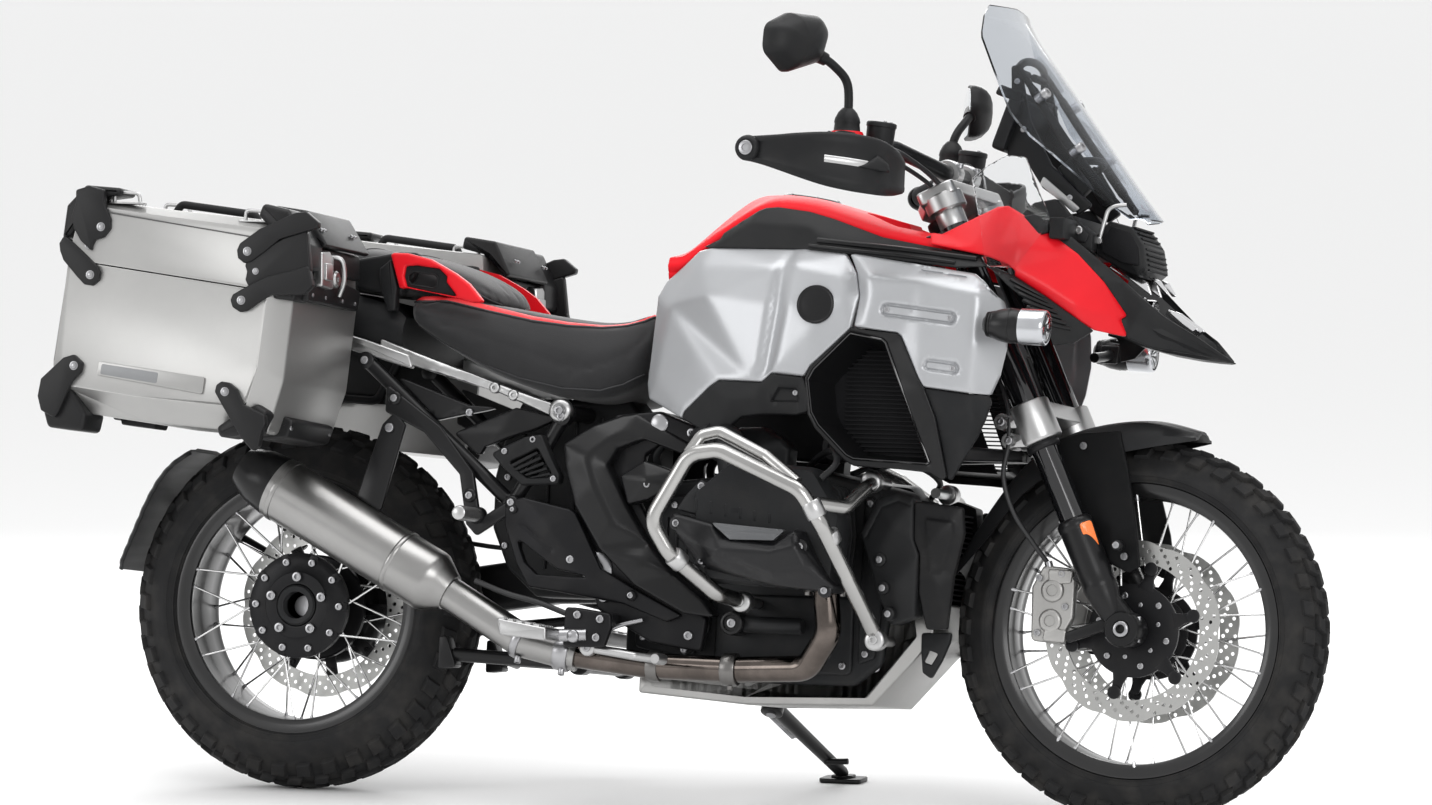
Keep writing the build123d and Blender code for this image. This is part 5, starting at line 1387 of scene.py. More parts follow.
# air duct: a frame round the opening, then the walls that run inwards
fo = [(868, 690, 299), (1058, 716, 306), (1078, 735, 306), (1150, 905, 308), (1170, 940, 307), (1215, 1060, 304), (1262, 1310, 290), (1240, 1322, 286), (1190, 1290, 284), (1060, 1275, 282), (880, 1262, 282), (840, 1240, 282),
      (720, 1110, 284), (688, 1050, 286), (676, 900, 287), (700, 850, 291)]
fi = [(868, 712, 290), (1000, 738, 298), (1016, 752, 298), (1060, 880, 298), (1196, 1250, 286), (1185, 1256, 284), (880, 1234, 280), (850, 1218, 280), (735, 1094, 280), (706, 1040, 282), (692, 905, 284), (715, 862, 288)]
duct = Facets(fo + fi + [(940, 1000, 285)], [], soft=4.0, view=A)
m = Mesh()
ho = rounded(duct.xz[16:28], 5, 3)
skin(m, rounded(duct.xz[:16], 6, 3), duct, thick=6.0, edge=3.0, res=8.0, holes=[ho])
hin = resample(ho, 12)
secs = []
for d, sh, drop in ((3, 0.0, 0.0), (18, 3.0, 2.0), (45, 10.0, 6.0), (80, 22.0, 12.0)):
    cxm, czm = np.mean(hin, axis=0)
    sec = []
    for x, z in hin:
        w = float(duct(np.array([(x, z)]))[0])
        k = 1 - sh / 120.0
        sec.append((cxm + (x - cxm) * k + drop, -(w - d), czm + (z - czm) * k))
    secs.append(sec)
back = [[(x, y + 2.5, z) for x, y, z in inset3] for inset3 in secs]
full = secs
loft(m, secs, caps=False, mi=0)
# a thin bright lip round the opening
lip = [(x, -float(duct(np.array([(x, z)]))[0]) - 0.6, z) for x, z in inset(ho, 1.0)]
tube(m, lip + [lip[0], lip[1]], 1.7, n=6, mi=1, caps=False)
twins("air_duct", m, ["black_satin", "black_gloss"], replaces=("air_ducts",))

# dark spear panel in front of the duct
keys = [(1165, 938, 300), (1360, 965, 290), (1440, 972, 272), (1448, 1000, 268), (1420, 1080, 262), (1395, 1140, 258), (1285, 1320, 262), (1268, 1318, 266), (1215, 1060, 296), (1375, 1090, 280)]
spear = Facets(keys, [(1, 9), (9, 6)], soft=5.0, view=A)
m = Mesh()
skin(m, rounded(spear.xz[:9], 5, 3), spear, thick=4.0, edge=3.5, res=8.0)
twins("spear_panel", m, "engine_metal")
# matrix behind the duct
m = Mesh()
core = see(A([(790, 760), (1010, 760), (1180, 1240), (900, 1220), (760, 1080)]), -212)
plate(m, core, -214, -206, edge=1.0)
for k in range(26):
    zz = 606 + k * 7.4
    plate(m, [(1052, zz), (1225, zz), (1225, zz + 2.4), (1052, zz + 2.4)], -220, -213, edge=0.3, segs=1)
for q in ((905, 1060, 30), (880, 1000, 16)):
    pass
twins("duct_core", m, "dark_mesh", sharp=30)

# ---- nose: wings, beak, lamps, screen -----------------------------------
C30 = crop(900, 120, 280)
C29 = crop(640, 380, 370)
C28 = crop(380, 330, 380)
C27 = crop(440, 240, 340)


def panel_px(name, view, keys, n_out, creases=(), mats="black_plastic", body="root", thick=4.0, edge=3.5, soft=5.0, corner=4.0,
             res=8.0, replaces=(), holes=(), raised=(), grooves=(), bolts=(), pair=True, side=-1, extra=None, bolt_mi=1, sharp=50):
    """A faceted panel traced on a detail view: keys are (u, v, half width), the first n_out of them its outline."""
    f = Facets(keys, creases, soft=soft, view=view, side=side)
    g = Mesh()
    hs = [rounded(see_on(view(h), f), 3, 3) for h in holes]
    rs = [(rounded(see_on(view(o), f), 3, 3), h, r) for o, h, r in raised]
    gs = [(see_on(view(l), f), d, w) for l, d, w in grooves]
    skin(g, rounded(f.xz[:n_out], corner, 3), f, thick=thick, edge=edge, res=res, holes=hs, raised=rs, grooves=gs, side=side)
    for (u, v, r) in bolts:
        q = see_on(view([(u, v)]), f)[0]
        bolt(g, (q[0], side * (float(f(np.array([q]))[0]) - 1.0), q[1]), (0, side, 0), r, 2.6, mi=bolt_mi)
    if extra:
        extra(g, f)
    if pair:
        twins(name, g, mats, body, replaces, sharp)
    else:
        make(name, g, mats, body, replaces, sharp)
    return f


wing_keys = [(0, 255, 226), (55, 265, 224), (330, 130, 212), (380, 125, 210), (430, 155, 206), (560, 240, 194), (720, 360, 176), (850, 500, 156), (965, 665, 128), (930, 680, 138), (965, 770, 132), (800, 735, 170), (740, 700, 184),
             (560, 570, 214), (410, 470, 238), (415, 445, 242), (380, 415, 244), (270, 370, 245), (0, 315, 240),
             (330, 320, 238), (430, 320, 236), (420, 430, 241), (560, 520, 222), (700, 610, 200), (905, 672, 150), (190, 330, 242)]
panel_px("fairing_wing", B, wing_keys, 19, [(1, 25), (25, 19), (19, 20), (20, 5), (20, 21), (21, 22), (22, 23), (23, 24)], "red_paint", thick=4.0, edge=4.0, soft=4.0, corner=5, res=6.5,
         replaces=("front_fairing",))

# dark panel between the wing and the lamp, down to the tip of the beak
inner_keys = [(540, 215, 188), (600, 212, 180), (700, 286, 166), (836, 400, 150), (930, 478, 142), (1040, 580, 130), (1144, 668, 112), (1230, 722, 95), (1298, 762, 78), (1400, 834, 42), (1480, 888, 10), (1470, 899, 10), (1330, 862, 60),
              (1080, 822, 108), (962, 772, 128), (925, 682, 134), (962, 668, 126), (848, 503, 152), (718, 363, 172), (558, 243, 190),
              (1010, 690, 126), (1210, 800, 88), (1100, 716, 114)]
panel_px("beak_side", B, inner_keys, 20, [(16, 20), (20, 22), (20, 21), (21, 10)], "black_plastic", thick=4.0, edge=3.0, soft=4.0, corner=4, res=7.0)

# beak: a blade that joins both sides, ridge on top
m = Mesh()
secs = []
for x, w, ze, zb in [(1452, 138, 958, 846), (1490, 131, 926, 830), (1530, 121, 894, 812), (1575, 108, 858, 801), (1620, 78, 831, 794), (1652, 39, 808, 791), (1672, 12, 795, 790), (1678, 4, 793, 791)]:
    d = min(30.0, (ze - zb) * 0.55)
    secs.append([(x, -w, ze - 0.45 * (ze - zb)), (x, -w * 0.99, ze - 1), (x, -w * 0.93, ze), (x, -w * 0.72, ze - d), (x, 0, ze - d * 1.1), (x, w * 0.72, ze - d), (x, w * 0.93, ze), (x, w * 0.99, ze - 1), (x, w, ze - 0.45 * (ze - zb)),
                 (x, w * 0.7, zb + 2), (x, 0, zb), (x, -w * 0.7, zb + 2)])
loft(m, secs, caps=True, closed=True)
make("beak_blade", m, "black_plastic", sharp=40)

# headlamp: dark housing, chrome rims, reflectors and lens
m = Mesh()
hous = [[(1420, -84, 886), (1420, -74, 944), (1420, 74, 944), (1420, 84, 886)], [(1500, -80, 862), (1500, -66, 904), (1500, 66, 904), (1500, 80, 862)], [(1532, -66, 846), (1532, -50, 878), (1532, 50, 878), (1532, 66, 846)]]
loft(m, hous, caps=True, closed=True, mi=0, smooth=False)
for s in (-1, 1):
    turned(m, (1506, s * 34, 876), (1, 0, -0.05), [(-10, 0), (-10, 25), (16, 25), (18, 23), (14, 21), (4, 16), (2, 0)], n=40, mi=1, closed=False)
    turned(m, (1518, s * 34, 876), (1, 0, -0.05), [(0, 0), (0, 15), (4, 14), (9, 9), (11, 0)], n=32, mi=2, closed=False)
C39 = crop(1080, 200, 170)
for pts, y0 in (([(256, 622), (300, 588), (470, 668), (620, 756), (664, 892), (600, 850), (450, 745)], 36), ([(780, 1066), (812, 1008), (872, 1030), (1090, 1190), (1018, 1244), (900, 1178)], 26), ([(610, 700), (740, 742), (812, 868), (770, 872), (700, 770)], 30)):
    g = see(C39(pts), -y0)
    for s in (-1, 1):
        plate(m, rounded([tuple(p) for p in g], 3, 3), s * y0 if s < 0 else y0 - 7, -y0 + 7 if s < 0 else y0, edge=2, mi=1)
make("headlamp_unit", m, ["black_gloss", "chrome", "lamp_lens"], replaces=("headlamp",), sharp=40)
m = Mesh()
secs = []
for x, zt, zb, w in [(1500, 902, 872, 80), (1520, 888, 860, 76), (1545, 866, 842, 68), (1570, 848, 828, 57), (1590, 832, 816, 46), (1600, 824, 812, 38)]:
    secs.append([(x, -w, zb), (x + 1, -w * 0.96, (zt + zb) / 2), (x, -w * 0.8, zt), (x, 0, zt + 3), (x, w * 0.8, zt), (x + 1, w * 0.96, (zt + zb) / 2), (x, w, zb), (x, 0, zb - 2)])
loft(m, secs, caps=True, closed=True)
make("headlamp_lens", m, "lamp_lens", sharp=50)

# nose box behind the screen, with a ribbed front
C39 = crop(1080, 200, 170)
m = Mesh()
nb = [(1440, 1000), (1464, 1028), (1504, 1018), (1526, 988), (1534, 946), (1518, 932), (1488, 944), (1444, 968)]
plate(m, rounded(nb, 6, 3), -72, 72, edge=6, mi=0)
plate(m, rounded([(1450, 992), (1470, 1018), (1502, 1009), (1518, 982), (1522, 950), (1490, 956), (1454, 974)], 5, 3), -75, 75, edge=2, mi=1)
for k in range(9):
    z = 944 + 9.0 * k
    plate(m, [(1500, z), (1536 - 0.42 * k * k, z), (1536 - 0.42 * k * k, z + 3), (1500, z + 3)], -58, 58, edge=0.6, mi=1, segs=1)
# side arms from the nose to the wings, and the cross bridge
for s in (-1, 1):
    arm = [(1326, 969), (1400, 976), (1452, 968), (1452, 1002), (1404, 1036), (1384, 1060), (1344, 1052), (1314, 1026), (1314, 998)]
    plate(m, rounded(arm, 8, 3), s * 96, s * 126, edge=4, mi=0)
    plate(m, rounded([(1398, 990), (1440, 984), (1446, 998), (1412, 1030), (1398, 1024)], 4, 2), s * 124, s * 130, edge=2, mi=2)
    bolt(m, (1428, s * 130, 1006), (0, s, 0), 7.0, 4.0, mi=3)
    # bright struts from the nose up to the screen
    arc = [(x, s * y, z) for (x, z), y in zip(see(C39([(176, 376), (196, 300), (232, 180), (262, 96), (330, 56), (430, 46)]), [-92, -92, -90, -88, -86, -82]), (92, 92, 90, 88, 86, 82))]
    tube(m, smooth_line(arc, 5), 3.6, n=12, mi=3)
    turned(m, arc[0], (0, s, 0), [(-4, 0), (-4, 6), (5, 6), (6, 5), (6, 0)], n=24, mi=3, closed=False)
plate(m, rounded([(1396, 970), (1424, 970), (1424, 1030), (1396, 1030)], 5, 2), -124, 124, edge=3, mi=0)
for s in (-1, 1):
    plate(m, rounded([(1176, 962), (1176, 984), (1250, 1004), (1390, 1030), (1396, 996), (1260, 946)], 6, 3), s * 188, s * 204, edge=3, mi=0)
    plate(m, rounded([(1396, 985), (1424, 985), (1424, 1022), (1396, 1022)], 4, 2), s * 120, s * 202, edge=3, mi=0)
make("nose_box", m, ["black_plastic", "dark_mesh", "engine_metal", "silver_alloy"], replaces=("nose_panel",), sharp=40)

# instrument hood and display
m = Mesh()
for s in (-1, 1):
    leg = [(1284, 1134), (1288, 1222), (1284, 1290), (1300, 1290), (1322, 1196), (1364, 1120), (1440, 1052), (1416, 1036), (1350, 1080), (1316, 1130)]
    plate(m, rounded(leg, 6, 3), s * 84, s * 97, edge=3, mi=0)
    plate(m, rounded([(1352, 1100), (1420, 1046), (1408, 1038), (1346, 1086)], 3, 2), s * 96, s * 100, edge=1.2, mi=2)
    for q in ((1297, 1262), (1312, 1180), (1400, 1064)):
        bolt(m, (q[0], s * 97, q[1]), (0, s, 0), 5.0, 3.0, mi=3)
    tube(m, [(1292, s * 20, 1280), (1292, s * 92, 1280)], 7.0, n=14, mi=0)
hood = []
for x, w, z in ((1306, 92, 1246), (1268, 100, 1236), (1258, 108, 1200), (1262, 112, 1150)):
    hood.append([(x, -w, z - 8), (x, -w, z + 4), (x, -w * 0.7, z + 10), (x, w * 0.7, z + 10), (x, w, z + 4), (x, w, z - 8), (x + 6, w * 0.9, z - 12), (x + 6, -w * 0.9, z - 12)])
to = plane_map((1282, 0, 1190), (-0.94, 0, 0.34))
prism(m, rounded([(-112, -48), (112, -48), (116, 48), (-116, 48)], 12, 4), to, -16, 8, edge=4, mi=0)
prism(m, rounded([(-98, -36), (98, -36), (100, 38), (-100, 38)], 5, 3), to, 6, 9.5, edge=1, mi=4)
prism(m, rounded([(-118, 40), (118, 40), (112, 58), (-112, 58)], 5, 3), to, -12, 34, edge=4, mi=0)
tube(m, smooth_line([(1292, -92, 1280), (1296, -60, 1298), (1297, 0, 1304), (1296, 60, 1298), (1292, 92, 1280)], 5), 7, n=12, mi=0)
make("dash_unit", m, ["black_plastic", "black_gloss", "silver_alloy", "bolt_steel", "screen_display"], sharp=40)

# windscreen
rows = [(1034, 1540, 60, 1500), (1066, 1512, 104, 1458), (1100, 1484, 136, 1424), (1134, 1458, 160, 1386), (1166, 1434, 176, 1346), (1200, 1408, 184, 1316), (1268, 1356, 178, 1284), (1336, 1302, 166, 1252), (1372, 1276, 148, 1250), (1392, 1262, 122, 1250)]
zz = np.array([r[0] for r in rows], float)
prm = [np.array([r[k] for r in rows], float) for k in (1, 2, 3)]
m = Mesh()
nu, nv = 40, 36


def screen_point(u, v, off):
    z = zz[0] + (zz[-1] - zz[0]) * v
    xc, w, xe = [float(np.interp(z, zz, p)) for p in prm]
    # a soft roll along the upper and lower corners
    x = xc - (xc - xe) * abs(u) ** 1.9
    y = w * u
    nx, ny, nz = 0.80, 0.55 * u * abs(u), 0.52
    return (x - nx * off, y - ny * off, z - nz * off + (6.0 * (1 - abs(u)) if v > 0.98 else 0.0))


v0 = []
for off in (0.0, 4.2):
    for j in range(nv + 1):
        for i in range(nu + 1):
            v0.append(screen_point(-1 + 2 * i / nu, j / nv, off))
fs = []
L2 = (nu + 1) * (nv + 1)
for j in range(nv):
    for i in range(nu):
        a = j * (nu + 1) + i
        fs.append([a, a + 1, a + nu + 2, a + nu + 1])
        fs.append([L2 + a, L2 + a + nu + 1, L2 + a + nu + 2, L2 + a + 1])
for i in range(nu):
    a, b = i, nv * (nu + 1) + i
    fs.append([a, L2 + a, L2 + a + 1, a + 1])
    fs.append([b, b + 1, L2 + b + 1, L2 + b])
for j in range(nv):
    a, b = j * (nu + 1), j * (nu + 1) + nu
    fs.append([a, a + nu + 1, L2 + a + nu + 1, L2 + a])
    fs.append([b, L2 + b, L2 + b + nu + 1, b + nu + 1])
m.add(v0, fs, 0)
make("screen_shell", m, "clear_screen", replaces=("windscreen",), sharp=50)
# screen hardware: inner black carrier, adjusters and grommets
m = Mesh()
for s in (-1, 1):
    car = []
    for z in (1300, 1256, 1206, 1156, 1106, 1066):
        v = (z - zz[0]) / (zz[-1] - zz[0])
        car.append(screen_point(s * min(0.62, 96 / float(np.interp(z, zz, prm[1]))), v, 20.0))
    tube(m, smooth_line(car, 6), [6.0] * 6 + [8.0] * 12 + [9.0] * 8 + [7.0] * 5, n=12, mi=0)
    for z in (1240, 1148):
        v = (z - zz[0]) / (zz[-1] - zz[0])
        turned(m, screen_point(s * 104 / float(np.interp(z, zz, prm[1])), v, 0.0), (0.80, s * 0.32, 0.52), [(-18, 0), (-18, 9), (7, 9), (9, 7.5), (9, 3.5), (7, 3.5), (7, 0)], n=24, mi=1, closed=False)
    wedge = [(1372, 1116), (1396, 1134), (1432, 1082), (1412, 1062)]
    plate(m, rounded(wedge, 5, 3), s * 60, s * 88, edge=4, mi=0)
tube(m, smooth_line([(1396, -84, 1126), (1418, -40, 1132), (1424, 0, 1134), (1418, 40, 1132), (1396, 84, 1126)], 5), 7.0, n=12, mi=0)
make("screen_carrier", m, ["black_plastic", "bolt_steel"], sharp=40)

# clear side deflectors with a folded crease
defl = [(1330, 1122, 250), (1362, 1120, 244), (1384, 1068, 240), (1409, 1015, 238), (1353, 931, 252), (1307, 931, 258), (1300, 952, 260), (1290, 1010, 262), (1274, 1080, 262), (1300, 1104, 256), (1368, 1040, 258), (1345, 1062, 262)]
f = Facets([(a, b, c) for a, b, c in defl], [(8, 11), (11, 10), (10, 3)], soft=3.0)
m = Mesh()
skin(m, rounded(f.xz[:10], 6, 3), f, thick=3.6, edge=1.2, res=7.0)
mat("clear_deflector", (0.93, 0.94, 0.95), 0.03, trans=1.0, ior=1.2, var=0.01, rvar=0.02)
twins("deflector", m, "clear_deflector", replaces=("wind_deflectors",))

# auxiliary lamps
m = Mesh()
lc = (1396, -338, 826)
turned(m, (1330, -338, 828), (1, 0, -0.04), [(0, 0), (0, 12), (8, 20), (30, 27.5), (44, 29.5), (58, 29.5), (60, 28.5), (66, 28.5), (68, 29.5), (104, 29.5), (106, 28), (106, 26), (98, 25), (98, 0)], n=56, mi=0, closed=False)
turned(m, (1330, -338, 828), (1, 0, -0.04), [(66, 29.0), (66, 30.6), (100, 30.6), (108, 29.6), (110, 27.5), (110, 25.8), (104, 25.4), (104, 29.0)], n=56, mi=1)
turned(m, (1330, -338, 828), (1, 0, -0.04), [(98, 0), (98, 25.4), (106, 25.4), (110, 22), (113, 12), (114, 0)], n=48, mi=2, closed=False)
for k in range(9):
    turned(m, (1336 + 5.0 * k, -338, 828 - 0.2 * k), (1, 0, -0.04), [(0, 18 + 1.1 * k), (0, 21 + 1.1 * k), (2.2, 21.4 + 1.1 * k), (2.2, 18 + 1.1 * k)], n=40, mi=0)
tube(m, [(1366, -312, 822), (1362, -280, 816), (1356, -246, 812)], 9.0, n=14, mi=0)
plate(m, rounded([(1346, 806), (1380, 806), (1384, 838), (1350, 838)], 5, 3), -318, -306, edge=2, mi=0)
bolt(m, (1365, -318, 822), (0, -1, 0), 6.0, 4.0, mi=3)
mat("lamp_shell", (0.50, 0.51, 0.53), 0.20, metal=0.9, bump=0.05, bscale=400)
twins("aux_lamp", m, ["black_satin", "lamp_shell", "lamp_lens", "bolt_steel"], replaces=("aux_lamps",))

# louvred dark vents between the wing and the silver side
vent_keys = [(225, 398, 236), (300, 420, 240), (405, 465, 240), (560, 566, 218), (740, 696, 190), (800, 738, 176), (700, 800, 196), (600, 810, 214), (560, 700, 236), (470, 590, 252), (380, 520, 262), (300, 440, 262)]
vf = panel_px("side_vent", B, vent_keys, 12, (), "black_plastic", thick=4.0, edge=2.0, soft=4.0, corner=3, res=8.0)
m = Mesh()
for k in range(7):
    px = [(392 + 20 * k, 486 + 34 * k), (560 + 22 * k, 575 + 26 * k)]
    line = see_on(B(px), vf)
    pts = resample(line, 14, closed=False)
    tube(m, [(x, -float(vf(np.array([(x, z)]))[0]) - 1.5, z) for x, z in pts], 3.2, n=8, mi=0, round_end=2.0)
twins("side_louvres", m, "black_satin")

# ---- side cases ---------------------------------------------------------
C31 = crop(40, 190, 320)
C32 = crop(80, 390, 400)
SEAM_A, SEAM_K = (-226.0, 888.0), -0.1278


def seam_at(x):
    return SEAM_A[1] + (x - SEAM_A[0]) * SEAM_K


def case_outline(part, i, front, rear, top, low, seam_off):
    """One closed outline of the body or the lid at a given inset: (x, z)."""
    xr_s, xf_s = -284.0 - rear, 89.0 + front
    if part == "body":
        pts = [(-303 - rear, 716), (-299 - rear, 680 - low), (-150, 664 - low - 3), (58 + front * 0.8, 645 - low), (77 + front, 716 - low * 0.5), (xf_s - 1, 830),
               (xf_s, seam_at(xf_s) - seam_off), (-100, seam_at(-100) - seam_off), (xr_s, seam_at(xr_s) - seam_off)]
        r = [30, 14, 60, 14, 60, 60, 1.5, 0, 1.5]
    else:
        pts = [(xr_s, seam_at(xr_s) + seam_off), (-100, seam_at(-100) + seam_off), (xf_s, seam_at(xf_s) + seam_off), (77 + front, 955 + top), (-100, 972.5 + top), (-264 - rear, 991 + top)]
        r = [1.5, 0, 1.5, 12, 0, 12]
    return rounded(inset(pts, i) if i else pts, r, 4)


def case_shell(part, sign, shift, step, seam_off=1.2):
    m = Mesh()
    rows = [(488.2, 4.0, 0, 0, 0, 0), (490.0, 1.2, 0, 0, 0, 0), (490.0, 0.0, 0.4, 0.4, 0.2, 0.4), (456, 0, 33, 10, 13, 38), (453, 0, 35, 11, 14, 41), (449, 0, 36, 11, 14, 42), (320, 0, 36 + step * 0.5, 11, 14, 42), (196, 0, 36 + step, 11, 14, 42), (192.6, 1.5, 36 + step, 11, 14, 42)]
    secs = []
    for y, i, fr, re, tp, lw in rows:
        secs.append([(x + shift, sign * y, z) for x, z in case_outline(part, i, fr, re, tp, lw, seam_off)])
    loft(m, secs, caps=True, closed=True)
    return m


def on_face(pts, sign, shift, y=490.0):
    """Traced on the right case's outer face; the left case takes the same places, moved along."""
    return [(x + shift, z) for x, z in see(pts, -y)]


def case_parts(label, sign, shift, step):
    body_name = "root"
    lid_body = "case_%s_lid" % label
    # box
    m = case_shell("body", sign, shift, step)
    ins = case_outline("body", 3.0, 36, 11, 14, 42, 1.2)
    # rails under the box and the mounting plate on the inner wall
    for x0 in (-230, -60):
        plate(m, rounded([(x0 + shift, 632 + SEAM_K * 0), (x0 + 70 + shift, 626), (x0 + 66 + shift, 612), (x0 + 4 + shift, 618)], 4, 2), sign * 300, sign * 360, edge=3, mi=1)
    plate(m, rounded([(-190 + shift, 700), (40 + shift, 690), (44 + shift, 800), (-186 + shift, 810)], 14, 4), sign * 194, sign * 186, edge=2, mi=1)
    # a plain raised label
    lab = rounded(on_face(C31([(290, 838), (808, 918), (796, 1000), (278, 905)]), sign, shift), 4, 3)
    plate(m, lab, sign * 488, sign * 491.4, edge=0.8, mi=0)
    lab2 = rounded(on_face(C31([(304, 852), (580, 895), (572, 948), (296, 902)]), sign, shift), 3, 3)
    plate(m, lab2, sign * 490, sign * 492.0, edge=0.5, mi=2)
    make("case_%s_box" % label, m, ["case_aluminium", "black_plastic", "case_label"], body_name, ("case_" + label,), 40)
    # lid with its pressed line, drawn as a thin dark strip whose colour is painted shade of the groove
    m = case_shell("lid", sign, shift, step)
    g = on_face(C31([(350, 150), (985, 250)]), sign, shift)
    gx = [(-262 + shift, seam_at(-262) + 92), g[0], g[1], (84 + shift, seam_at(84) + 88)]
    plate(m, [(gx[0][0], gx[0][1] - 1.1), (gx[3][0], gx[3][1] - 1.1), (gx[3][0], gx[3][1] + 1.1), (gx[0][0], gx[0][1] + 1.1)], sign * 489, sign * 490.8, edge=0.3, mi=2, segs=1)
    # lashing loops on the lid
    for cx_ in (-190 + 0.0, 56.0):
        z = 1004 + (cx_ + 264) * -0.112
        for yy in (476,):
            base = plane_map((cx_ + shift, sign * (yy - 12), z - 1), (0, 0, 1), up=(0, sign, 0))
            prism(m, rounded([(-34, -10), (34, -10), (34, 10), (-34, 10)], 5, 3), base, 0, 3.5, edge=1.2, mi=3)
            tube(m, fillet([(cx_ - 24 + shift, sign * (yy - 12), z), (cx_ - 22 + shift, sign * (yy - 10), z + 20), (cx_ + 22 + shift, sign * (yy - 10), z + 18), (cx_ + 26 + shift, sign * (yy - 12), z - 2)], 7, 5), 3.4, n=10, mi=3)
            bolt(m, (cx_ - 30 + shift, sign * (yy - 12), z + 2), (0, 0, 1), 3.4, 2.0, mi=3)
            bolt(m, (cx_ + 32 + shift, sign * (yy - 12), z - 1), (0, 0, 1), 3.4, 2.0, mi=3)
    for yy in (240,):
        for cx_ in (-190, 56):
            z = 1004 + (cx_ + 264) * -0.112
            tube(m, fillet([(cx_ - 24 + shift, sign * yy, z), (cx_ - 22 + shift, sign * yy, z + 18), (cx_ + 22 + shift, sign * yy, z + 16), (cx_ + 26 + shift, sign * yy, z - 2)], 7, 5), 3.4, n=10, mi=3)
    # handle on the lid
    zc_ = 1004 + (-70 + 264) * -0.112
    tube(m, fillet([(-150 + shift, sign * 340, zc_ + 8), (-140 + shift, sign * 340, zc_ + 24), (0 + shift, sign * 340, zc_ + 8), (8 + shift, sign * 340, zc_ - 8)], 12, 5), 7.0, n=12, mi=1)
    make("case_%s_top" % label, m, ["case_aluminium", "black_plastic", "case_groove", "silver_alloy"], lid_body, ("case_%s_cover" % label,), 40)

    # guards: low ones on the box, high ones on the lid
    def guard(g, px, y_face, h, w_edge=3.0, mi=0, view=C31, depth=10.0):
        pl = rounded(on_face(view(px), sign, shift, y_face), 5, 3)
        plate(g, pl, sign * (y_face - depth), sign * (y_face + h), edge=w_edge, mi=mi, segs=3)

    def rivet(g, px, y_face, r=5.5, view=C31):
        x, z = on_face(view([px]), sign, shift, y_face)[0]
        turned(g, (x, sign * y_face, z), (0, sign, 0), [(-3, 0), (-3, r + 2.4), (0.2, r + 2.2), (0.6, r + 0.6), (0.2, r), (1.4, r * 0.9), (2.4, r * 0.5), (2.7, 0)], n=24, mi=1, closed=False)

    lo_g, hi_g = Mesh(), Mesh()
    # lower rear corner
    guard(lo_g, [(10, 925), (120, 822), (172, 806), (216, 848), (206, 892), (162, 938), (96, 1088), (74, 1116), (10, 1080), (-6, 1010)], 490, 7.5)
    rivet(lo_g, (165, 860), 498)
    sec = [[(-312 + shift, 604), (-246 + shift, 598), (-240 + shift, 628), (-276 + shift, 684), (-322 + shift, 694), (-324 + shift, 640)]]
    plate(lo_g, rounded(sec[0], 10, 3), sign * 486, sign * 400, edge=8, mi=0, segs=3)
    # lower front corner with its run along the bottom of the front wall
    guard(lo_g, [(862, 990), (870, 955), (895, 938), (930, 944), (968, 975), (1002, 1052), (1078, 1088), (1106, 1104), (1110, 1150), (1094, 1176), (1076, 1256), (1046, 1280), (990, 1215), (900, 1060)], 490, 7.5)
    rivet(lo_g, (905, 988), 498)
    bot = [(10 + shift, 594), (84 + shift, 604), (98 + shift, 640), (78 + shift, 654), (44 + shift, 640), (4 + shift, 612)]
    plate(lo_g, rounded(bot, 9, 3), sign * 488, sign * 404, edge=9, mi=0, segs=3)
    plate(lo_g, rounded([(52 + shift, 594), (106 + shift, 600), (116 + shift, 630), (92 + shift, 640), (58 + shift, 614)], 7, 3), sign * 410, sign * 214, edge=5, mi=0, segs=3)
    for yy in (404, 226):
        bolt(lo_g, (110 + shift, sign * yy, 618), (1, 0, 0.1), 5.0, 2.5, mi=1)
    # middle arms below the seam
    guard(lo_g, [(104, 300), (100, 262), (122, 225), (148, 240), (200, 290), (285, 372), (300, 408), (294, 444), (262, 470), (222, 464), (190, 430), (120, 345)], 490, 7.0)
    rivet(lo_g, (245, 415), 497.5)
    guard(lo_g, [(1232, 398), (1320, 372), (1340, 470), (1300, 512), (1132, 516), (1075, 552), (1020, 592), (985, 600), (948, 575), (938, 540), (950, 512), (1050, 455), (1118, 424)], 490, 7.0)
    rivet(lo_g, (985, 540), 497.5)
    plate(lo_g, rounded([(96 + shift, 836), (136 + shift, 832), (140 + shift + step * 0.4, 872), (100 + shift, 880)], 6, 3), sign * 484, sign * 418, edge=6, mi=0, segs=3)
    f0 = plane_map((126 + shift + step * 0.6, sign * 330, 856), (1, 0, 0), up=(0, 0, 1))
    prism(lo_g, rounded([(-118, -22), (118, -22), (126, 14), (60, 22), (-60, 22), (-126, 14)], 6, 3), f0, 0, 15, edge=4, mi=0, segs=3)
    for yy in (-100, -40, 40, 100):
        bolt(lo_g, (141 + shift + step * 0.6, sign * (330 + yy), 846), (1, 0, 0), 3.6, 2.0, mi=1)
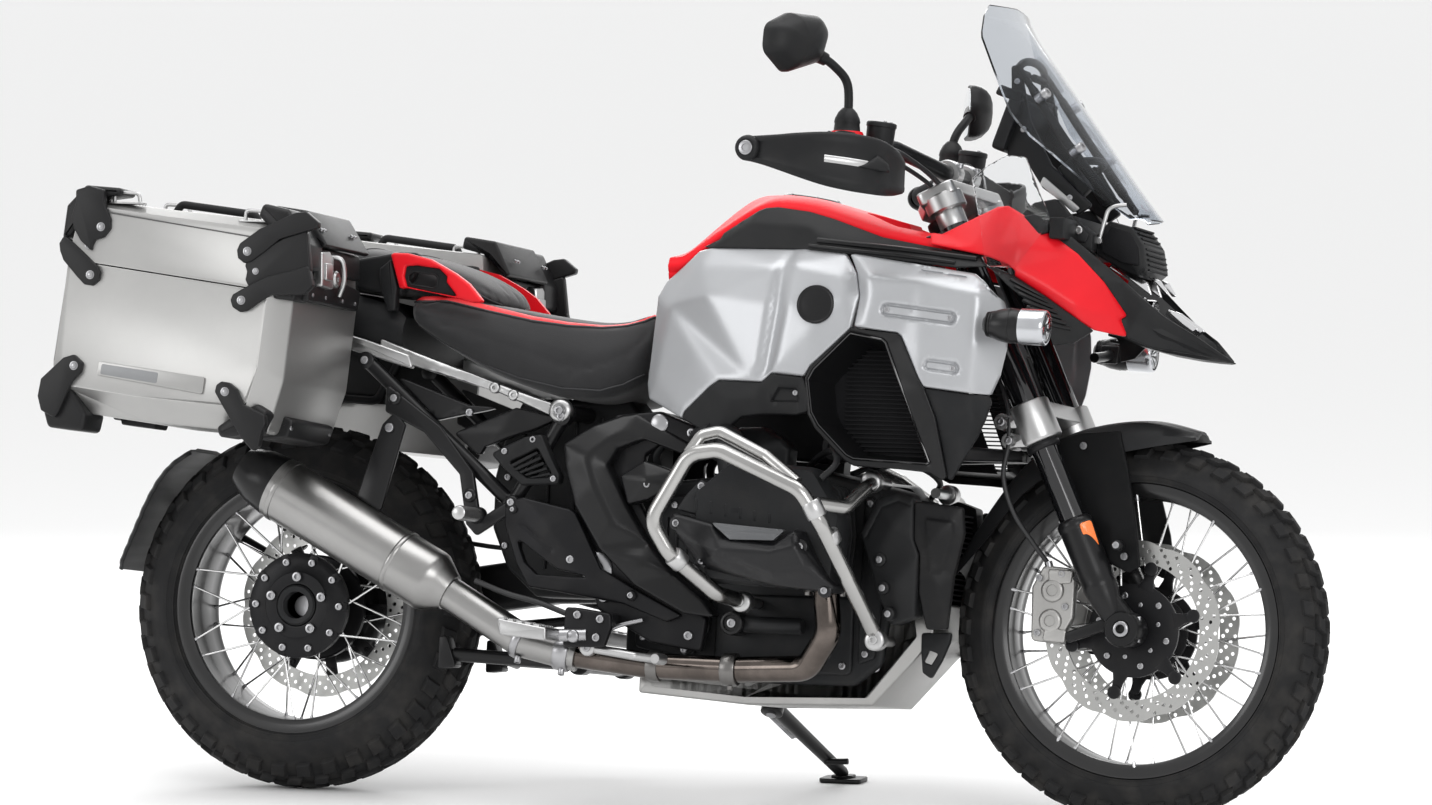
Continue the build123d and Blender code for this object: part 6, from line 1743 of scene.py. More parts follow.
    # lid guards
    guard(hi_g, [(182, 62), (182, 0), (250, -20), (320, 0), (318, 62), (352, 145), (350, 190), (318, 232), (275, 246), (262, 275), (258, 300), (205, 250), (172, 190), (160, 130)], 490, 7.0)
    rivet(hi_g, (298, 180), 497.5)
    rivet(hi_g, (236, 272), 492.5, 3.6)
    rear_top = [(-286 + shift, 934), (-240 + shift, 1004), (-196 + shift, 1010), (-196 + shift, 1022), (-262 + shift, 1026), (-296 + shift, 990), (-302 + shift, 930)]
    plate(hi_g, rounded(rear_top, 7, 3), sign * 484, sign * 410, edge=8, mi=0, segs=3)
    guard(hi_g, [(1256, 112), (1310, 106), (1372, 160), (1366, 186), (1180, 242), (1110, 300), (1040, 352), (1005, 360), (975, 335), (970, 296), (985, 262), (1080, 192)], 490, 7.0)
    rivet(hi_g, (1015, 300), 497.5)
    guard(hi_g, [(1030, 335), (1120, 280), (1200, 236), (1312, 200), (1330, 400), (1240, 420), (1124, 446), (1050, 474), (1022, 468), (1010, 440), (1018, 400), (1008, 368)], 488, 5.5, view=C31)
    rivet(hi_g, (1056, 398), 494.0, 3.6)
    ft = [(84 + shift, 958), (128 + shift, 884), (152 + shift + step * 0.4, 888), (150 + shift + step * 0.4, 930), (118 + shift, 990), (70 + shift, 1000), (62 + shift, 978)]
    plate(hi_g, rounded(ft, 9, 3), sign * 484, sign * 404, edge=9, mi=0, segs=3)
    band = [(60 + shift, 980), (112 + shift, 968), (148 + shift + step * 0.5, 930), (158 + shift + step * 0.5, 934), (124 + shift, 994), (64 + shift, 1002)]
    plate(hi_g, rounded(band, 6, 3), sign * 412, sign * 206, edge=5, mi=0, segs=3)
    f1 = plane_map((127 + shift + step * 0.6, sign * 330, 905), (1, 0, 0.05), up=(0, 0, 1))
    prism(hi_g, rounded([(-122, -18), (122, -18), (122, 26), (-122, 26)], 6, 3), f1, 0, 12, edge=3, mi=0, segs=3)
    for yy in (-84, -70, 60, 74):
        bolt(hi_g, (150 + shift, sign * (330 + yy), 962), (0.5, 0, 0.8), 3.4, 2.0, mi=1)
    # latch: a bright over-centre plate and a lock
    f2 = plane_map((140 + shift + step * 0.6, sign * 392, 892), (1, 0, 0.04), up=(0, 0, 1))
    prism(hi_g, rounded([(-26, -30), (26, -32), (30, 22), (10, 34), (-26, 30)], 6, 3), f2, -4, 12, edge=3, mi=2, segs=3)
    prism(hi_g, rounded([(-16, -18), (16, -18), (16, 12), (-16, 12)], 4, 3), f2, 10, 16, edge=2, mi=2, segs=3)
    turned(hi_g, (140 + shift + step * 0.6, sign * 340, 880), (1, 0, 0.04), [(-6, 0), (-6, 15), (8, 15), (11, 12), (11, 5), (8, 4.5), (8, 0)], n=28, mi=2, closed=False)
    tube(hi_g, smooth_line([(142 + shift + step * 0.6, sign * 352, 920), (158 + shift + step * 0.6, sign * 344, 912), (160 + shift + step * 0.6, sign * 334, 880), (150 + shift + step * 0.6, sign * 330, 852)], 5), 4.5, n=10, mi=2)
    make("case_%s_low_guards" % label, lo_g, ["case_guard", "bolt_steel"], body_name, (), 38)
    make("case_%s_high_guards" % label, hi_g, ["case_guard", "bolt_steel", "silver_alloy"], lid_body, (), 38)
    # hinge knuckles at the rear
    hx, hz = -308.0 + shift, seam_at(-308.0) + 1
    for y0, y1, b in ((236, 262, "box"), (338, 364, "box"), (264, 336, "top")):
        k = Mesh()
        turned(k, (hx, sign * y0, hz), (0, sign, 0), [(0, 0), (0, 5.4), (0.8, 6), (y1 - y0 - 0.8, 6), (y1 - y0, 5.4), (y1 - y0, 0)], n=24, mi=0, closed=False)
        if b == "top":
            plate(k, rounded([(hx - 5, hz + 1), (hx + 4, hz + 3), (hx + 14, hz + 5), (hx + 14, hz + 26), (hx - 2, hz + 24)], 3, 2), sign * y0, sign * y1, edge=1.5, mi=0)
        else:
            plate(k, rounded([(hx - 5, hz - 1), (hx - 4, hz - 26), (hx + 6, hz - 28), (hx + 8, hz - 6), (hx + 4, hz - 3)], 3, 2), sign * y0, sign * y1, edge=1.5, mi=0)
        make("case_%s_hinge_%s_%d" % (label, b, y0), k, ["case_guard"], body_name if b == "box" else lid_body, (), 38)


mat("case_label", (0.20, 0.205, 0.21), 0.45, metal=0.3, bump=0.1, bscale=1200)
# the pressed line's dark colour is painted shade of the groove, not a colour of the aluminium
mat("case_groove", (0.06, 0.06, 0.06), 0.6, bump=0.1)
mat("case_guard", (0.009, 0.009, 0.0095), 0.40, bump=0.25, bscale=1300, var=0.12, wear=0.2, spec=0.25)
case_parts("right", -1, 0.0, 14.0)
case_parts("left", 1, 118.0, -6.0)

# ---- seats --------------------------------------------------------------
from mathutils.bvhtree import BVHTree
mat("seat_stitch", (0.022, 0.022, 0.024), 0.55, bump=0.6, bscale=1500, var=0.2)
C33 = crop(255, 215, 320)
C34 = crop(700, 60, 300)


def seat_form(stations, n_side=5):
    """Rounded cross sections along x. Each row is x, top z, bottom z, half width at the top, the widest and the bottom."""
    secs = []
    for x, zt, zb, wt, ws, wb in stations:
        h = zt - zb
        half = [(0, zt + 5.0), (wt * 0.45, zt + 4.0), (wt * 0.82, zt + 1.0), (wt, zt - 4.5), (wt + 6, zt - 13), (ws - 4, zt - 0.34 * h), (ws, zt - 0.55 * h), (ws - 3, zb + 0.16 * h), (wb, zb + 4), (wb - 14, zb), (wb * 0.5, zb - 1), (0, zb - 1)]
        secs.append([(x, -y, z) for y, z in half] + [(x, y, z) for y, z in reversed(half[1:-1])])
    m = Mesh()
    loft(m, secs, caps=True, closed=True)
    return m


def cushion(name, m, mats, replaces, fill, cap_mm, voxel=0.0068):
    """A padded piece: the form is remeshed, swollen as cloth under pressure, and the swelling is limited."""
    ob = make(name, m, mats, "root", replaces, 0)
    # one round of subdivision rounds the form before the cover swells
    sub = ob.modifiers.new("round", "SUBSURF")
    sub.levels = sub.render_levels = 2
    dg = bpy.context.evaluated_depsgraph_get()
    me = bpy.data.meshes.new_from_object(ob.evaluated_get(dg))
    ob.modifiers.clear()
    old = ob.data
    ob.data = me
    if not QUICK:
        rm = ob.modifiers.new("remesh", "REMESH")
        rm.mode, rm.voxel_size = "VOXEL", voxel
        dg = bpy.context.evaluated_depsgraph_get()
        me2 = bpy.data.meshes.new_from_object(ob.evaluated_get(dg))
        ob.modifiers.clear()
        ob.data = me2
        base = np.empty(len(me2.vertices) * 3)
        me2.vertices.foreach_get("co", base)
        base = base.reshape(-1, 3)
        tmp = bpy.data.objects.new(name + "_work", me2.copy())
        bpy.context.scene.collection.objects.link(tmp)
        low = base[:, 2].min()
        grp = tmp.vertex_groups.new(name="base")
        # the base that rests on the frame does not swell
        inv = np.array([(p[1] - SHIFT[1] / 1000) * -SL + 0 for p in base])
        up_z = base[:, 1] * SL + base[:, 2] * CL
        zmin, zmax = up_z.min(), up_z.max()
        nrm = np.empty(len(me2.vertices) * 3)
        me2.vertices.foreach_get("normal", nrm)
        nrm = nrm.reshape(-1, 3)
        down = (nrm[:, 1] * SL + nrm[:, 2] * CL) < -0.5
        grp.add([int(i) for i in np.nonzero(down)[0]], 1.0, "REPLACE")
        cl = tmp.modifiers.new("cloth", "CLOTH")
        st = cl.settings
        st.use_pressure = True
        st.uniform_pressure_force = 4.0
        st.quality = 5
        st.tension_stiffness = st.compression_stiffness = 20
        st.bending_stiffness = 4.0
        st.effector_weights.gravity = 0.0
        st.vertex_group_mass = "base"
        cl.point_cache.frame_start, cl.point_cache.frame_end = 1, 20
        sc = bpy.context.scene
        for f in range(1, 21):
            sc.frame_set(f)
        dg = bpy.context.evaluated_depsgraph_get()
        ev = tmp.evaluated_get(dg)
        sim = np.empty(len(ev.data.vertices) * 3)
        ev.data.vertices.foreach_get("co", sim)
        sim = sim.reshape(-1, 3)
        if len(sim) == len(base):
            d = sim - base
            L = np.linalg.norm(d, axis=1)
            k = np.where(L > cap_mm / 1000, cap_mm / 1000 / np.maximum(L, 1e-9), 1.0)
            me2.vertices.foreach_set("co", (base + d * k[:, None]).ravel())
            me2.update()
        bpy.data.objects.remove(tmp)
        sc.frame_set(1)
        for mn in mats:
            if MATS[mn].name not in [s.name for s in me2.materials if s]:
                me2.materials.append(MATS[mn])
    ob.data.polygons.foreach_set("use_smooth", [True] * len(ob.data.polygons))
    if not QUICK:
        sub = ob.modifiers.new("round", "SUBSURF")
        sub.levels = sub.render_levels = 1
    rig.padded(ob, fill=fill)
    return ob


def tree_of(ob):
    """The surface of a finished piece in the upright frame, in millimetres."""
    n = len(ob.data.vertices)
    co = np.empty(n * 3)
    ob.data.vertices.foreach_get("co", co)
    co = co.reshape(-1, 3) * 1000 - np.array(SHIFT)
    up = np.stack([co[:, 0], co[:, 1] * CL - co[:, 2] * SL, co[:, 1] * SL + co[:, 2] * CL], axis=1)
    return BVHTree.FromPolygons([tuple(p) for p in up], [tuple(p.vertices) for p in ob.data.polygons])


def on_side(tree, pts, side, off, spare=None):
    """Each (x, z) point moved sideways onto the surface, standing off by off."""
    out = []
    last = None
    for x, z in pts:
        hit = None
        for dz in (0, -2, -4, -7, -10, 3, -14, -18):
            h = tree.ray_cast(Vector((x, side * 400.0, z + dz)), Vector((0, -side, 0)))
            if h[0] is not None:
                hit = h
                break
        if hit is None:
            if last is None:
                continue
            out.append(Vector((x, last, z)))
            continue
        p = hit[0]
        n = hit[1] if hit[1].dot(Vector((0, side, 0))) > 0 else -hit[1]
        q = Vector(p) + n * off
        last = q.y
        out.append(q)
    return out


def ribbon(m, tree, upper, lower, side, off=1.6, step=9.0, mi=0, rows=4):
    """A sewn strip that lies on the surface between two lines."""
    a = resample(upper, step, closed=False)
    n = len(a)
    L = np.array(lower, float)
    seg = np.r_[0, np.cumsum(np.hypot(*np.diff(L, axis=0).T))]
    U = np.array(upper, float)
    segu = np.r_[0, np.cumsum(np.hypot(*np.diff(U, axis=0).T))]
    grid = []
    for j in range(rows + 1):
        t = j / rows
        line = []
        for i in range(n):
            s = i / (n - 1)
            pu = (np.interp(s * segu[-1], segu, U[:, 0]), np.interp(s * segu[-1], segu, U[:, 1]))
            pl = (np.interp(s * seg[-1], seg, L[:, 0]), np.interp(s * seg[-1], seg, L[:, 1]))
            line.append((pu[0] * (1 - t) + pl[0] * t, pu[1] * (1 - t) + pl[1] * t))
        grid.append(line)
    top = [on_side(tree, line, side, off * (0.25 if j in (0, rows) else 1.0)) for j, line in enumerate(grid)]
    bot = [on_side(tree, line, side, -2.0) for line in grid]
    k = min(min(len(r) for r in top), min(len(r) for r in bot))
    o = len(m.v)
    vs = [p for r in top for p in r[:k]] + [p for r in bot for p in r[:k]]
    N = (rows + 1) * k
    fs = []
    for j in range(rows):
        for i in range(k - 1):
            q = j * k + i
            fs.append([q, q + 1, q + k + 1, q + k])
            fs.append([N + q, N + q + k, N + q + k + 1, N + q + 1])
    for i in range(k - 1):
        fs.append([i, N + i, N + i + 1, i + 1])
        q = rows * k + i
        fs.append([q, q + 1, N + q + 1, N + q])
    for j in range(rows):
        q = j * k
        fs.append([q, q + k, N + q + k, N + q])
        q = j * k + k - 1
        fs.append([q, N + q, N + q + k, q + k])
    m.add(vs, fs, mi)


rider = seat_form([(216, 872, 832, 152, 172, 150), (250, 866, 806, 156, 178, 158), (300, 859, 776, 160, 183, 162), (373, 848, 738, 162, 188, 166), (440, 838, 714, 160, 188, 166), (510, 828, 696, 154, 184, 164),
                   (570, 823, 690, 144, 176, 158), (610, 828, 700, 124, 160, 146), (640, 840, 718, 104, 136, 128), (662, 846, 742, 90, 112, 108), (673, 836, 770, 80, 96, 92)])
seat = cushion("seat_rider", rider, ["seat_cover"], ("rider_seat",), 0.75, 6.0)
t_seat = tree_of(seat)
m = Mesh()
for s in (-1, 1):
    up_l = see(C27([(0, 250), (200, 297), (400, 346), (560, 372), (700, 382), (800, 372), (870, 347), (905, 326), (945, 322)]), -168)
    lo_l = see(C27([(0, 278), (200, 326), (400, 370), (560, 392), (700, 398), (800, 386), (870, 362), (905, 341), (938, 345)]), -176)
    up_l = [(222, 868)] + [p for p in up_l if p[0] > 230]
    lo_l = [(222, 856)] + [p for p in lo_l if p[0] > 230]
    ribbon(m, t_seat, up_l, lo_l, s, off=2.0)
    fr_u = [(658, 846), (666, 843), (674, 838)]
    line = on_side(t_seat, resample(lo_l, 10, closed=False), s, 1.2)
    tube(m, line, 2.2, n=8, mi=1)
make("seat_piping", m, ["seat_red", "seat_stitch"], sharp=60)
# lower seam round the cover's skirt
m = Mesh()
for s in (-1, 1):
    sk = [(232, 822), (300, 784), (373, 750), (440, 728), (519, 712), (585, 710), (620, 722), (650, 742)]
    tube(m, on_side(t_seat, resample(sk, 10, closed=False), s, 0.6), 1.6, n=8, mi=0)
make("seat_skirt_seam", m, ["seat_stitch"], sharp=60)

pill = seat_form([(-70, 950, 906, 100, 122, 104), (-20, 952, 896, 112, 134, 116), (60, 950, 884, 120, 144, 126), (140, 946, 876, 124, 148, 130), (210, 940, 874, 122, 146, 128), (270, 926, 868, 116, 140, 124), (330, 900, 862, 104, 126, 112), (366, 878, 858, 92, 112, 100)])
pseat = cushion("seat_passenger", pill, ["seat_cover"], ("passenger_seat",), 0.7, 6.0)
t_p = tree_of(pseat)
m = Mesh()
for s in (-1, 1):
    up_l = [(-60, 946), (60, 945), (140, 941), (210, 934), (270, 918), (330, 892), (358, 874)]
    tube(m, on_side(t_p, resample([(x, z - 12) for x, z in up_l], 10, closed=False), s, 0.8), 2.0, n=8, mi=0)
for x in (20, 110, 200):
    pts = []
    for y in range(-110, 111, 10):
        h = t_p.ray_cast(Vector((x, y, 1100)), Vector((0, 0, -1)))
        if h[0] is not None:
            pts.append(Vector(h[0]) + Vector((0, 0, 0.4)))
    if len(pts) > 3:
        tube(m, pts, 1.6, n=8, mi=0)
make("passenger_seams", m, ["seat_stitch"], sharp=60)

# ---- grab handles, rack, tail -------------------------------------------
mat("plate_blank", (0.62, 0.62, 0.60), 0.45, bump=0.1, var=0.04)
# right handle traced on the view: a red outer band, a dark pad with a slot
hkeys = [(662, 192, 176), (680, 184, 176), (745, 186, 176), (860, 216, 178), (980, 285, 180), (1045, 335, 181), (1120, 428, 182), (1060, 428, 182), (985, 408, 182), (860, 380, 181), (735, 356, 180), (706, 360, 178), (690, 300, 177)]
f = Facets([(a, b, c) for a, b, c in hkeys], [], soft=3.0, view=C33)
m = Mesh()
hole_px = [(738, 250), (790, 246), (900, 262), (938, 300), (936, 330), (990, 400), (860, 376), (740, 350), (728, 300)]
hole = rounded(see_on(C33(hole_px), f), 3, 3)
skin(m, rounded(f.xz[:13], 5, 3), f, thick=10.0, edge=4.5, res=6.0, holes=[hole], step=3.0)
twins("handle_band", m, "red_paint", replaces=("grab_handles",))
pk = Facets([(a, b, 172) for a, b in hole_px], [], soft=2.0, view=C33)
m = Mesh()
slot = rounded(see(C33([(752, 292), (775, 276), (880, 290), (896, 306), (890, 350), (872, 360), (765, 342), (750, 322)]), -172), 3, 3)
skin(m, rounded(inset(pk.xz, -1.5), 3, 2), pk, thick=9.0, edge=2.0, res=6.0, holes=[slot], step=3.0)
rim = resample(slot, 5)
tube(m, [(x, -171.0, z) for x, z in rim + rim[:1]], 1.8, n=8, mi=0, caps=False)
# foot of the handle that runs down behind the seat
plate(m, rounded(see(C33([(612, 262), (640, 240), (668, 215), (700, 352), (694, 400), (690, 470), (650, 470), (628, 400), (610, 300)]), -168), 5, 3), -172, -150, edge=4, mi=0)
plate(m, rounded([(120, 930), (200, 944), (236, 944), (230, 900), (200, 866), (120, 880)], 8, 3), -158, -132, edge=5, mi=0)
twins("handle_pad", m, "black_plastic")

# luggage rack: a plate with slots on legs
m = Mesh()
for x0, x1, y0, y1 in ((-236, -216, -120, 120), (-108, -80, -120, 120)):
    plate(m, rounded([(x0, 946), (x1, 946), (x1, 958), (x0, 958)], 2, 2), y0, y1, edge=3, mi=0)
for y0, y1 in ((-120, -97), (-63, -49), (-15, 15), (49, 63), (97, 120)):
    plate(m, rounded([(-232, 947), (-84, 947), (-84, 958), (-232, 958)], 2, 2), y0, y1, edge=3, mi=0)
for y in (-112, 96):
    plate(m, rounded([(-204, 946), (-184, 880), (-158, 880), (-168, 946)], 4, 3), y, y + 16, edge=3, mi=0)
for x in (-226, -94):
    for y in (-66, 66):
        ring_p = [(0.2, 3.3), (0.2, 8), (1.2, 8), (1.8, 7), (1.8, 3.3)]
        turned(m, (x, y, 957.5), (0, 0, 1), ring_p, n=24, mi=1)
make("rack_plate", m, ["black_alloy", "bolt_steel"], replaces=("luggage_rack",), sharp=40)

# tail cover
m = Mesh()
secs = []
for x, w1, z1, w2, z2, w3, z3 in [(-252, 62, 848, 80, 862, 62, 880), (-200, 84, 838, 104, 860, 84, 884), (-130, 104, 830, 124, 856, 104, 888), (-60, 118, 812, 140, 846, 118, 892), (0, 128, 792, 150, 832, 128, 884), (100, 136, 766, 160, 812, 138, 872), (186, 140, 750, 164, 800, 144, 852), (214, 142, 744, 162, 796, 146, 830)]:
    secs.append([(x, -w1, z1), (x, -w2, z2), (x, -w2 + 3, (z2 + z3) / 2), (x, -w3, z3), (x, 0, z3 + 4), (x, w3, z3), (x, w2 - 3, (z2 + z3) / 2), (x, w2, z2), (x, w1, z1), (x, w1 * 0.5, z1 + 14), (x, -w1 * 0.5, z1 + 14)])
loft(m, secs, caps=True, closed=True)
# number plate carrier, lamp arms
arm = [(-236, 846), (-170, 836), (-262, 762), (-318, 650), (-330, 652), (-286, 760)]
plate(m, rounded(arm, 8, 3), -34, 34, edge=5, mi=0)
to = plane_map((-338, 0, 712), (-0.97, 0, 0.24))
prism(m, rounded([(-92, -74), (92, -74), (92, 74), (-92, 74)], 9, 4), to, -3, 3, edge=2, mi=0)
prism(m, rounded([(-78, -60), (78, -60), (78, 58), (-78, 58)], 6, 3), to, 2, 4.2, edge=0.8, mi=2)
for y in (-60, 60):
    bolt(m, to(y, 40, 4), (-0.97, 0, 0.24), 4.5, 2, mi=1)
for s in (-1, 1):
    tube(m, smooth_line([(-296, 0, 800), (-300, s * 60, 800), (-302, s * 108, 798)], 4), 7.5, n=12, mi=0)
    turned(m, (-318, s * 128, 798), (1, 0, 0), [(0, 0), (1, 12), (5, 19), (10, 21), (30, 18), (40, 8), (42, 0)], n=32, mi=3, closed=False)
make("tail_shell", m, ["black_plastic", "bolt_steel", "plate_blank", "orange_lens"], replaces=("tail_cover",), sharp=40)
m = Mesh()
secs = []
for x, w, z0, z1 in [(-248, 64, 846, 880), (-262, 62, 848, 879), (-272, 58, 851, 877), (-277, 50, 855, 873)]:
    pts = rounded([(-w, z0), (w, z0), (w - 4, z1), (-w + 4, z1)], 8, 4)
    secs.append([(x, y, z) for y, z in pts])
loft(m, secs, caps=True, closed=True)
make("tail_light", m, "red_lens", replaces=("tail_lamp",), sharp=50)

# ---- engine ---------------------------------------------------------------
AXD = Vector((-0.4415, 0, 0.8973))
mat("hose", (0.012, 0.012, 0.013), 0.42, bump=0.3, bscale=1200)
m = Mesh()
# crankcase
case_line = [(640, 252), (640, 430), (700, 556), (960, 588), (1088, 558), (1128, 420), (1108, 252), (1060, 214), (700, 214)]
plate(m, rounded(case_line, 26, 5), -128, 128, edge=9, mi=0, segs=3)
for s in (-1, 1):
    def pl(poly, y0, y1, r=8, edge=3, mi=0):
        plate(m, rounded(poly, r, 4), min(s * y0, s * y1), max(s * y0, s * y1), edge=edge, mi=mi, segs=3)
    pl([(660, 268), (660, 420), (716, 530), (796, 540), (796, 300), (760, 250)], 124, 138, 14, 5)
    pl([(1066, 250), (1096, 262), (1114, 410), (1084, 540), (1066, 540)], 124, 137, 8, 5)
    pl([(806, 232), (1056, 232), (1056, 366), (806, 366)], 124, 137, 14, 5)
    for x, z in ((676, 286), (676, 414), (724, 516), (782, 526), (782, 310), (752, 266), (1080, 270), (1100, 400), (1078, 528), (826, 248), (936, 248), (1040, 248)):
        bolt(m, (x, s * 137, z), (0, s, 0), 6, 4, mi=1)
    for i in range(5):
        pl([(690 + i * 18, 320), (697 + i * 18, 320), (697 + i * 18, 500), (690 + i * 18, 480)], 136, 141, 2, 1.5)
    # barrel with fins
    for i in range(9):
        y = 146 + i * 11.5
        g = 10 if i % 2 else 0
        pl([(826 + g, 392 + g), (1052 - g, 386 + g), (1060 - g, 470), (1048 - g, 556 - g), (836 + g, 556 - g), (816 + g, 470)], y, y + 4.4, 22, 1.4)
    pl([(846, 412), (1034, 406), (1040, 470), (1030, 538), (852, 538), (838, 470)], 124, 252, 24, 3)
    for x, z in ((862, 424), (1022, 420), (1020, 526), (866, 526)):
        turned(m, (x, s * 128, z), (0, s, 0), [(0, 0), (0, 13), (122, 13), (122, 0)], n=24, mi=0, closed=False)
    # cast head between the barrel and the covers
    sec = []
    for y, k in ((250, 0), (262, 5), (300, 6), (318, -2)):
        pts = rounded([(828 - k, 436), (850 - k, 384 - k), (1070 + k, 376 - k), (1080 + k, 500), (1030, 574 + k), (884, 584 + k), (820 - k, 530)], 16, 4)
        sec.append([(x, s * y, z) for x, z in pts])
    loft(m, sec, mi=0, caps=True)
    # intake stub and throttle body that run up behind the head
    tube(m, fillet([(872, s * 268, 566), (858, s * 250, 610), (806, s * 200, 634), (776, s * 160, 628)], 34, 5), 25, n=24, mi=2)
    turned(m, (852, s * 243, 616), (-0.6, -s * 0.66, 0.25), [(0, 0), (0, 31), (6, 34), (16, 34), (22, 31), (22, 0)], n=36, mi=2, closed=False)
    turned(m, (826, s * 219, 628), (-0.72, -s * 0.66, 0.1), [(0, 0), (0, 33), (30, 33), (34, 29), (34, 0)], n=36, mi=0, closed=False)
    # ignition lead and its plug cap
    tube(m, smooth_line([(1046, s * 318, 560), (1066, s * 300, 588), (1040, s * 240, 612), (990, s * 160, 606), (960, s * 120, 590)], 6), 5.5, n=12, mi=2)
    tube(m, smooth_line([(700, s * 130, 560), (690, s * 150, 600), (730, s * 158, 640), (790, s * 150, 654)], 6), 8, n=14, mi=2)
make("crankcase", m, ["engine_metal", "bolt_steel", "black_plastic"], replaces=("engine_block",), sharp=40)

# head cover traced on the view
hk = [(130, 560, 318), (300, 606, 352), (350, 668, 360), (560, 688, 360), (650, 634, 350), (690, 640, 336), (742, 760, 340), (822, 880, 326), (800, 902, 318), (560, 874, 326), (250, 792, 326), (138, 640, 318),
      (330, 716, 371), (545, 728, 374), (655, 700, 366), (712, 812, 352), (560, 822, 356), (300, 756, 358), (214, 668, 346)]
f = Facets(hk, [], soft=2.0, view=C29)
out = rounded(f.xz[:12], 7, 4)
m = Mesh()
skin(m, out, f, thick=66.0, edge=8.0, res=8.0, step=4.0, raised=[(rounded([f.xz[12], f.xz[13], f.xz[14], f.xz[15], f.xz[16], f.xz[17], f.xz[18]], 8, 3), 2.5, 5.0)])
for u, v, y, r in ((155, 607, 322, 8.5), (680, 707, 348, 9), (783, 893, 322, 8.5), (262, 770, 330, 7)):
    (x, z), = see(C29([(u, v)]), -y)
    turned(m, (x, -y + 5, z), (0, -1, 0), [(0, 0), (0, r + 4), (7, r + 3.4), (8.5, r + 1), (8.5, 0)], n=30, mi=0, closed=False)
    bolt(m, (x, -y - 3, z), (0, -1, 0), r * 0.72, 4.5, mi=1)
twins("head_cover", m, ["head_cover", "bolt_steel"], replaces=("head_covers",))
ik = [(296, 602, 354), (614, 634, 356), (562, 680, 365), (378, 676, 365), (420, 640, 362)]
f = Facets(ik, [], soft=1.0, view=C29)
m = Mesh()
skin(m, rounded(f.xz[:4], 3, 3), f, thick=10.0, edge=2.0, res=6.0, step=3.0, grooves=[([tuple(p) for p in see(C29([(330, 640), (600, 652)]), -360)], 1.0, 2.4)])
twins("head_insert", m, "cover_insert")
# upper cast ledge over the cover and the silver bridge bar
uk = [(196, 482, 300), (258, 418, 290), (332, 468, 300), (480, 508, 306), (664, 566, 306), (648, 618, 312), (300, 590, 314), (150, 548, 306), (400, 548, 320)]
f = Facets(uk, [], soft=2.0, view=C29)
m = Mesh()
skin(m, rounded(f.xz[:8], 5, 3), f, thick=34.0, edge=5.0, res=7.0, step=4.0, mi=0)
for u, v in ((262, 450), (440, 524), (610, 580)):
    (x, z), = see(C29([(u, v)]), -306)
    bolt(m, (x, -306, z), (0, -1, 0), 6.5, 5, mi=1)
for i in range(6):
    a = see(C29([(240 + i * 62, 500 + i * 13), (252 + i * 62, 503 + i * 13), (252 + i * 62, 560 + i * 10), (240 + i * 62, 557 + i * 10)]), -308)
    plate(m, rounded(a, 1.5, 2), -319, -300, edge=1.5, mi=0)
twins("head_ledge", m, ["engine_metal", "bolt_steel"])
bk = [(556, 398, 232), (640, 438, 236), (800, 498, 236), (852, 568, 230), (792, 582, 230), (640, 482, 234), (590, 452, 232)]
f = Facets(bk, [], soft=2.0, view=C29)
m = Mesh()
skin(m, rounded(f.xz, 6, 3), f, thick=16.0, edge=4.0, res=7.0, step=3.0)
twins("upper_bar", m, "silver_alloy")
ck = [(380, 232, 176), (420, 200, 170), (520, 198, 174), (600, 248, 178), (636, 290, 176), (622, 412, 178), (540, 392, 182), (420, 340, 180), (500, 290, 190)]
f = Facets(ck, [], soft=3.0, view=C29)
m = Mesh()
skin(m, rounded(f.xz[:8], 8, 4), f, thick=36.0, edge=7.0, res=7.0, step=4.0)
twins("intake_casting", m, "engine_metal")

# exhaust header: flange, silver pipe, clamp
mat("clamp_steel", (0.16, 0.155, 0.15), 0.32, metal=1.0, bump=0.08, bscale=500)
m = Mesh()
line = fillet([(1036, -240, 392), (1046, -238, 300), (1000, -208, 240), (860, -186, 234), (700, -166, 236), (568, -166, 250), (520, -168, 258)], 46, 10)
tube(m, line, 22.5, n=36, mi=0)
turned(m, (1037, -240, 372), (-0.08, 0, 1), [(0, 22), (0, 36), (3, 38), (11, 38), (14, 35), (14, 22)], n=40, mi=1)
for s in (-1, 1):
    bolt(m, (1037 + s * 31, -240, 372), (0, 0, -1), 6, 8, mi=1)
turned(m, (842, -186, 234), (1, 0, 0), [(0, 23), (0, 27), (2, 28.5), (24, 28.5), (26, 27), (26, 23)], n=40, mi=1)
bolt(m, (855, -186, 208), (0, 0, -1), 5, 9, mi=1)
turned(m, (700, -166, 236), (1, 0, -0.02), [(0, 22), (0, 26), (2, 27), (18, 27), (20, 26), (20, 22)], n=40, mi=1)
make("header_pipe", m, ["header_steel", "clamp_steel"], replaces=("exhaust_headers",), sharp=45)

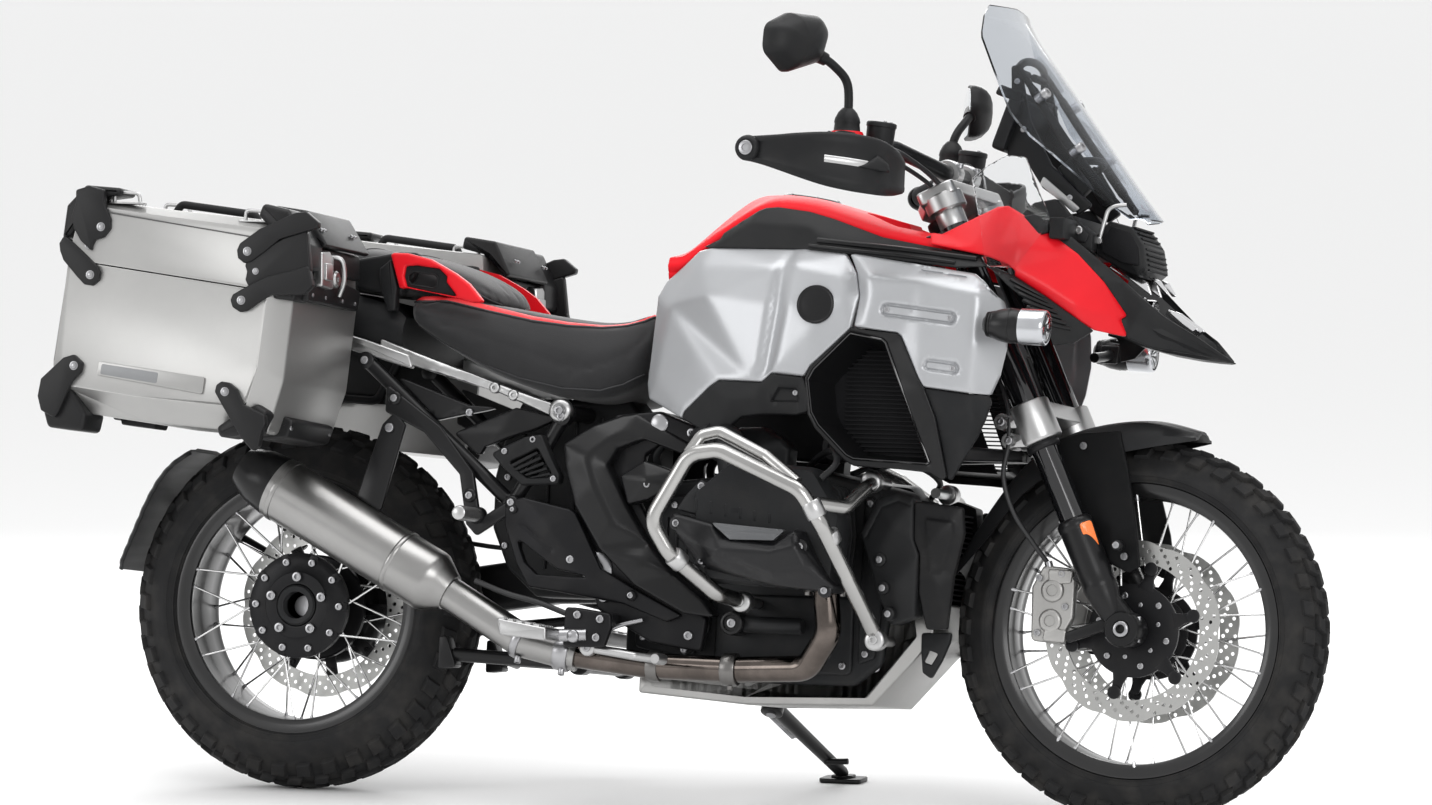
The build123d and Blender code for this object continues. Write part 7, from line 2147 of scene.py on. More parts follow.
# skid plate with ribs, slots and bolts
m = Mesh()
tray = [(664, 222), (664, 190), (860, 176), (1090, 182), (1196, 300), (1188, 362), (1150, 362), (1160, 304), (1078, 200), (860, 194), (690, 206), (690, 222)]
plate(m, rounded(tray, 5, 3), -116, 116, edge=5, mi=0, segs=3)
for s in (-1, 1):
    sidep = [(676, 206), (860, 190), (1080, 196), (1176, 306), (1170, 366), (1146, 366), (1138, 330), (1080, 262), (1000, 246), (820, 246), (690, 238)]
    slots = [rounded([(x, 208 + 0.0 * x), (x + 46, 208), (x + 46, 224), (x, 224)], 7, 4) for x in (740, 812, 884, 956)]
    f = Facets([(x, z, 114) for x, z in sidep] + [(860, 222, 118), (1040, 236, 118), (1140, 320, 116)], [], soft=2.0)
    mm = Mesh()
    skin(mm, rounded(sidep, 6, 3), f, thick=5.0, edge=2.0, res=9.0, step=4.0, holes=slots)
    if s > 0:
        mm = mm.mirrored()
    m.add(mm.v, mm.f, 0)
    for x, z in ((700, 228), (1000, 232), (1152, 346), (1092, 250)):
        turned(m, (x, s * 115, z), (0, s, 0), [(0, 0), (0, 11), (3, 10), (4, 8), (4, 0)], n=28, mi=1, closed=False)
        bolt(m, (x, s * 118.5, z), (0, s, 0), 6, 4, mi=1)
for y in (-80, -40, 0, 40, 80):
    to = plane_map((1138, y, 245), (0.745, 0, -0.667))
    prism(m, rounded([(-5, -62), (5, -62), (5, 62), (-5, 62)], 4, 3), to, -1, 4.5, edge=2, mi=0)
make("skid_tray", m, ["skid_alloy", "bolt_steel"], replaces=("skid_plate",), sharp=40)

# oil cooler boss with its plug, and the starter behind the header
m = Mesh()
(px_, pz_), = see(C29([(385, 1030)]), -196)
turned(m, (px_, -150, pz_), (0, -1, 0), [(0, 0), (0, 21), (42, 21), (45, 20), (46.5, 17.5), (46.5, 14.5), (42, 13.5), (42, 0)], n=52, mi=0, closed=False)
bolt(m, (px_, -192, pz_), (0, -1, 0), 8, 4, mi=1)
(qx_, qz_), = see(C29([(690, 1034)]), -176)
turned(m, (px_ + 16, -170, pz_ - 1), (1, 0, 0), [(0, 0), (0, 13), (3, 14.5), (qx_ - px_ - 22, 14.5), (qx_ - px_ - 18, 12), (qx_ - px_ - 18, 0)], n=44, mi=2, closed=False)
make("engine_plug", m, ["black_satin", "bolt_steel", "engine_metal"], sharp=45)
# dark nose of the skid plate with its windows
sk = [(1192, 1072, 121), (1320, 1070, 118), (1312, 1112, 118), (1278, 1190, 118), (1232, 1268, 118), (1196, 1240, 121), (1190, 1150, 122), (1240, 1140, 123)]
f = Facets(sk, [], soft=2.0, view=C29)
win = rounded([tuple(p) for p in see(C29([(1200, 1196), (1224, 1146), (1262, 1160), (1232, 1208)]), -121)], 3, 3)
m = Mesh()
skin(m, rounded(f.xz[:7], 5, 3), f, thick=7.0, edge=2.5, res=7.0, step=3.0, holes=[win])
twins("skid_nose", m, "engine_metal")

# radiator covers: two faceted panels a side
r1 = [(930, 650, 214), (1010, 500, 206), (1090, 470, 200), (1160, 500, 206), (1158, 680, 216), (1178, 740, 216), (1165, 1000, 206), (1060, 1040, 200), (1000, 900, 208), (975, 800, 214), (1070, 620, 222), (1085, 860, 222)]
f = Facets(r1, [], soft=2.0, view=C29)
m = Mesh()
skin(m, rounded(f.xz[:10], 6, 3), f, thick=40.0, edge=5.0, res=8.0, step=4.0, grooves=[([tuple(p) for p in see(C29([(960, 664), (1020, 540), (1090, 510), (1140, 530)]), -214)], 2.0, 4.0)])
for u, v in ((1017, 762), (1030, 882), (1053, 992)):
    (x, z), = see(C29([(u, v)]), -216)
    turned(m, (x, -208, z), (0, -1, 0), [(0, 0), (0, 12), (12, 11), (14, 8), (14, 0)], n=28, mi=0, closed=False)
    bolt(m, (x, -221, z), (0, -1, 0), 6, 4, mi=1)
twins("radiator_cover_rear", m, ["black_plastic", "bolt_steel"], replaces=("radiator_covers",))
r2 = [(1163, 512, 206), (1368, 540, 190), (1374, 650, 186), (1330, 830, 184), (1300, 1058, 178), (1212, 1058, 186), (1178, 900, 200), (1184, 740, 212), (1160, 680, 212), (1270, 650, 204), (1255, 880, 198)]
f = Facets(r2, [], soft=2.0, view=C29)
m = Mesh()
skin(m, rounded(f.xz[:9], 6, 3), f, thick=7.0, edge=3.0, res=8.0, step=4.0, raised=[(rounded([tuple(p) for p in see(C29([(1205, 580), (1330, 596), (1332, 650), (1290, 800), (1220, 830), (1215, 720)]), -202)], 6, 3), 3.0, 6.0)])
twins("radiator_cover_front", m, "black_paint")
# radiator cores behind the covers
m = Mesh()
for s in (-1, 1):
    y0, y1 = (-176, -60) if s < 0 else (60, 176)
    for i in range(22):
        x = 1128 + i * 0.9
        z = 330 + i * 9.2
        plate(m, [(x, z), (x + 26, z - 3), (x + 26, z), (x, z + 3)], y0, y1, edge=0.6, mi=0)
    plate(m, rounded([(1122, 322), (1156, 318), (1178, 536), (1144, 540)], 5, 3), s * 52 if s > 0 else -62, 62 if s > 0 else -52, edge=3, mi=1)
make("radiator_core", m, ["dark_mesh", "black_satin"], sharp=40)

# crash bars
m = Mesh()
loop = fillet([(1126, -214, 292), (1098, -312, 394), (1071, -386, 482), (1037, -404, 537), (891, -406, 600), (838, -404, 592), (771, -398, 478), (800, -380, 425), (862, -300, 360), (884, -214, 350)], 44, 9)
tube(m, loop, 13.6, n=32, mi=0)
branch = fillet([(1050, -396, 516), (1096, -330, 512), (1112, -272, 548), (1108, -214, 562)], 30, 8)
tube(m, branch, 12.6, n=32, mi=0)
second = fillet([(832, -388, 592), (850, -378, 624), (880, -372, 632), (968, -382, 592), (1030, -396, 548)], 20, 8)
tube(m, second, 12.0, n=28, mi=0, round_end=0.6)
for x, y, z in ((1126, -214, 292), (884, -214, 350), (1108, -214, 562)):
    turned(m, (x, y - 24, z), (0, 1, 0), [(0, 0), (0, 13), (2, 17), (4, 18), (26, 18), (28, 17), (30, 13), (30, 0)], n=36, mi=1, closed=False)
    turned(m, (x, y, z), (0, 1, 0), [(0, 0), (0, 9), (73, 9), (73, 0)], n=24, mi=1, closed=False)
    bolt(m, (x, y - 24, z), (0, -1, 0), 8, 6, mi=1)
def collar(p, q, r, w):
    d = Vector(q) - Vector(p)
    turned(m, p, tuple(d.normalized()), [(-w / 2, r - 3), (-w / 2, r + 2.5), (-w / 2 + 2, r + 4), (w / 2 - 2, r + 4), (w / 2, r + 2.5), (w / 2, r - 3)], n=36, mi=1)
collar((1060, -392, 505), (1071, -386, 482), 13.6, 30)
collar((1080, -358, 460), (1098, -312, 394), 13.6, 22)
collar((812, -368, 414), (830, -344, 394), 13.6, 24)
twins("crash_bar", m, ["crash_steel", "silver_alloy"], replaces=("crash_bars",))

# frame side cover that sweeps down behind the cylinder
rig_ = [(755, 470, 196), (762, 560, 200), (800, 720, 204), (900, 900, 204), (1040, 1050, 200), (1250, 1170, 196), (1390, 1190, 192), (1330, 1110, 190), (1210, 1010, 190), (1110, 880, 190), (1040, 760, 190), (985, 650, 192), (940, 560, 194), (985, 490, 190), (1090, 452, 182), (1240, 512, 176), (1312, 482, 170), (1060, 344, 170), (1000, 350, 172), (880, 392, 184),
       (850, 520, 212), (880, 640, 214), (960, 800, 212), (1080, 960, 208), (960, 440, 198)]
f = Facets(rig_, [], soft=2.0, view=C28)
m = Mesh()
skin(m, rounded(f.xz[:20], 7, 3), f, thick=26.0, edge=6.0, res=9.0, step=4.0)
twins("frame_cover", m, "black_satin")
gk = [(990, 600, 200), (1090, 540, 204), (1240, 590, 200), (1190, 650, 206), (1105, 700, 206), (1020, 720, 200), (1100, 620, 220)]
f = Facets(gk, [], soft=1.5, view=C28)
m = Mesh()
skin(m, rounded(f.xz[:6], 5, 3), f, thick=24.0, edge=4.0, res=7.0, step=3.0)
(x, z), = see(C28([(1100, 636)]), -216)
bolt(m, (x, -213, z), (0, -1, 0), 6, 4, mi=1)
twins("frame_cap", m, ["black_satin", "bolt_steel"])
# frame plates, spine and cross tubes
m = Mesh()
sp = [(560, 600), (620, 668), (700, 676), (800, 640), (790, 610), (720, 630), (676, 600), (668, 520), (730, 400), (800, 320), (792, 262), (700, 276), (600, 330), (560, 460)]
for s in (-1, 1):
    plate(m, rounded(sp, 9, 4), -168 if s < 0 else 146, -146 if s < 0 else 168, edge=5, mi=0, segs=3)
    turned(m, (596, s * 164, 400), (0, s, 0), [(0, 0), (0, 30), (6, 29), (9, 25), (9, 14), (5, 13), (5, 0)], n=44, mi=1, closed=False)
    turned(m, (700, s * 164, 655), (0, s, 0), [(0, 0), (0, 17), (6, 16), (8, 13), (8, 0)], n=32, mi=1, closed=False)
    for x, z in ((770, 290), (612, 350), (600, 560), (760, 640)):
        bolt(m, (x, s * 168, z), (0, s, 0), 8, 6, mi=1)
for x, z in ((700, 655), (596, 400)):
    tube(m, [(x, -164, z), (x, 164, z)], 20, n=32, mi=0)
spine = [(700, 676), (760, 700), (1000, 800), (1082, 940), (1120, 998), (1146, 958), (1110, 860), (1066, 740), (1040, 640), (960, 600), (800, 610)]
plate(m, rounded(spine, 12, 4), -38, 38, edge=7, mi=0, segs=3)
hx, hz = 1652 - 0.492 * 1046, 1046
turned(m, (hx, 0, hz), (-0.4415, 0, 0.8973), [(-96, 0), (-96, 27), (-93, 30), (-88, 31), (-80, 30), (-32, 30), (-26, 31), (-19, 30), (-17, 27), (-17, 0)], n=48, mi=0, closed=False)
make("frame_plates", m, ["black_alloy", "bolt_steel"], replaces=("main_frame",), sharp=40)

# ---- subframe, side covers, pegs, muffler, rear drive ---------------------
C32b = crop(80, 390, 400)


def ring(m, p, axis, r0, r1, h, mi=0, n=44):
    turned(m, p, axis, [(-h / 2, r0), (-h / 2, r1 - 2), (-h / 2 + 2, r1), (h / 2 - 2, r1), (h / 2, r1 - 2), (h / 2, r0)], n=n, mi=mi)


m = Mesh()
# silver rail under the seat with raised edges
rk = [(0, 35, 165), (350, 168, 166), (700, 298, 168), (745, 318, 168), (752, 345, 168), (722, 362, 168), (480, 256, 166), (200, 168, 166), (0, 100, 165), (250, 170, 172), (560, 278, 173)]
f = Facets(rk, [], soft=2.0, view=C28)
skin(m, rounded(f.xz[:9], 4, 3), f, thick=16.0, edge=3.0, res=8.0, step=4.0)
plate(m, rounded([(80, 806), (80, 780), (150, 762), (240, 738), (230, 764), (150, 788)], 5, 3), -168, -152, edge=4, mi=0)
for u, v, r in ((742, 333, 17), (473, 238, 8.5), (550, 268, 8.5)):
    (x, z), = see(C28([(u, v)]), -170)
    if r > 10:
        turned(m, (x, -160, z), (0, -1, 0), [(0, 0), (0, r + 5), (10, r + 4), (14, r), (15, r - 4), (13, r - 6), (13, 0)], n=44, mi=0, closed=False)
        bolt(m, (x, -173, z), (0, -1, 0), 8, 6, mi=1)
    else:
        turned(m, (x, -166, z), (0, -1, 0), [(0, 3.5), (0, r + 2), (6, r + 1), (8, r - 1), (8, 3.5)], n=36, mi=0)
# rod that joins the rail to the rear
tube(m, [(80, -160, 793), (-160, -110, 862)], 11.5, n=24, mi=2)
# main strut and the triangle below
tube(m, fillet([(150, -158, 752), (432, -158, 508), (520, -158, 662)], 18, 6), 12.6, n=28, mi=2)
for x, z in ((150, 752), (520, 662), (432, 508)):
    turned(m, (x, -172, z), (0, 1, 0), [(0, 0), (0, 12), (2, 15), (26, 15), (28, 12), (28, 0)], n=32, mi=2, closed=False)
    bolt(m, (x, -172, z), (0, -1, 0), 7, 5, mi=1)
gp = [tuple(p) for p in see(C28([(300, 425), (560, 320), (742, 362), (640, 410), (430, 482), (408, 522)]), -156)]
f = Facets([(x, z, 156) for x, z in gp] + [(sum(p[0] for p in gp) / 6, sum(p[1] for p in gp) / 6, 162)], [], soft=2.0)
skin(m, rounded(gp, 7, 4), f, thick=10.0, edge=3.0, res=8.0, step=4.0, mi=2)
up = [tuple(p) for p in see(C28([(60, 185), (365, 310), (500, 320), (370, 345), (235, 372)]), -162)]
f = Facets([(x, z, 162) for x, z in up] + [(up[0][0] * 0.3 + up[2][0] * 0.7, up[0][1] * 0.3 + up[2][1] * 0.66, 167)], [], soft=2.0)
skin(m, rounded(up, 5, 3), f, thick=12.0, edge=3.0, res=8.0, step=4.0, mi=2)
(x, z), = see(C28([(370, 340)]), -166)
bolt(m, (x, -165, z), (0, -1, 0), 6.5, 5, mi=1)
# case carrier
tube(m, fillet([(90, -160, 790), (90, -176, 790), (40, -178, 700), (-180, -178, 712), (-180, -176, 800), (-120, -120, 850)], 22, 6), 8, n=22, mi=3)
for x, z in ((86, 792), (100, 770)):
    tube(m, [(x, -158, z), (x, -183, z)], 8.8, n=22, mi=3)
    bolt(m, (x, -183, z), (0, -1, 0), 6.5, 4, mi=1)
for x in (-140, -40):
    ring(m, (x, -178, 705 + (x + 140) * -0.04), (1, 0, 0), 7, 11, 24, mi=2)
twins("subframe_side", m, ["silver_alloy", "bolt_steel", "black_satin", "black_alloy"], replaces=("rear_subframe",))
m = Mesh()
for p, q, r in (((80, -155, 790), (80, 155, 790), 10), ((432, -158, 508), (432, 158, 508), 12), ((525, -150, 671), (525, 150, 671), 14), ((-150, -112, 858), (-150, 112, 858), 10), ((525, 0, 671), (694, 0, 656), 13.5)):
    tube(m, [p, q], r, n=26, mi=0)
make("subframe_cross", m, "black_satin", sharp=50)

# louvred cover behind the frame
lk = [(455, 510, 186), (510, 480, 190), (600, 440, 192), (665, 430, 192), (740, 600, 190), (735, 635, 186), (580, 640, 184), (500, 560, 192), (700, 520, 196)]
f = Facets(lk, [], soft=2.0, view=C28)
win = rounded([tuple(p) for p in see(C28([(528, 545), (650, 487), (705, 590), (690, 608), (600, 608)]), -191)], 5, 3)
m = Mesh()
skin(m, rounded(f.xz[:7], 7, 4), f, thick=20.0, edge=4.0, res=6.0, step=3.0, holes=[win])
for i in range(5):
    a = i / 5.0
    p = see(C28([(530 + 22 * i, 560 + 12 * i), (648 + 13 * i, 500 + 22 * i), (654 + 13 * i, 510 + 22 * i), (538 + 22 * i, 572 + 10 * i)]), -187)
    plate(m, p, -189, -180, edge=1.2, mi=0)
for u, v in ((632, 452), (515, 500), (716, 614)):
    (x, z), = see(C28([(u, v)]), -190)
    bolt(m, (x, -191, z), (0, -1, 0), 5.5, 3.5, mi=1)
twins("louvre_cover", m, ["black_plastic", "bolt_steel"], replaces=("side_covers",))
# big lower bracket with its triangular hole and slot
bk = [(515, 705, 186), (590, 690, 190), (785, 740, 190), (806, 756, 190), (910, 985, 188), (1060, 1075, 186), (1250, 1180, 182), (1180, 1205, 180), (1000, 1130, 182), (730, 1080, 184), (610, 1060, 184), (560, 960, 184), (512, 800, 184), (700, 820, 196), (830, 1010, 192)]
f = Facets(bk, [], soft=2.0, view=C28)
tri = rounded([tuple(p) for p in see(C28([(556, 852), (592, 958), (642, 1008), (885, 1024), (732, 988)]), -187)], 6, 3)
m = Mesh()
skin(m, rounded(f.xz[:13], 7, 4), f, thick=14.0, edge=4.0, res=7.0, step=4.0, holes=[tri], grooves=[([tuple(p) for p in see(C28([(582, 800), (640, 850), (704, 906)]), -194)], 3.0, 6.0)])
for u, v, r in ((787, 947, 10), (1035, 1095, 8), (548, 740, 6)):
    (x, z), = see(C28([(u, v)]), -190)
    turned(m, (x, -184, z), (0, -1, 0), [(0, 0), (0, r + 2), (7, r + 1), (9, r - 2), (9, 0)], n=32, mi=0, closed=False)
    bolt(m, (x, -192, z), (0, -1, 0), r * 0.7, 4, mi=1)
twins("lower_bracket", m, ["black_alloy", "bolt_steel"])

# rider pegs, brackets, pedals
m = Mesh()
plate(m, rounded([(560, 332), (644, 322), (646, 300), (634, 264), (558, 262)], 8, 4), -221, -206, edge=4, mi=0, segs=3)
plate(m, rounded([(566, 332), (644, 322), (644, 300), (566, 300)], 5, 3), -208, -164, edge=4, mi=0)
for x, z in ((584, 318), (626, 312), (620, 280)):
    bolt(m, (x, -221, z), (0, -1, 0), 7, 5, mi=1)
base = rounded([(464, 306), (556, 292), (556, 270), (472, 277)], 4, 3)
plate(m, base, -302, -224, edge=4, mi=2, segs=3)
for i in range(9):
    y = -298 + i * 8.6
    for x in (474, 490, 506, 522, 538):
        zt = 304.5 - (x - 464) * 0.152
        pm = plane_map((x, y, zt), (0.15, 0, 0.99), (1, 0, 0))
        prism(m, [(-2.4, -5), (2.4, -5), (2.4, 5), (-2.4, 5)], pm, -2, 4.2, edge=1.2, mi=2)
turned(m, (580, -222, 281), (0, 1, 0), [(-12, 0), (-12, 9), (-10, 11), (18, 11), (18, 0)], n=28, mi=1, closed=False)
tube(m, [(548, -226, 281), (600, -216, 284)], 11, n=24, mi=1)
twins("rider_peg", m, ["black_alloy", "bolt_steel", "silver_alloy"], replaces=("foot_pegs",))
m = Mesh()
pb = rounded([(196, 712), (300, 640), (366, 560), (382, 480), (440, 520), (452, 500), (376, 450), (356, 470), (340, 556), (270, 628), (196, 662)], 7, 4)
plate(m, pb, -184, -172, edge=4, mi=0, segs=3)
for x, z in ((214, 686), (362, 520), (440, 510)):
    turned(m, (x, -180, z), (0, -1, 0), [(0, 0), (0, 13), (6, 12), (8, 9), (8, 0)], n=32, mi=0, closed=False)
    bolt(m, (x, -188, z), (0, -1, 0), 6.5, 4, mi=1)
turned(m, (376, -170, 486), (0, -1, 0), [(0, 0), (0, 15), (14, 15), (18, 13), (22, 9), (22, 0)], n=36, mi=0, closed=False)
prof = [(20, 0), (20, 11)]
for i in range(9):
    prof += [(26 + i * 8.5, 11.4), (28 + i * 8.5, 13), (31 + i * 8.5, 13), (33 + i * 8.5, 11.4)]
prof += [(104, 12), (106, 9), (106, 0)]
turned(m, (376, -170, 486), (0, -1, 0), prof, n=36, mi=2, closed=False)
twins("passenger_peg", m, ["black_satin", "bolt_steel", "silver_alloy"])
m = Mesh()
tube(m, fillet([(600, -202, 262), (690, -206, 250), (740, -228, 246), (750, -262, 246)], 26, 7), 7.6, n=22, mi=0)
turned(m, (600, -192, 262), (0, -1, 0), [(0, 0), (0, 13), (2, 14), (18, 14), (20, 12), (20, 0)], n=36, mi=0, closed=False)
bolt(m, (600, -212, 262), (0, -1, 0), 7, 4, mi=1)
pr = []
for i in range(5):
    pr += [(i * 8, 8.4), (i * 8 + 2, 10), (i * 8 + 5, 10), (i * 8 + 7, 8.4)]
turned(m, (750, -242, 246), (0, -1, 0), [(-2, 0), (-2, 8)] + pr + [(42, 8), (42, 0)], n=30, mi=0, closed=False)
tube(m, smooth_line([(606, -190, 276), (640, -184, 300), (690, -182, 314)], 5), 4, n=16, mi=1)
tube(m, smooth_line([(560, -196, 318), (500, -194, 338), (440, -190, 352), (380, -186, 372)], 5), 5, n=16, mi=2)
twins("foot_pedal", m, ["silver_alloy", "bolt_steel", "hose"], replaces=("foot_levers",))

# silencer: pipe, body with rolled joints, dark tip and clamps
m = Mesh()
a, b = Vector((330, -175, 350)), Vector((-62, -187, 559))
d = (b - a).normalized()
prof = [(-2, 26), (0, 33), (6, 36), (22, 46), (36, 54.5), (44, 56), (104, 56), (105.5, 57.6), (109, 58), (112.5, 57.6), (114, 56), (352, 56), (353, 57.4), (357, 58), (361, 57.4), (362, 56), (372, 56)]
turned(m, tuple(a), tuple(d), prof + [(372, 26)], n=72, mi=0)
turned(m, tuple(a), tuple(d), [(368, 40), (370, 55.6), (372, 56.2), (408, 51), (428, 44), (441, 37), (444.5, 35), (445, 33), (443, 31), (436, 31), (400, 30), (400, 0), (372, 0)], n=72, mi=1, closed=False)
tube(m, fillet([(568, -164, 250), (463, -170, 272), (390, -173, 314), (300, -176, 366)], 60, 10), 29.5, n=44, mi=0)
for p, q, w in (((556, -165, 252), (520, -167, 259), 26), ((470, -170, 270), (430, -171, 288), 14)):
    dd = (Vector(q) - Vector(p)).normalized()
    turned(m, p, tuple(dd), [(0, 29), (0, 32), (2, 34), (w - 2, 34), (w, 32), (w, 29)], n=52, mi=2)
    bolt(m, (Vector(p) + dd * w / 2 + Vector((0, -12, -32)))[:], (0, -0.3, -1), 6, 9, mi=2)
# rings for a part shell standing off the body as a heat shield; they are worked out but not added to the mesh
sh = []
for i in range(20):
    t = 126 + i * 11
    c = a + d * t
    ux = Vector((0, -1, 0))
    uz = d.cross(ux).normalized()
    ux = uz.cross(d).normalized()
    taper = 1.0 if 2 < i < 17 else (0.94 if i in (1, 2, 17, 18) else 0.88)
    ring_p = []
    n_a = 16
    for r, order in ((60.5, range(n_a + 1)), (58.6, reversed(range(n_a + 1)))):
        for j in order:
            ang = math.radians(-52 * taper + 104 * taper * j / n_a)
            ring_p.append(tuple(c + ux * (math.cos(ang) * r) + uz * (math.sin(ang) * r)))
    sh.append(ring_p)
# hanger to the peg bracket
plate(m, rounded([(150, 512), (196, 486), (236, 640), (214, 662), (192, 640)], 7, 4), -184, -174, edge=3, mi=1)
bolt(m, (208, -186, 634), (0, -1, 0), 8, 5, mi=2)
make("silencer", m, ["muffler_steel", "black_satin", "bolt_steel"], replaces=("muffler",), sharp=45)

# swingarm, final drive, splash guard
m = Mesh()
secs = []
for x, y0, y1, z0, z1 in ((606, 98, 142, 356, 442), (560, 98, 150, 352, 440), (480, 102, 170, 348, 432), (420, 106, 176, 346, 428), (320, 104, 176, 330, 416), (200, 102, 170, 308, 396), (70, 100, 166, 286, 374)):
    secs.append([(x, y, z) for y, z in rounded([(y0, z0), (y1, z0), (y1, z1), (y0, z1)], 22, 5)])
loft(m, secs, mi=0, caps=True, closed=True)
prof = [(90.5, 0), (90.5, 80), (93, 84), (100, 92), (106, 95.5), (124, 96), (132, 94), (150, 91), (158, 80), (166, 62), (168, 52), (166, 40), (164, 38), (164, 26), (168, 24), (168, 0)]
turned(m, (0, 0, 322), (0, 1, 0), prof, n=72, mi=0, closed=False)
turned(m, (0, 0, 322), (0, 1, 0), [(-28, 0), (-28, 18), (-26, 20), (100, 20), (100, 0)], n=36, mi=1, closed=False)
for i in range(8):
    t = math.radians(i * 45 + 22)
    bolt(m, (84 * math.cos(t), 152, 322 + 84 * math.sin(t)), (0, 1, 0), 6, 5, mi=1)
for i in range(12):
    t = math.radians(i * 30)
    c, s_ = math.cos(t), math.sin(t)
    prism(m, [(44, -2.5), (80, -2.5), (80, 2.5), (44, 2.5)], lambda u, v, h, c=c, s_=s_: (u * c - v * s_, 150 + h, 322 + u * s_ + v * c), 0, 13 , edge=1.5, mi=0)
# shaft bellows at the pivot
prof = [(0, 30)]
for i in range(6):
    prof += [(i * 9 + 2, 44), (i * 9 + 6, 44), (i * 9 + 9, 38)]
turned(m, (556, 124, 396), (1, 0, 0.02), [(0, 0), (0, 40)] + prof[1:] + [(56, 40), (56, 0)], n=40, mi=2, closed=False)
# torque arm
tube(m, [(60, 150, 250), (300, 152, 300), (560, 140, 330)], 9, n=20, mi=0)
for x, z, y in ((60, 250, 150), (560, 330, 140)):
    turned(m, (x, y - 14, z), (0, 1, 0), [(0, 0), (0, 15), (2, 16), (26, 16), (28, 14), (28, 0)], n=32, mi=0, closed=False)
    bolt(m, (x, y + 14, z), (0, 1, 0), 7, 5, mi=1)
make("rear_drive", m, ["black_alloy", "bolt_steel", "rubber"], replaces=("swingarm",), sharp=40)

# ---- splash guard, rear caliper, front arm, stands ------------------------
# splash guard: scalloped edges, drawn on the view and wrapped over the tyre
cl = [(-208, 590), (-243, 566), (-270, 534), (-292, 492), (-310, 448), (-326, 408), (-338, 376)]
cl = [tuple(p) for p in smooth_line([(x, 0, z) for x, z in cl], 6)]
N = len(cl)
secs = []
for i, (x, _, z) in enumerate(cl):
    t = i / (N - 1)
    j0, j1 = max(i - 1, 0), min(i + 1, N - 1)
    tx, tz = cl[j1][0] - cl[j0][0], cl[j1][2] - cl[j0][2]
    q = math.hypot(tx, tz)
    nx, nz = tz / q, -tx / q
    if nx > 0:
        nx, nz = -nx, -nz
    w = 91 + 3.2 * abs(math.sin(i * 0.9))
    if t > 0.93:
        w -= 10 * (t - 0.93) / 0.07
    ring_o = [(-w, -9), (-w + 1, -4), (-w + 8, 1), (-w * 0.6, 3), (-w * 0.5, 6), (w * 0.5, 6), (w * 0.6, 3), (w - 8, 1), (w - 1, -4), (w, -9)]
    ring_i = [(w - 3.5, -9), (w - 4.5, -5), (w - 10, -2.5), (-w + 10, -2.5), (-w + 4.5, -5), (-w + 3.5, -9)]
    secs.append([(x + nx * h, y, z + nz * h) for y, h in ring_o + ring_i])
m = Mesh()
loft(m, secs, caps=True, closed=True)
hold = fillet([(-300, 84, 500), (-262, 112, 484), (-140, 124, 420), (-60, 134, 372)], 24, 7)
tube(m, hold, 8.4, n=24, mi=1)
turned(m, (-300, 78, 500), (0, 1, 0), [(0, 0), (0, 18), (3, 20), (18, 20), (20, 18), (20, 0)], n=32, mi=1, closed=False)
bolt(m, (-300, 98, 500), (0, 1, 0), 7, 5, mi=2)
turned(m, (-60, 124, 372), (0, 1, 0), [(0, 0), (0, 15), (2, 16), (20, 16), (22, 14), (22, 0)], n=32, mi=1, closed=False)
tube(m, smooth_line([(-236, 92, 576), (-190, 108, 540), (-60, 116, 430)], 5), 6, n=18, mi=1)
make("splash_guard", m, ["black_plastic", "black_alloy", "bolt_steel"], sharp=38)

# rear caliper
m = Mesh()
def pol(r, a):
    t = math.radians(a)
    return (r * math.cos(t), 322 + r * math.sin(t))
pads = rounded([pol(r, a) for r, a in ((116, 34), (150, 26), (186, 34), (188, 62), (168, 74), (116, 66))], 10, 4)
plate(m, pads, 84, 98, edge=4, mi=0, segs=3)
plate(m, pads, 58, 70, edge=4, mi=0, segs=3)
for r, a in ((176, 46), (174, 60)):
    x, z = pol(r, a)
    turned(m, (x, 60, z), (0, 1, 0), [(0, 0), (0, 9), (34, 9), (34, 0)], n=24, mi=0, closed=False)
    bolt(m, (x, 98, z), (0, 1, 0), 6, 4, mi=1)
x, z = pol(148, 49)
turned(m, (x, 96, z), (0, 1, 0), [(0, 0), (0, 22), (2, 22), (4, 20), (4, 13), (2.5, 12), (2.5, 0)], n=40, mi=0, closed=False)
plate(m, rounded([(70, 372), (96, 420), (128, 410), (116, 362)], 6, 3), 84, 98, edge=3, mi=0)
tube(m, smooth_line([(130, 92, 440), (220, 96, 450), (340, 104, 440), (520, 110, 450)], 6), 4.2, n=16, mi=2)
make("rear_brake", m, ["caliper_alloy", "bolt_steel", "hose"], replaces=("rear_caliper",), sharp=40)

# front arm
m = Mesh()
bx = st_x = 1652 - 0.492 * 676
ball = (1652 - 0.492 * 676 + 36 * 0.4415, 676 - 36 * 0.8973)
for s in (-1, 1):
    secs = []
    for t in (0.0, 0.12, 0.4, 0.7, 1.0):
        x = 1010 + (ball[0] - 22 - 1010) * t
        y0 = s * (96 + (-4 - 96) * t)
        y1 = s * (132 + (26 - 132) * t)
        z0, z1 = 606 + 6 * t, 642 - 10 * t
        pts = rounded([(min(y0, y1), z0), (max(y0, y1), z0), (max(y0, y1), z1), (min(y0, y1), z1)], 8 - 1.5 * t, 4)
        secs.append([(x, y, z) for y, z in pts])
    loft(m, secs, mi=0, caps=True, closed=True)
    turned(m, (1010, s * 96, 624), (0, s, 0), [(0, 0), (0, 24), (2, 26), (34, 26), (37, 24), (37, 15), (33, 14), (33, 0)], n=44, mi=0, closed=False)
tube(m, [(1010, -128, 624), (1010, 128, 624)], 17.5, n=36, mi=0)
ax = (1652 - 0.492 * 676, 0, 676)
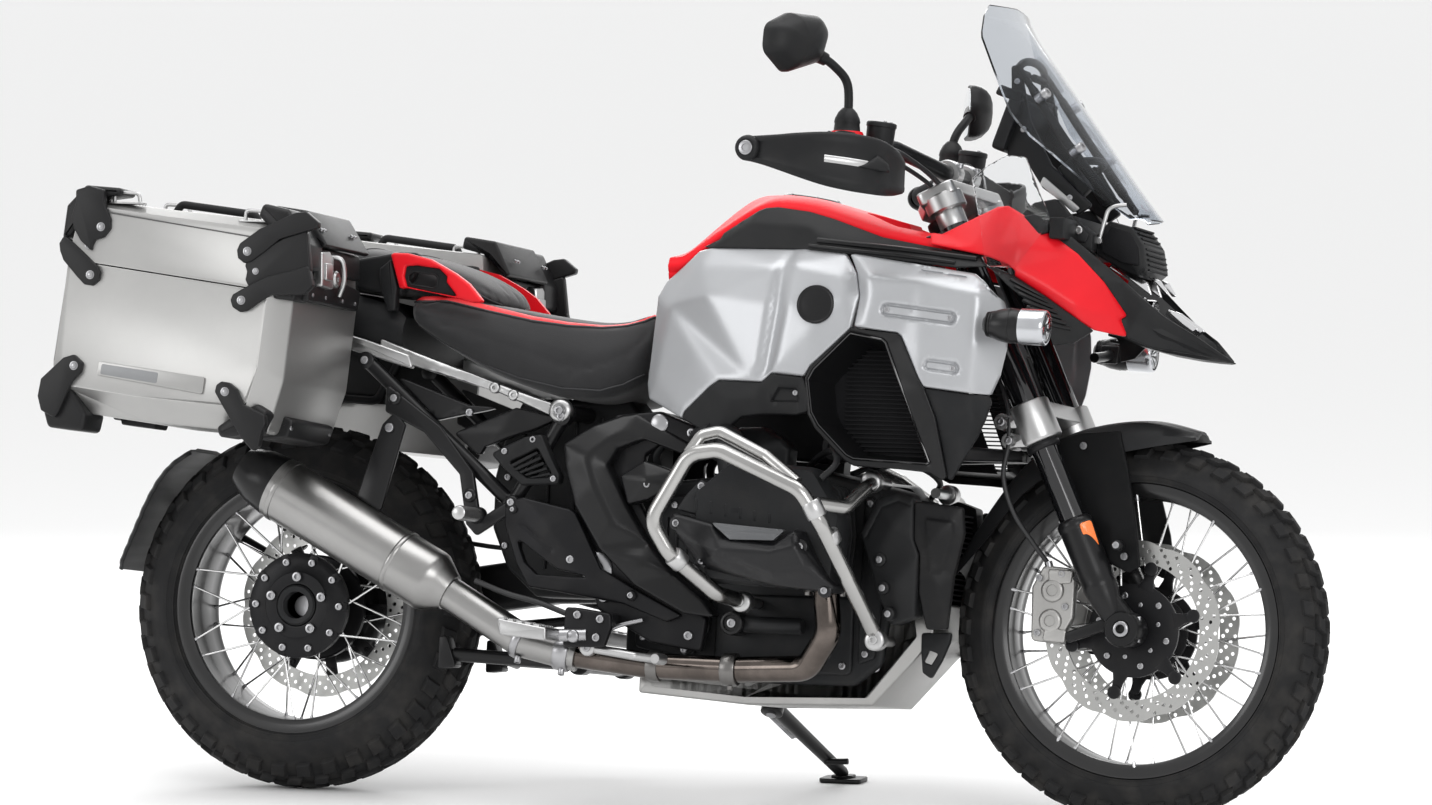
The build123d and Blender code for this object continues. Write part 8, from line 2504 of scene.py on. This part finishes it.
turned(m, (ax[0] + 50 * 0.4415, 0, ax[2] - 50 * 0.8973), tuple(AXD), [(0, 0), (0, 22), (3, 25.5), (25, 25.5), (28, 23), (33, 19), (33, 0)], n=44, mi=0, closed=False)
turned(m, (ax[0] + 38 * 0.4415, 0, ax[2] - 38 * 0.8973), tuple(AXD), [(0, 0), (0, 14.8), (49, 14.8), (50, 13), (50, 0)], n=36, mi=1, closed=False)
# shock absorber and coil spring behind the bridge
sp0, sp1 = Vector((1126, 0, 650)), Vector((1100, 0, 866))
sd = (sp1 - sp0).normalized()
turned(m, tuple(sp0), tuple(sd), [(-14, 0), (-14, 14), (0, 16), (4, 30), (10, 31), (12, 18), (110, 18), (112, 24), (190, 24), (194, 31), (200, 31), (204, 18), (212, 14), (212, 0)], n=40, mi=1, closed=False)
coil = []
e1 = sd.cross(Vector((0, 1, 0))).normalized()
e2 = Vector((0, 1, 0))
for i in range(8 * 20 + 1):
    t = i / (8 * 20)
    ang = t * 8 * 2 * math.pi
    coil.append(tuple(sp0 + sd * (14 + 176 * t) + e1 * (math.cos(ang) * 29) + e2 * (math.sin(ang) * 29)))
tube(m, coil, 5.0, n=12, mi=2)
make("front_link", m, ["black_alloy", "bolt_steel", "black_gloss"], replaces=("front_arm",), sharp=40)

# moulded guard between the frame and the rear wheel
m = Mesh()
ig = [(354, 560), (372, 640), (402, 698), (600, 702), (656, 640), (656, 380), (560, 352), (440, 352), (384, 400), (354, 470)]
plate(m, rounded(ig, 16, 5), -46, 46, edge=10, mi=0, segs=4)
for x in (404, 452, 500, 548, 596):
    plate(m, rounded([(x, 400), (x + 7, 400), (x + 7, 670), (x, 670)], 3, 3), -50, 50, edge=2.5, mi=0)
for x, z in ((380, 440), (380, 560), (428, 660), (524, 380), (620, 420), (620, 610)):
    for s in (-1, 1):
        bolt(m, (x, s * 46, z), (0, s, 0), 6.0, 4.0, mi=1)
make("inner_guard", m, ["black_plastic", "bolt_steel"], sharp=40)

# ---- steering ---------------------------------------------------------------
def f_x(z):
    return 1523.0 - 0.469 * (z - 328.0)


def f_at(z, s=-1):
    return Vector((f_x(z), s * 122.0, z))


def f_turn(m, z0, prof, s=-1, n=48, mi=0):
    d = (f_at(300, s) - f_at(600, s)).normalized()
    turned(m, tuple(f_at(z0, s)), tuple(d), prof, n=n, mi=mi)





def st_at(z, u, w):
    return (1652 - 0.492 * z + u * 0.8973 - w * 0.4415, z + u * 0.4415 + w * 0.8973)


mat("reflector", (0.75, 0.16, 0.02), 0.22, bump=0.5, bscale=1800, coat=0.6)
k1 = 1.0 / 0.9054
m = Mesh()
# upper tube: 1066 down to 706, stanchion 640 down to 508
f_turn(m, 1066, [(-2, 0), (-2, 17), (0, 20), (3, 22), (6, 25.2), (62, 25.2), (64, 24.6), (64, 0)], mi=0)
f_turn(m, 1066, [(63, 0), (63, 24.9), (398 * k1, 24.9), (398 * k1, 0)], mi=2)
f_turn(m, 1068, [(-6, 0), (-6, 9), (-5, 11), (0, 12), (1, 19), (4, 20), (4, 0)], mi=1)
f_turn(m, 644, [(0, 0), (0, 23.2), (140 * k1, 23.2), (140 * k1, 0)], mi=2)
f_turn(m, 640, [(-2, 23), (-2, 28), (2, 29.5), (8, 29.5), (11, 27), (12, 23)], mi=1)
twins("fork_tube", m, ["silver_alloy", "black_alloy", "black_gloss"], body="steering", replaces=("fork_tubes",))

m = Mesh()
f_turn(m, 512, [(0, 22), (0, 27), (3, 29), (5, 31), (16, 31), (19, 29.6), (22, 29.8), (100, 29.8), (118, 29.8), (123, 31.0), (128, 29.6), (140, 28.5), (178, 19), (184, 17), (184, 0), (40, 0), (40, 22)], mi=0)
leg_poly = [(f_x(402) - 19, 402), (f_x(402) + 19, 405), (1556, 345), (1554, 320), (1534, 300), (1512, 320), (1509, 340)]
plate(m, rounded(leg_poly, 9, 5), -134, -103, edge=5, mi=0, segs=3)
turned(m, (1534, -82, 328), (0, -1, 0), [(0, 14), (0, 31), (56, 31), (60, 28), (60, 15.5), (52, 14.5)], n=56, mi=0)
turned(m, (1534, -142, 328), (0, -1, 0), [(-40, 8), (4, 8), (4, 12), (2, 14), (-40, 14)], n=44, mi=1)
for z in (312, 346):
    bolt(m, (1556, -112, z), (1, 0, 0), 6, 5, mi=1)
plate(m, rounded([(1502, 408), (1440, 428), (1434, 410), (1512, 376)], 5, 3), -106, -92, edge=3, mi=0)
plate(m, rounded([(1512, 330), (1430, 302), (1424, 320), (1508, 352)], 5, 3), -106, -92, edge=3, mi=0)
# reflector on a pad
to = plane_map((f_x(485) + 22, -140, 486), (0.55, -0.83, 0), (-0.42, 0, 0.9))
prism(m, rounded([(-11, -24), (11, -24), (11, 24), (-11, 24)], 6, 4), to, -12, 3, edge=1.5, mi=2)
prism(m, rounded([(-13, -27), (13, -27), (13, 27), (-13, 27)], 7, 4), to, -14, 0, edge=1.5, mi=0)
turned(m, (1521, -145, 470), (0, -1, 0), [(-22, 0), (-22, 9), (0, 9), (2, 7), (2, 0)], n=24, mi=0, closed=False)
bolt(m, (1521, -146, 470), (0, -1, 0), 6, 4, mi=1)
twins("fork_leg", m, ["black_satin", "bolt_steel", "reflector"], body="steering", replaces=("fork_legs",))

# bridges, risers and clamps
m = Mesh()
def bridge(z, outline, w0, w1, edge, mi):
    o, n = Vector((st_at(z, 0, 0)[0], 0, st_at(z, 0, 0)[1])), AXD
    f = Vector((0.8973, 0, 0.4415))
    prism(m, outline, lambda u, v, h: o + f * u + Vector((0, v, 0)) + n * h, w0, w1, edge=edge, mi=mi, segs=3)
low = [(-26, -22), (-26, 22), (4, 70), (4, 122), (62, 122), (62, -122), (4, -122), (4, -70)]
up = [(-28, -32), (-28, 32), (-4, 84), (8, 152), (78, 152), (78, -152), (8, -152), (-4, -84)]
low = [(-26, 22), (-26, -22), (4, -70), (4, -122), (62, -122), (62, 122), (4, 122), (4, 70)]
up = [(-28, 32), (-28, -32), (-4, -84), (8, -150), (76, -150), (76, 150), (8, 150), (-4, 84)]
bridge(676, rounded(low, 9, 5), -15, 15, 4, 0)
bridge(1046, rounded(up, 14, 5), -12, 12, 4, 0)
for s in (-1, 1):
    f_turn(m, 706, [(0, 25.8), (0, 35), (2, 38), (6, 38.4), (66, 38.4), (70, 37), (72, 34), (72, 25.8)], s=s, mi=0)
    f_turn(m, 1062, [(0, 25.8), (0, 32), (3, 35), (28, 35), (31, 32), (31, 25.8)], s=s, mi=0)
    # pinch lugs behind each lower clamp with their screws
    for dz in (10, -22):
        cx, cz = f_x(672 + dz) - 46, 664 + dz
        turned(m, (cx, s * 96, cz), (0, s, 0), [(0, 0), (0, 13), (2, 14.5), (54, 14.5), (56, 13), (56, 0)], n=36, mi=0, closed=False)
        bolt(m, (cx, s * 152, cz), (0, s, 0), 7, 6, mi=1)
        plate(m, rounded([(cx, cz - 12), (cx + 34, cz - 10), (cx + 34, cz + 12), (cx, cz + 12)], 3, 3), s * 152 if s < 0 else 98, -98 if s < 0 else s * 152, edge=3, mi=0)
    # riser: foot, neck and two-piece clamp
    a = st_at(1046, -4, 10)
    b = st_at(1046, 50, 10)
    rp = rounded([a, b, (1194, 1108), (1180, 1124), (1158, 1126), (1143, 1112), (1146, 1096)], 8, 4)
    plate(m, rp, -66 if s < 0 else 34, -34 if s < 0 else 66, edge=4, mi=2, segs=3)
    for x, z in ((1187, 1120), (1150, 1122)):
        bolt(m, (x, s * 50, z - 2), (0.1, 0, 1), 6, 6, mi=1)
    turned(m, (1168, s * 33, 1106), (0, s, 0), [(0, 14.4), (0, 21), (2, 23), (32, 23), (34, 21), (34, 14.4)], n=44, mi=2)
top = st_at(1046, 0, 12)
turned(m, (top[0], 0, top[1]), tuple(AXD), [(-4, 0), (-4, 26), (0, 26), (3, 24), (5, 20), (5, 13), (2, 11), (2, 0)], n=44, mi=1)
make("fork_bridge_set", m, ["silver_alloy", "bolt_steel", "silver_alloy"], body="steering", replaces=("fork_bridges",), sharp=40)

# handlebar
half = [(1168, 0, 1106), (1168, -86, 1106), (1118, -212, 1134), (1060, -330, 1128), (952, -476, 1108)]
bar = fillet(half, 60, 9)
m = Mesh()
full = [Vector(p) for p in bar]
full = [Vector((p.x, -p.y, p.z)) for p in reversed(full)] + full[1:]
tube(m, full, 14.0, n=32, mi=0)
make("bar", m, "black_satin", body="steering", replaces=("handlebar",), sharp=60)

b0, b1 = Vector(half[3]), Vector(half[4])
bd = (b1 - b0).normalized()
bl = (b1 - b0).length
m = Mesh()
prof = [(bl * 0.08, 14.2), (bl * 0.08, 22), (bl * 0.095, 23), (bl * 0.115, 22), (bl * 0.12, 17.6)]
t = 0.15
while t < 0.92:
    prof += [(bl * t, 17.2), (bl * (t + 0.005), 18.3), (bl * (t + 0.02), 18.3), (bl * (t + 0.025), 17.2)]
    t += 0.035
prof += [(bl * 0.945, 18.6), (bl * 0.965, 18.6), (bl * 0.97, 14.2)]
turned(m, tuple(b0), tuple(bd), prof, n=36, mi=0)
# switch block: rounded box with buttons
turned(m, tuple(b0 - bd * bl * 0.13), tuple(bd), [(0, 14.2), (0, 21), (3, 24), (28, 24.6), (32, 23), (36, 21), (38, 14.2)], n=40, mi=1)
sp = [(-20, -18), (20, -18), (20, 16), (-20, 16)]
to = plane_map(tuple(b0 - bd * bl * 0.02 + Vector((-22, 0, 6))), (-0.9, 0.0, 0.42))
prism(m, rounded(sp, 6, 4), to, -14, 7, edge=3, mi=1)
for a, b in ((-10, 6), (2, 6), (12, 6), (-6, -8), (8, -8)):
    prism(m, rounded([(a - 4, b - 3), (a + 4, b - 3), (a + 4, b + 3), (a - 4, b + 3)], 1.5, 3), to, 6, 9.5, edge=1, mi=2)
# master cylinder, cup, lever
tube(m, [(1096, -268, 1132), (1112, -310, 1120)], 12, n=24, mi=1)
turned(m, (1108, -268, 1130), (0.09, 0, 1), [(0, 0), (0, 19), (3, 23), (8, 24), (34, 24.6), (35, 26), (41, 26), (43, 24), (43, 0)], n=44, mi=1, closed=False)
for a in (0.6, 2.2, 3.8, 5.4):
    bolt(m, (1111 + 17 * math.cos(a), -268 + 17 * math.sin(a), 1173), (0.09, 0, 1), 3, 1.6, mi=3)
lv = fillet([(1088, -302, 1118), (1112, -326, 1112), (1078, -418, 1102), (1010, -476, 1092)], 26, 7)
n_l = len(lv)
tube(m, lv, [7.6 - 2.2 * i / (n_l - 1) for i in range(n_l)], n=20, mi=1, round_end=1.0)
turned(m, (1010, -477, 1092), (-0.75, -0.65, -0.1), [(-7, 0), (-6, 5), (-3, 8), (0, 9), (4, 8), (7, 5), (8, 0)], n=24, mi=1, closed=False)
turned(m, (1094, -312, 1104), (0, 0, 1), [(0, 0), (0, 10), (2, 11), (24, 11), (26, 10), (26, 0)], n=28, mi=1, closed=False)
bolt(m, (1094, -312, 1130), (0, 0, 1), 5, 4, mi=3)
tube(m, smooth_line([(1122, -276, 1128), (1140, -240, 1122), (1170, -160, 1092), (1200, -110, 1046), (1222, -90, 990)], 7), 4.6, n=14, mi=4)
tube(m, smooth_line([(1094, -272, 1122), (1120, -220, 1112), (1160, -130, 1078), (1186, -80, 1030), (1200, -60, 980)], 7), 4.0, n=14, mi=4)
twins("bar_controls", m, ["rubber", "black_plastic", "black_satin", "bolt_steel", "hose"], body="steering", replaces=("hand_controls",))

# hand guard: a closed shell that follows the plan of the lever
rows = [(950, -486, 1127, 1084), (975, -492, 1128, 1078), (1005, -495, 1130, 1069), (1040, -495, 1133, 1058), (1082, -485, 1136, 1046), (1120, -465, 1136, 1039), (1150, -438, 1132, 1036), (1166, -405, 1126, 1036), (1171, -360, 1116, 1040), (1168, -318, 1104, 1046)]
P = np.array(rows, float)
T = np.linspace(0, len(P) - 1, 46)
def spl(c):
    i = np.clip(T.astype(int), 0, len(P) - 2)
    t = T - i
    a, b = P[np.maximum(i - 1, 0), c], P[i, c]
    d, e = P[i + 1, c], P[np.minimum(i + 2, len(P) - 1), c]
    return 0.5 * (2 * b + (d - a) * t + (2 * a - 5 * b + 4 * d - e) * t * t + (3 * b - a - 3 * d + e) * t ** 3)
X, Y, ZT, ZB = spl(0), spl(1), spl(2), spl(3)
secs = []
for i in range(len(X)):
    j0, j1 = max(i - 1, 0), min(i + 1, len(X) - 1)
    tx, ty = X[j1] - X[j0], Y[j1] - Y[j0]
    q = math.hypot(tx, ty)
    nx, ny = ty / q, -tx / q          # turned outward below
    if ny > 0 and nx < 0 or (nx < 0 and abs(nx) > abs(ny)):
        nx, ny = -nx, -ny
    if ny > 0.2:
        nx, ny = -nx, -ny
    h = ZT[i] - ZB[i]
    pr = [(0.0, 0.5), (2.5, 0.485), (4.6, 0.44), (5.2, 0.30), (4.4, 0.285), (4.4, -0.285), (5.2, -0.30), (4.6, -0.42), (1.0, -0.48), (-4.0, -0.5), (-5.2, -0.46), (-1.2, -0.40), (0.6, 0.0), (-1.2, 0.42), (-2.2, 0.48)]
    zc = (ZT[i] + ZB[i]) / 2
    secs.append([(X[i] + nx * a, Y[i] + ny * a, zc + h * b) for a, b in pr])
m = Mesh()
loft(m, secs, caps=True, closed=True)
# the hood that climbs from the guard to the mirror's foot
hk = [(640, 492, 486), (676, 474, 470), (694, 440, 400), (702, 406, 336), (880, 406, 330), (896, 456, 396), (930, 500, 436), (972, 540, 432), (990, 590, 420), (840, 560, 462), (700, 545, 480), (640, 530, 492), (790, 470, 410)]
f = Facets(hk, [], soft=3.0, view=C34)
skin(m, rounded(f.xz[:12], 5, 3), f, thick=8.0, edge=3.0, res=6.0, step=3.0)
# rounded end with its screw
turned(m, (951, -470, 1106), (-0.08, -1, 0), [(0, 15), (0, 19), (4, 21.5), (26, 22), (32, 20), (35, 16), (35, 13.5), (31, 13.5), (31, 0), (20, 0)], n=48, mi=0)
turned(m, (948, -501, 1106), (-0.08, -1, 0), [(0, 0), (0, 13), (3, 12.4), (4, 10.5), (4, 6), (2.5, 5.4), (2.5, 0)], n=40, mi=1, closed=False)
# pale insert in its slot
ins = see(C34([(655, 556), (938, 580), (944, 600), (934, 622), (655, 596), (648, 576)]), -474)
x0, x1 = min(p[0] for p in ins), max(p[0] for p in ins)
line_i = []
for i in range(len(X)):
    if x0 <= X[i] <= x1 and i < 34:
        line_i.append((X[i], Y[i], (ZT[i] + ZB[i]) / 2))
def bead(c, r, off, mi):
    pts = []
    for (x, y, z) in c:
        i = int(np.argmin(np.hypot(X - x, Y - y)))
        j0, j1 = max(i - 1, 0), min(i + 1, len(X) - 1)
        tx, ty = X[j1] - X[j0], Y[j1] - Y[j0]
        q = math.hypot(tx, ty)
        nx, ny = ty / q, -tx / q
        if ny > 0.2:
            nx, ny = -nx, -ny
        pts.append((x + nx * off, y + ny * off, z))
    secs2 = []
    for x, y, z in pts:
        i = int(np.argmin(np.hypot(X - x, Y - y)))
        j0, j1 = max(i - 1, 0), min(i + 1, len(X) - 1)
        tx, ty = X[j1] - X[j0], Y[j1] - Y[j0]
        q = math.hypot(tx, ty)
        nx, ny = ty / q, -tx / q
        if ny > 0.2:
            nx, ny = -nx, -ny
        ring = [(a * nx, a * ny, b) for a, b in ((1.6, -r * 0.7), (2.6, -r * 0.4), (2.8, 0), (2.6, r * 0.4), (1.6, r * 0.7), (0, r), (-3, r), (-3, -r), (0, -r))]
        secs2.append([(x + a, y + b, z + c2) for a, b, c2 in ring])
    loft(m, secs2, mi=mi, caps=True, closed=True)
if len(line_i) > 3:
    bead(line_i, 7.5, 3.4, 2)
twins("hand_guard", m, ["black_plastic", "bolt_steel", "silver_alloy"], body="steering", replaces=("hand_guards",))
# coloured collar, boot, stem
(cx, cz), (tx2, tz2) = see(C34([(785, 408), (785, 365)]), -303)
m = Mesh()
for s, stem in ((-1, [(1060, -303, 1150), (1062, -303, 1206), (1058, -310, 1240), (1040, -330, 1264), (1022, -346, 1278)]), (1, [(1060, 303, 1150), (1062, 303, 1186), (1068, 310, 1210), (1078, 326, 1232), (1080, 344, 1244)])):
    zb = 1140
    turned(m, (1061, s * 303, zb - 12), (0, 0, 1), [(0, 0), (0, 32), (2, 33), (8, 31), (22, 28.5), (25, 27), (25, 0)], n=52, mi=1, closed=False)
    turned(m, (1061, s * 303, zb + 12), (0, 0, 1), [(0, 0), (0, 25), (2, 23), (14, 21.5), (17, 22.5), (24, 21), (34, 16), (40, 10.5), (42, 8), (42, 0)], n=48, mi=0, closed=False)
    tube(m, smooth_line(stem, 7), 7.6, n=24, mi=0)
make("mirror_stems", m, ["black_plastic", "red_paint"], body="steering", replaces=(), sharp=45)

def mirror(c, side, turn, roll, name, reps):
    w, h = 80, 50
    base = [(-w, -6), (-w * 0.84, h * 0.74), (-w * 0.1, h), (w * 0.78, h * 0.74), (w, 8), (w * 0.62, -h * 0.84), (-w * 0.45, -h)]
    prof2 = [(2.0, 0.90), (0.0, 0.965), (1.5, 1.0), (10, 1.0), (20, 0.95), (30, 0.84), (38, 0.66), (43, 0.42), (45, 0.15)]
    ct, st2 = math.cos(math.radians(turn)), math.sin(math.radians(turn))
    cr, sr = math.cos(math.radians(roll)), math.sin(math.radians(roll))
    def put(d, u, v):
        y, z = u * cr - v * sr, u * sr + v * cr
        return (c[0] + d * ct - y * st2, c[1] + d * st2 + y * ct, c[2] + z)
    ol = rounded(base, 24, 8)
    mm = Mesh()
    loft(mm, [[put(d, u * k, v * k) for u, v in ol] for d, k in prof2], mi=0, caps=True, closed=True)
    gl = [(u * 0.915, v * 0.915) for u, v in ol]
    loft(mm, [[put(d, u * k, v * k) for u, v in gl] for d, k in ((3.0, 0.985), (-0.6, 0.985), (-1.0, 0.97))], mi=1, caps=True, closed=True)
    return mm
mr = mirror((984, -393, 1297), -1, -22, 12, "", ())
ml = mirror((1056, 402, 1254), 1, 22, -6, "", ())
o = len(mr.v)
mr.add(ml.v, ml.f, 0)
nf = len(ml.f)
for i in range(nf):
    mr.m[len(mr.f) - nf + i] = ml.m[i]
for a, b in (((1030, -340, 1272), (1000, -372, 1288)), ((1080, 338, 1240), (1076, 372, 1252))):
    tube(mr, [a, b], [11, 15], n=24, mi=0, round_end=0.6)
make("mirror_heads", mr, ["black_plastic", "mirror_glass"], body="steering", replaces=("mirrors",), sharp=40)

# fender
rows = ((1200, 50, 402, 42, 420), (1262, 66, 470, 56, 520), (1330, 80, 552, 66, 606), (1400, 84, 600, 68, 656), (1470, 84, 622, 68, 678), (1550, 80, 640, 62, 684), (1628, 52, 656, 36, 668))
R = np.array(rows, float)
secs = []
n_s = 44
for i in range(n_s):
    t = i / (n_s - 1) * (len(R) - 1)
    q = min(int(t), len(R) - 2)
    a, b, c, d = R[max(q - 1, 0)], R[q], R[q + 1], R[min(q + 2, len(R) - 1)]
    u = t - q
    x, we, ze, wc, zc = 0.5 * (2 * b + (c - a) * u + (2 * a - 5 * b + 4 * c - d) * u * u + (3 * b - a - 3 * c + d) * u ** 3)
    out_r = [(-we, ze), (-we + 2, ze + 0.45 * (zc - ze)), (-wc - 2, zc - 6), (-wc + 8, zc), (-wc * 0.5, zc + 2), (-wc * 0.42, zc + 4), (0, zc + 6), (wc * 0.42, zc + 4), (wc * 0.5, zc + 2), (wc - 8, zc), (wc + 2, zc - 6), (we - 2, ze + 0.45 * (zc - ze)), (we, ze)]
    th = 4.0
    in_r = [(y * (1 - th / we), z - th) if abs(y) < we else (y - math.copysign(th, y), z) for y, z in reversed(out_r)]
    secs.append([(x, y, z) for y, z in out_r + in_r])
m = Mesh()
loft(m, secs, caps=True, closed=True)
for s in (-1, 1):
    sk = [(1378, 646, 86), (1432, 662, 84), (1502, 668, 84), (1522, 600, 92), (1546, 500, 112), (1556, 436, 116), (1536, 424, 116), (1500, 440, 112), (1462, 500, 104), (1424, 560, 94), (1470, 590, 96), (1510, 500, 116)]
    f = Facets([(x, z, y) for x, z, y in sk], [], soft=2.0)
    mm = Mesh()
    skin(mm, rounded([(x, z) for x, z, y in sk[:10]], 7, 4), f, thick=5.0, edge=2.5, res=8.0, step=4.0)
    for x, z in ((1440, 640), (1528, 452)):
        bolt(mm, (x, -88 if z > 500 else -116, z), (0, -1, 0), 6.5, 4, mi=1)
    if s > 0:
        mm = mm.mirrored()
    oo = len(m.f)
    m.add(mm.v, mm.f, 0)
    for i in range(len(mm.f)):
        m.m[oo + i] = mm.m[i]
make("fender", m, ["black_plastic", "bolt_steel"], body="steering", replaces=("front_fender",), sharp=35)

# calipers and hoses
m = Mesh()
C = (1393.0, 366.0)
cp = rounded([(C[0] - 30, C[1] - 62), (C[0] + 20, C[1] - 66), (C[0] + 44, C[1] - 20), (C[0] + 46, C[1] + 48), (C[0] + 34, C[1] + 64), (C[0] - 12, C[1] + 68), (C[0] - 32, C[1] + 30)], 11, 5)
cq = rounded([(C[0] - 30, C[1] - 62), (C[0] + 18, C[1] - 66), (C[0] + 22, C[1] - 20), (C[0] + 28, C[1] + 14), (C[0] + 42, C[1] + 48), (C[0] + 34, C[1] + 64), (C[0] - 12, C[1] + 68), (C[0] - 32, C[1] + 30)], 9, 5)
for out, y0, y1 in ((cp, -100, -78), (cq, -62, -50)):
    plate(m, out, y0, y1, edge=5, mi=0, segs=3)
for dz in (-40, 42):
    turned(m, (C[0] + 4, -78, C[1] + dz), (0, 1, 0), [(0, 0), (0, 12), (18, 12), (18, 0)], n=24, mi=0, closed=False)
for x, z, r in ((C[0] + 4, C[1] - 27, 18), (C[0] + 6, C[1] + 25, 18)):
    turned(m, (x, -98, z), (0, -1, 0), [(0, 0), (0, r + 3), (3, r + 2.5), (6, r), (7, r - 3), (7, r - 8), (5, r - 9), (5, 0)], n=44, mi=0, closed=False)
for x, z in ((C[0] - 18, C[1] - 48), (C[0] + 30, C[1] - 2), (C[0] - 18, C[1] + 46), (C[0] + 22, C[1] + 54)):
    bolt(m, (x, -100, z), (0, -1, 0), 6, 5, mi=1)
plate(m, rounded([(1390, 428), (1436, 426), (1432, 404), (1392, 400)], 5, 3), -104, -88, edge=3, mi=0)
plate(m, rounded([(1384, 304), (1424, 302), (1428, 324), (1388, 328)], 5, 3), -104, -88, edge=3, mi=0)
tube(m, smooth_line([(1325, -150, 636), (1318, -150, 580), (1336, -142, 520), (1366, -116, 470), (1388, -92, 436)], 7), 4.2, n=16, mi=2)
turned(m, (1388, -92, 436), (0.3, 0, -0.9), [(-4, 0), (-4, 7), (8, 7), (8, 0)], n=24, mi=1, closed=False)
tube(m, smooth_line([(1325, -150, 636), (1322, -146, 690), (1300, -120, 740), (1280, -96, 800)], 7), 4.2, n=16, mi=2)
twins("caliper", m, ["caliper_alloy", "bolt_steel", "hose"], body="steering", replaces=("front_calipers",))

# ---- stands -----------------------------------------------------------------
lam = math.radians(7.7)
upv = Vector((0, -math.sin(lam), math.cos(lam)))
pv = Vector((823.0, 150.0, 180.0))
fc = Vector((880.0, 395.0, 395.0 * math.tan(lam))) - upv * 0.7
reach = fc - pv
stow = Vector((-0.955, 0.27, -0.12)).normalized() * reach.length
sax = reach.cross(stow).normalized()
rd = reach.normalized()
m = Mesh()
L_r = (fc + upv * 15 - pv).length
rd2 = (fc + upv * 15 - pv).normalized()
turned(m, tuple(pv), tuple(rd2), [(0, 0), (0, 15), (24, 13.6), (L_r * 0.5, 12.2), (L_r - 24, 11), (L_r - 8, 11.6), (L_r, 10), (L_r, 0)], n=32, mi=0, closed=False)
turned(m, tuple(pv - sax * 16), tuple(sax), [(0, 0), (0, 17), (2, 20), (30, 20), (32, 18), (32, 0)], n=40, mi=0, closed=False)
turned(m, tuple(pv - sax * 21), tuple(sax), [(0, 0), (0, 7), (1.5, 9), (5, 9), (5, 0)], n=24, mi=1, closed=False)
turned(m, tuple(pv), tuple(sax), [(14, 0), (14, 7.9), (33, 7.9), (34, 7), (34, 0)], n=28, mi=1, closed=False)
to = plane_map(tuple(fc + upv * 0.2), tuple(upv), (1, 0, 0))
prism(m, rounded([(-28, -39), (28, -39), (28, 39), (-28, 39)], 11, 5), to, 0, 8.6, edge=2.5, mi=0, segs=3)
prism(m, rounded([(-15, -20), (15, -20), (15, 20), (-15, 20)], 7, 4), to, 7.6, 13.5, edge=2.5, mi=0, segs=3)
q0 = pv + reach * 0.72
tube(m, smooth_line([tuple(q0), tuple(q0 + Vector((24, 4, 0))), tuple(q0 + Vector((44, 6, 1)))], 5), 5.6, n=18, mi=0, round_end=0.8)
# return spring beside the leg
e1 = sax.cross(rd2).normalized()
coil = []
for i in range(22 * 12 + 1):
    t = i / (22 * 12)
    a = t * 22 * 2 * math.pi
    c = pv + rd2 * (22 + 96 * t) + e1 * 21
    coil.append(tuple(c + e1 * (math.cos(a) * 5.2) + sax * (math.sin(a) * 5.2)))
tube(m, coil, 1.7, n=8, mi=1)
for t in (20, 120):
    tube(m, [tuple(pv + rd2 * t), tuple(pv + rd2 * t + e1 * 22)], 3.4, n=14, mi=1)
make("side_stand", m, ["black_satin", "bolt_steel"], body="side_stand", replaces=("side_stand_leg",), sharp=40)

m = Mesh()
cx0, cz0 = 556.0, 236.0
for s in (-1, 1):
    tube(m, [(cx0, s * 114, cz0), (cx0 - 234, s * 118, cz0 + 8)], 12, n=28, mi=0)
    foot = [(cx0 - 258, cz0 - 18), (cx0 - 258, cz0 + 40), (cx0 - 244, cz0 + 40), (cx0 - 224, cz0 - 14)]
    plate(m, rounded(foot, 5, 3), s * 136 if s < 0 else 102, -102 if s < 0 else 136, edge=3, mi=0, segs=3)
    turned(m, (cx0, s * 98, cz0), (0, s, 0), [(0, 0), (0, 19), (2, 20), (30, 20), (32, 18), (32, 0)], n=36, mi=0, closed=False)
    bolt(m, (cx0, s * 130, cz0), (0, s, 0), 8, 5, mi=1)
    plate(m, rounded([(cx0 - 96, cz0 - 8), (cx0 - 40, cz0 - 12), (cx0 - 40, cz0 + 14), (cx0 - 96, cz0 + 10)], 5, 3), s * 116 if s < 0 else 106, -106 if s < 0 else 116, edge=3, mi=0)
tube(m, [(cx0 - 64, -116, cz0), (cx0 - 64, 116, cz0)], 10, n=26, mi=0)
tube(m, [(cx0, -126, cz0), (cx0, 126, cz0)], 15.8, n=32, mi=0)
tube(m, fillet([(cx0 - 222, 118, cz0 + 4), (cx0 - 224, 150, cz0 + 2), (cx0 - 226, 178, cz0)], 8, 3), 8, n=20, mi=0, round_end=0.8)
make("centre_stand", m, ["black_satin", "bolt_steel"], body="centre_stand", replaces=("centre_stand_frame",), sharp=40)

# ---- finish -------------------------------------------------------------
for name in frame["nodes"]:
    ob = frame["nodes"][name]
    for s in ob.material_slots:
        base = s.material.name.split(".")[0] if s.material else ""
        s.material = MATS.get(base, MATS["black_plastic"])
with open("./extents.json", "w") as fh:
    lo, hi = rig.bounds()
    json.dump({"cad": [CAD_LO, CAD_HI], "visual": [list(lo), list(hi)]}, fh)
tot = 0
for o in bpy.context.scene.objects:
    if o.type == "MESH" and not o.hide_render and "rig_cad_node" not in o:
        tot += sum(len(p.vertices) - 2 for p in o.data.polygons)
print("added triangles before modifiers", tot, "pieces", len(bpy.context.scene.objects))
print("plain CAD still showing:", [n for n in frame["nodes"] if not frame["nodes"][n].hide_render])
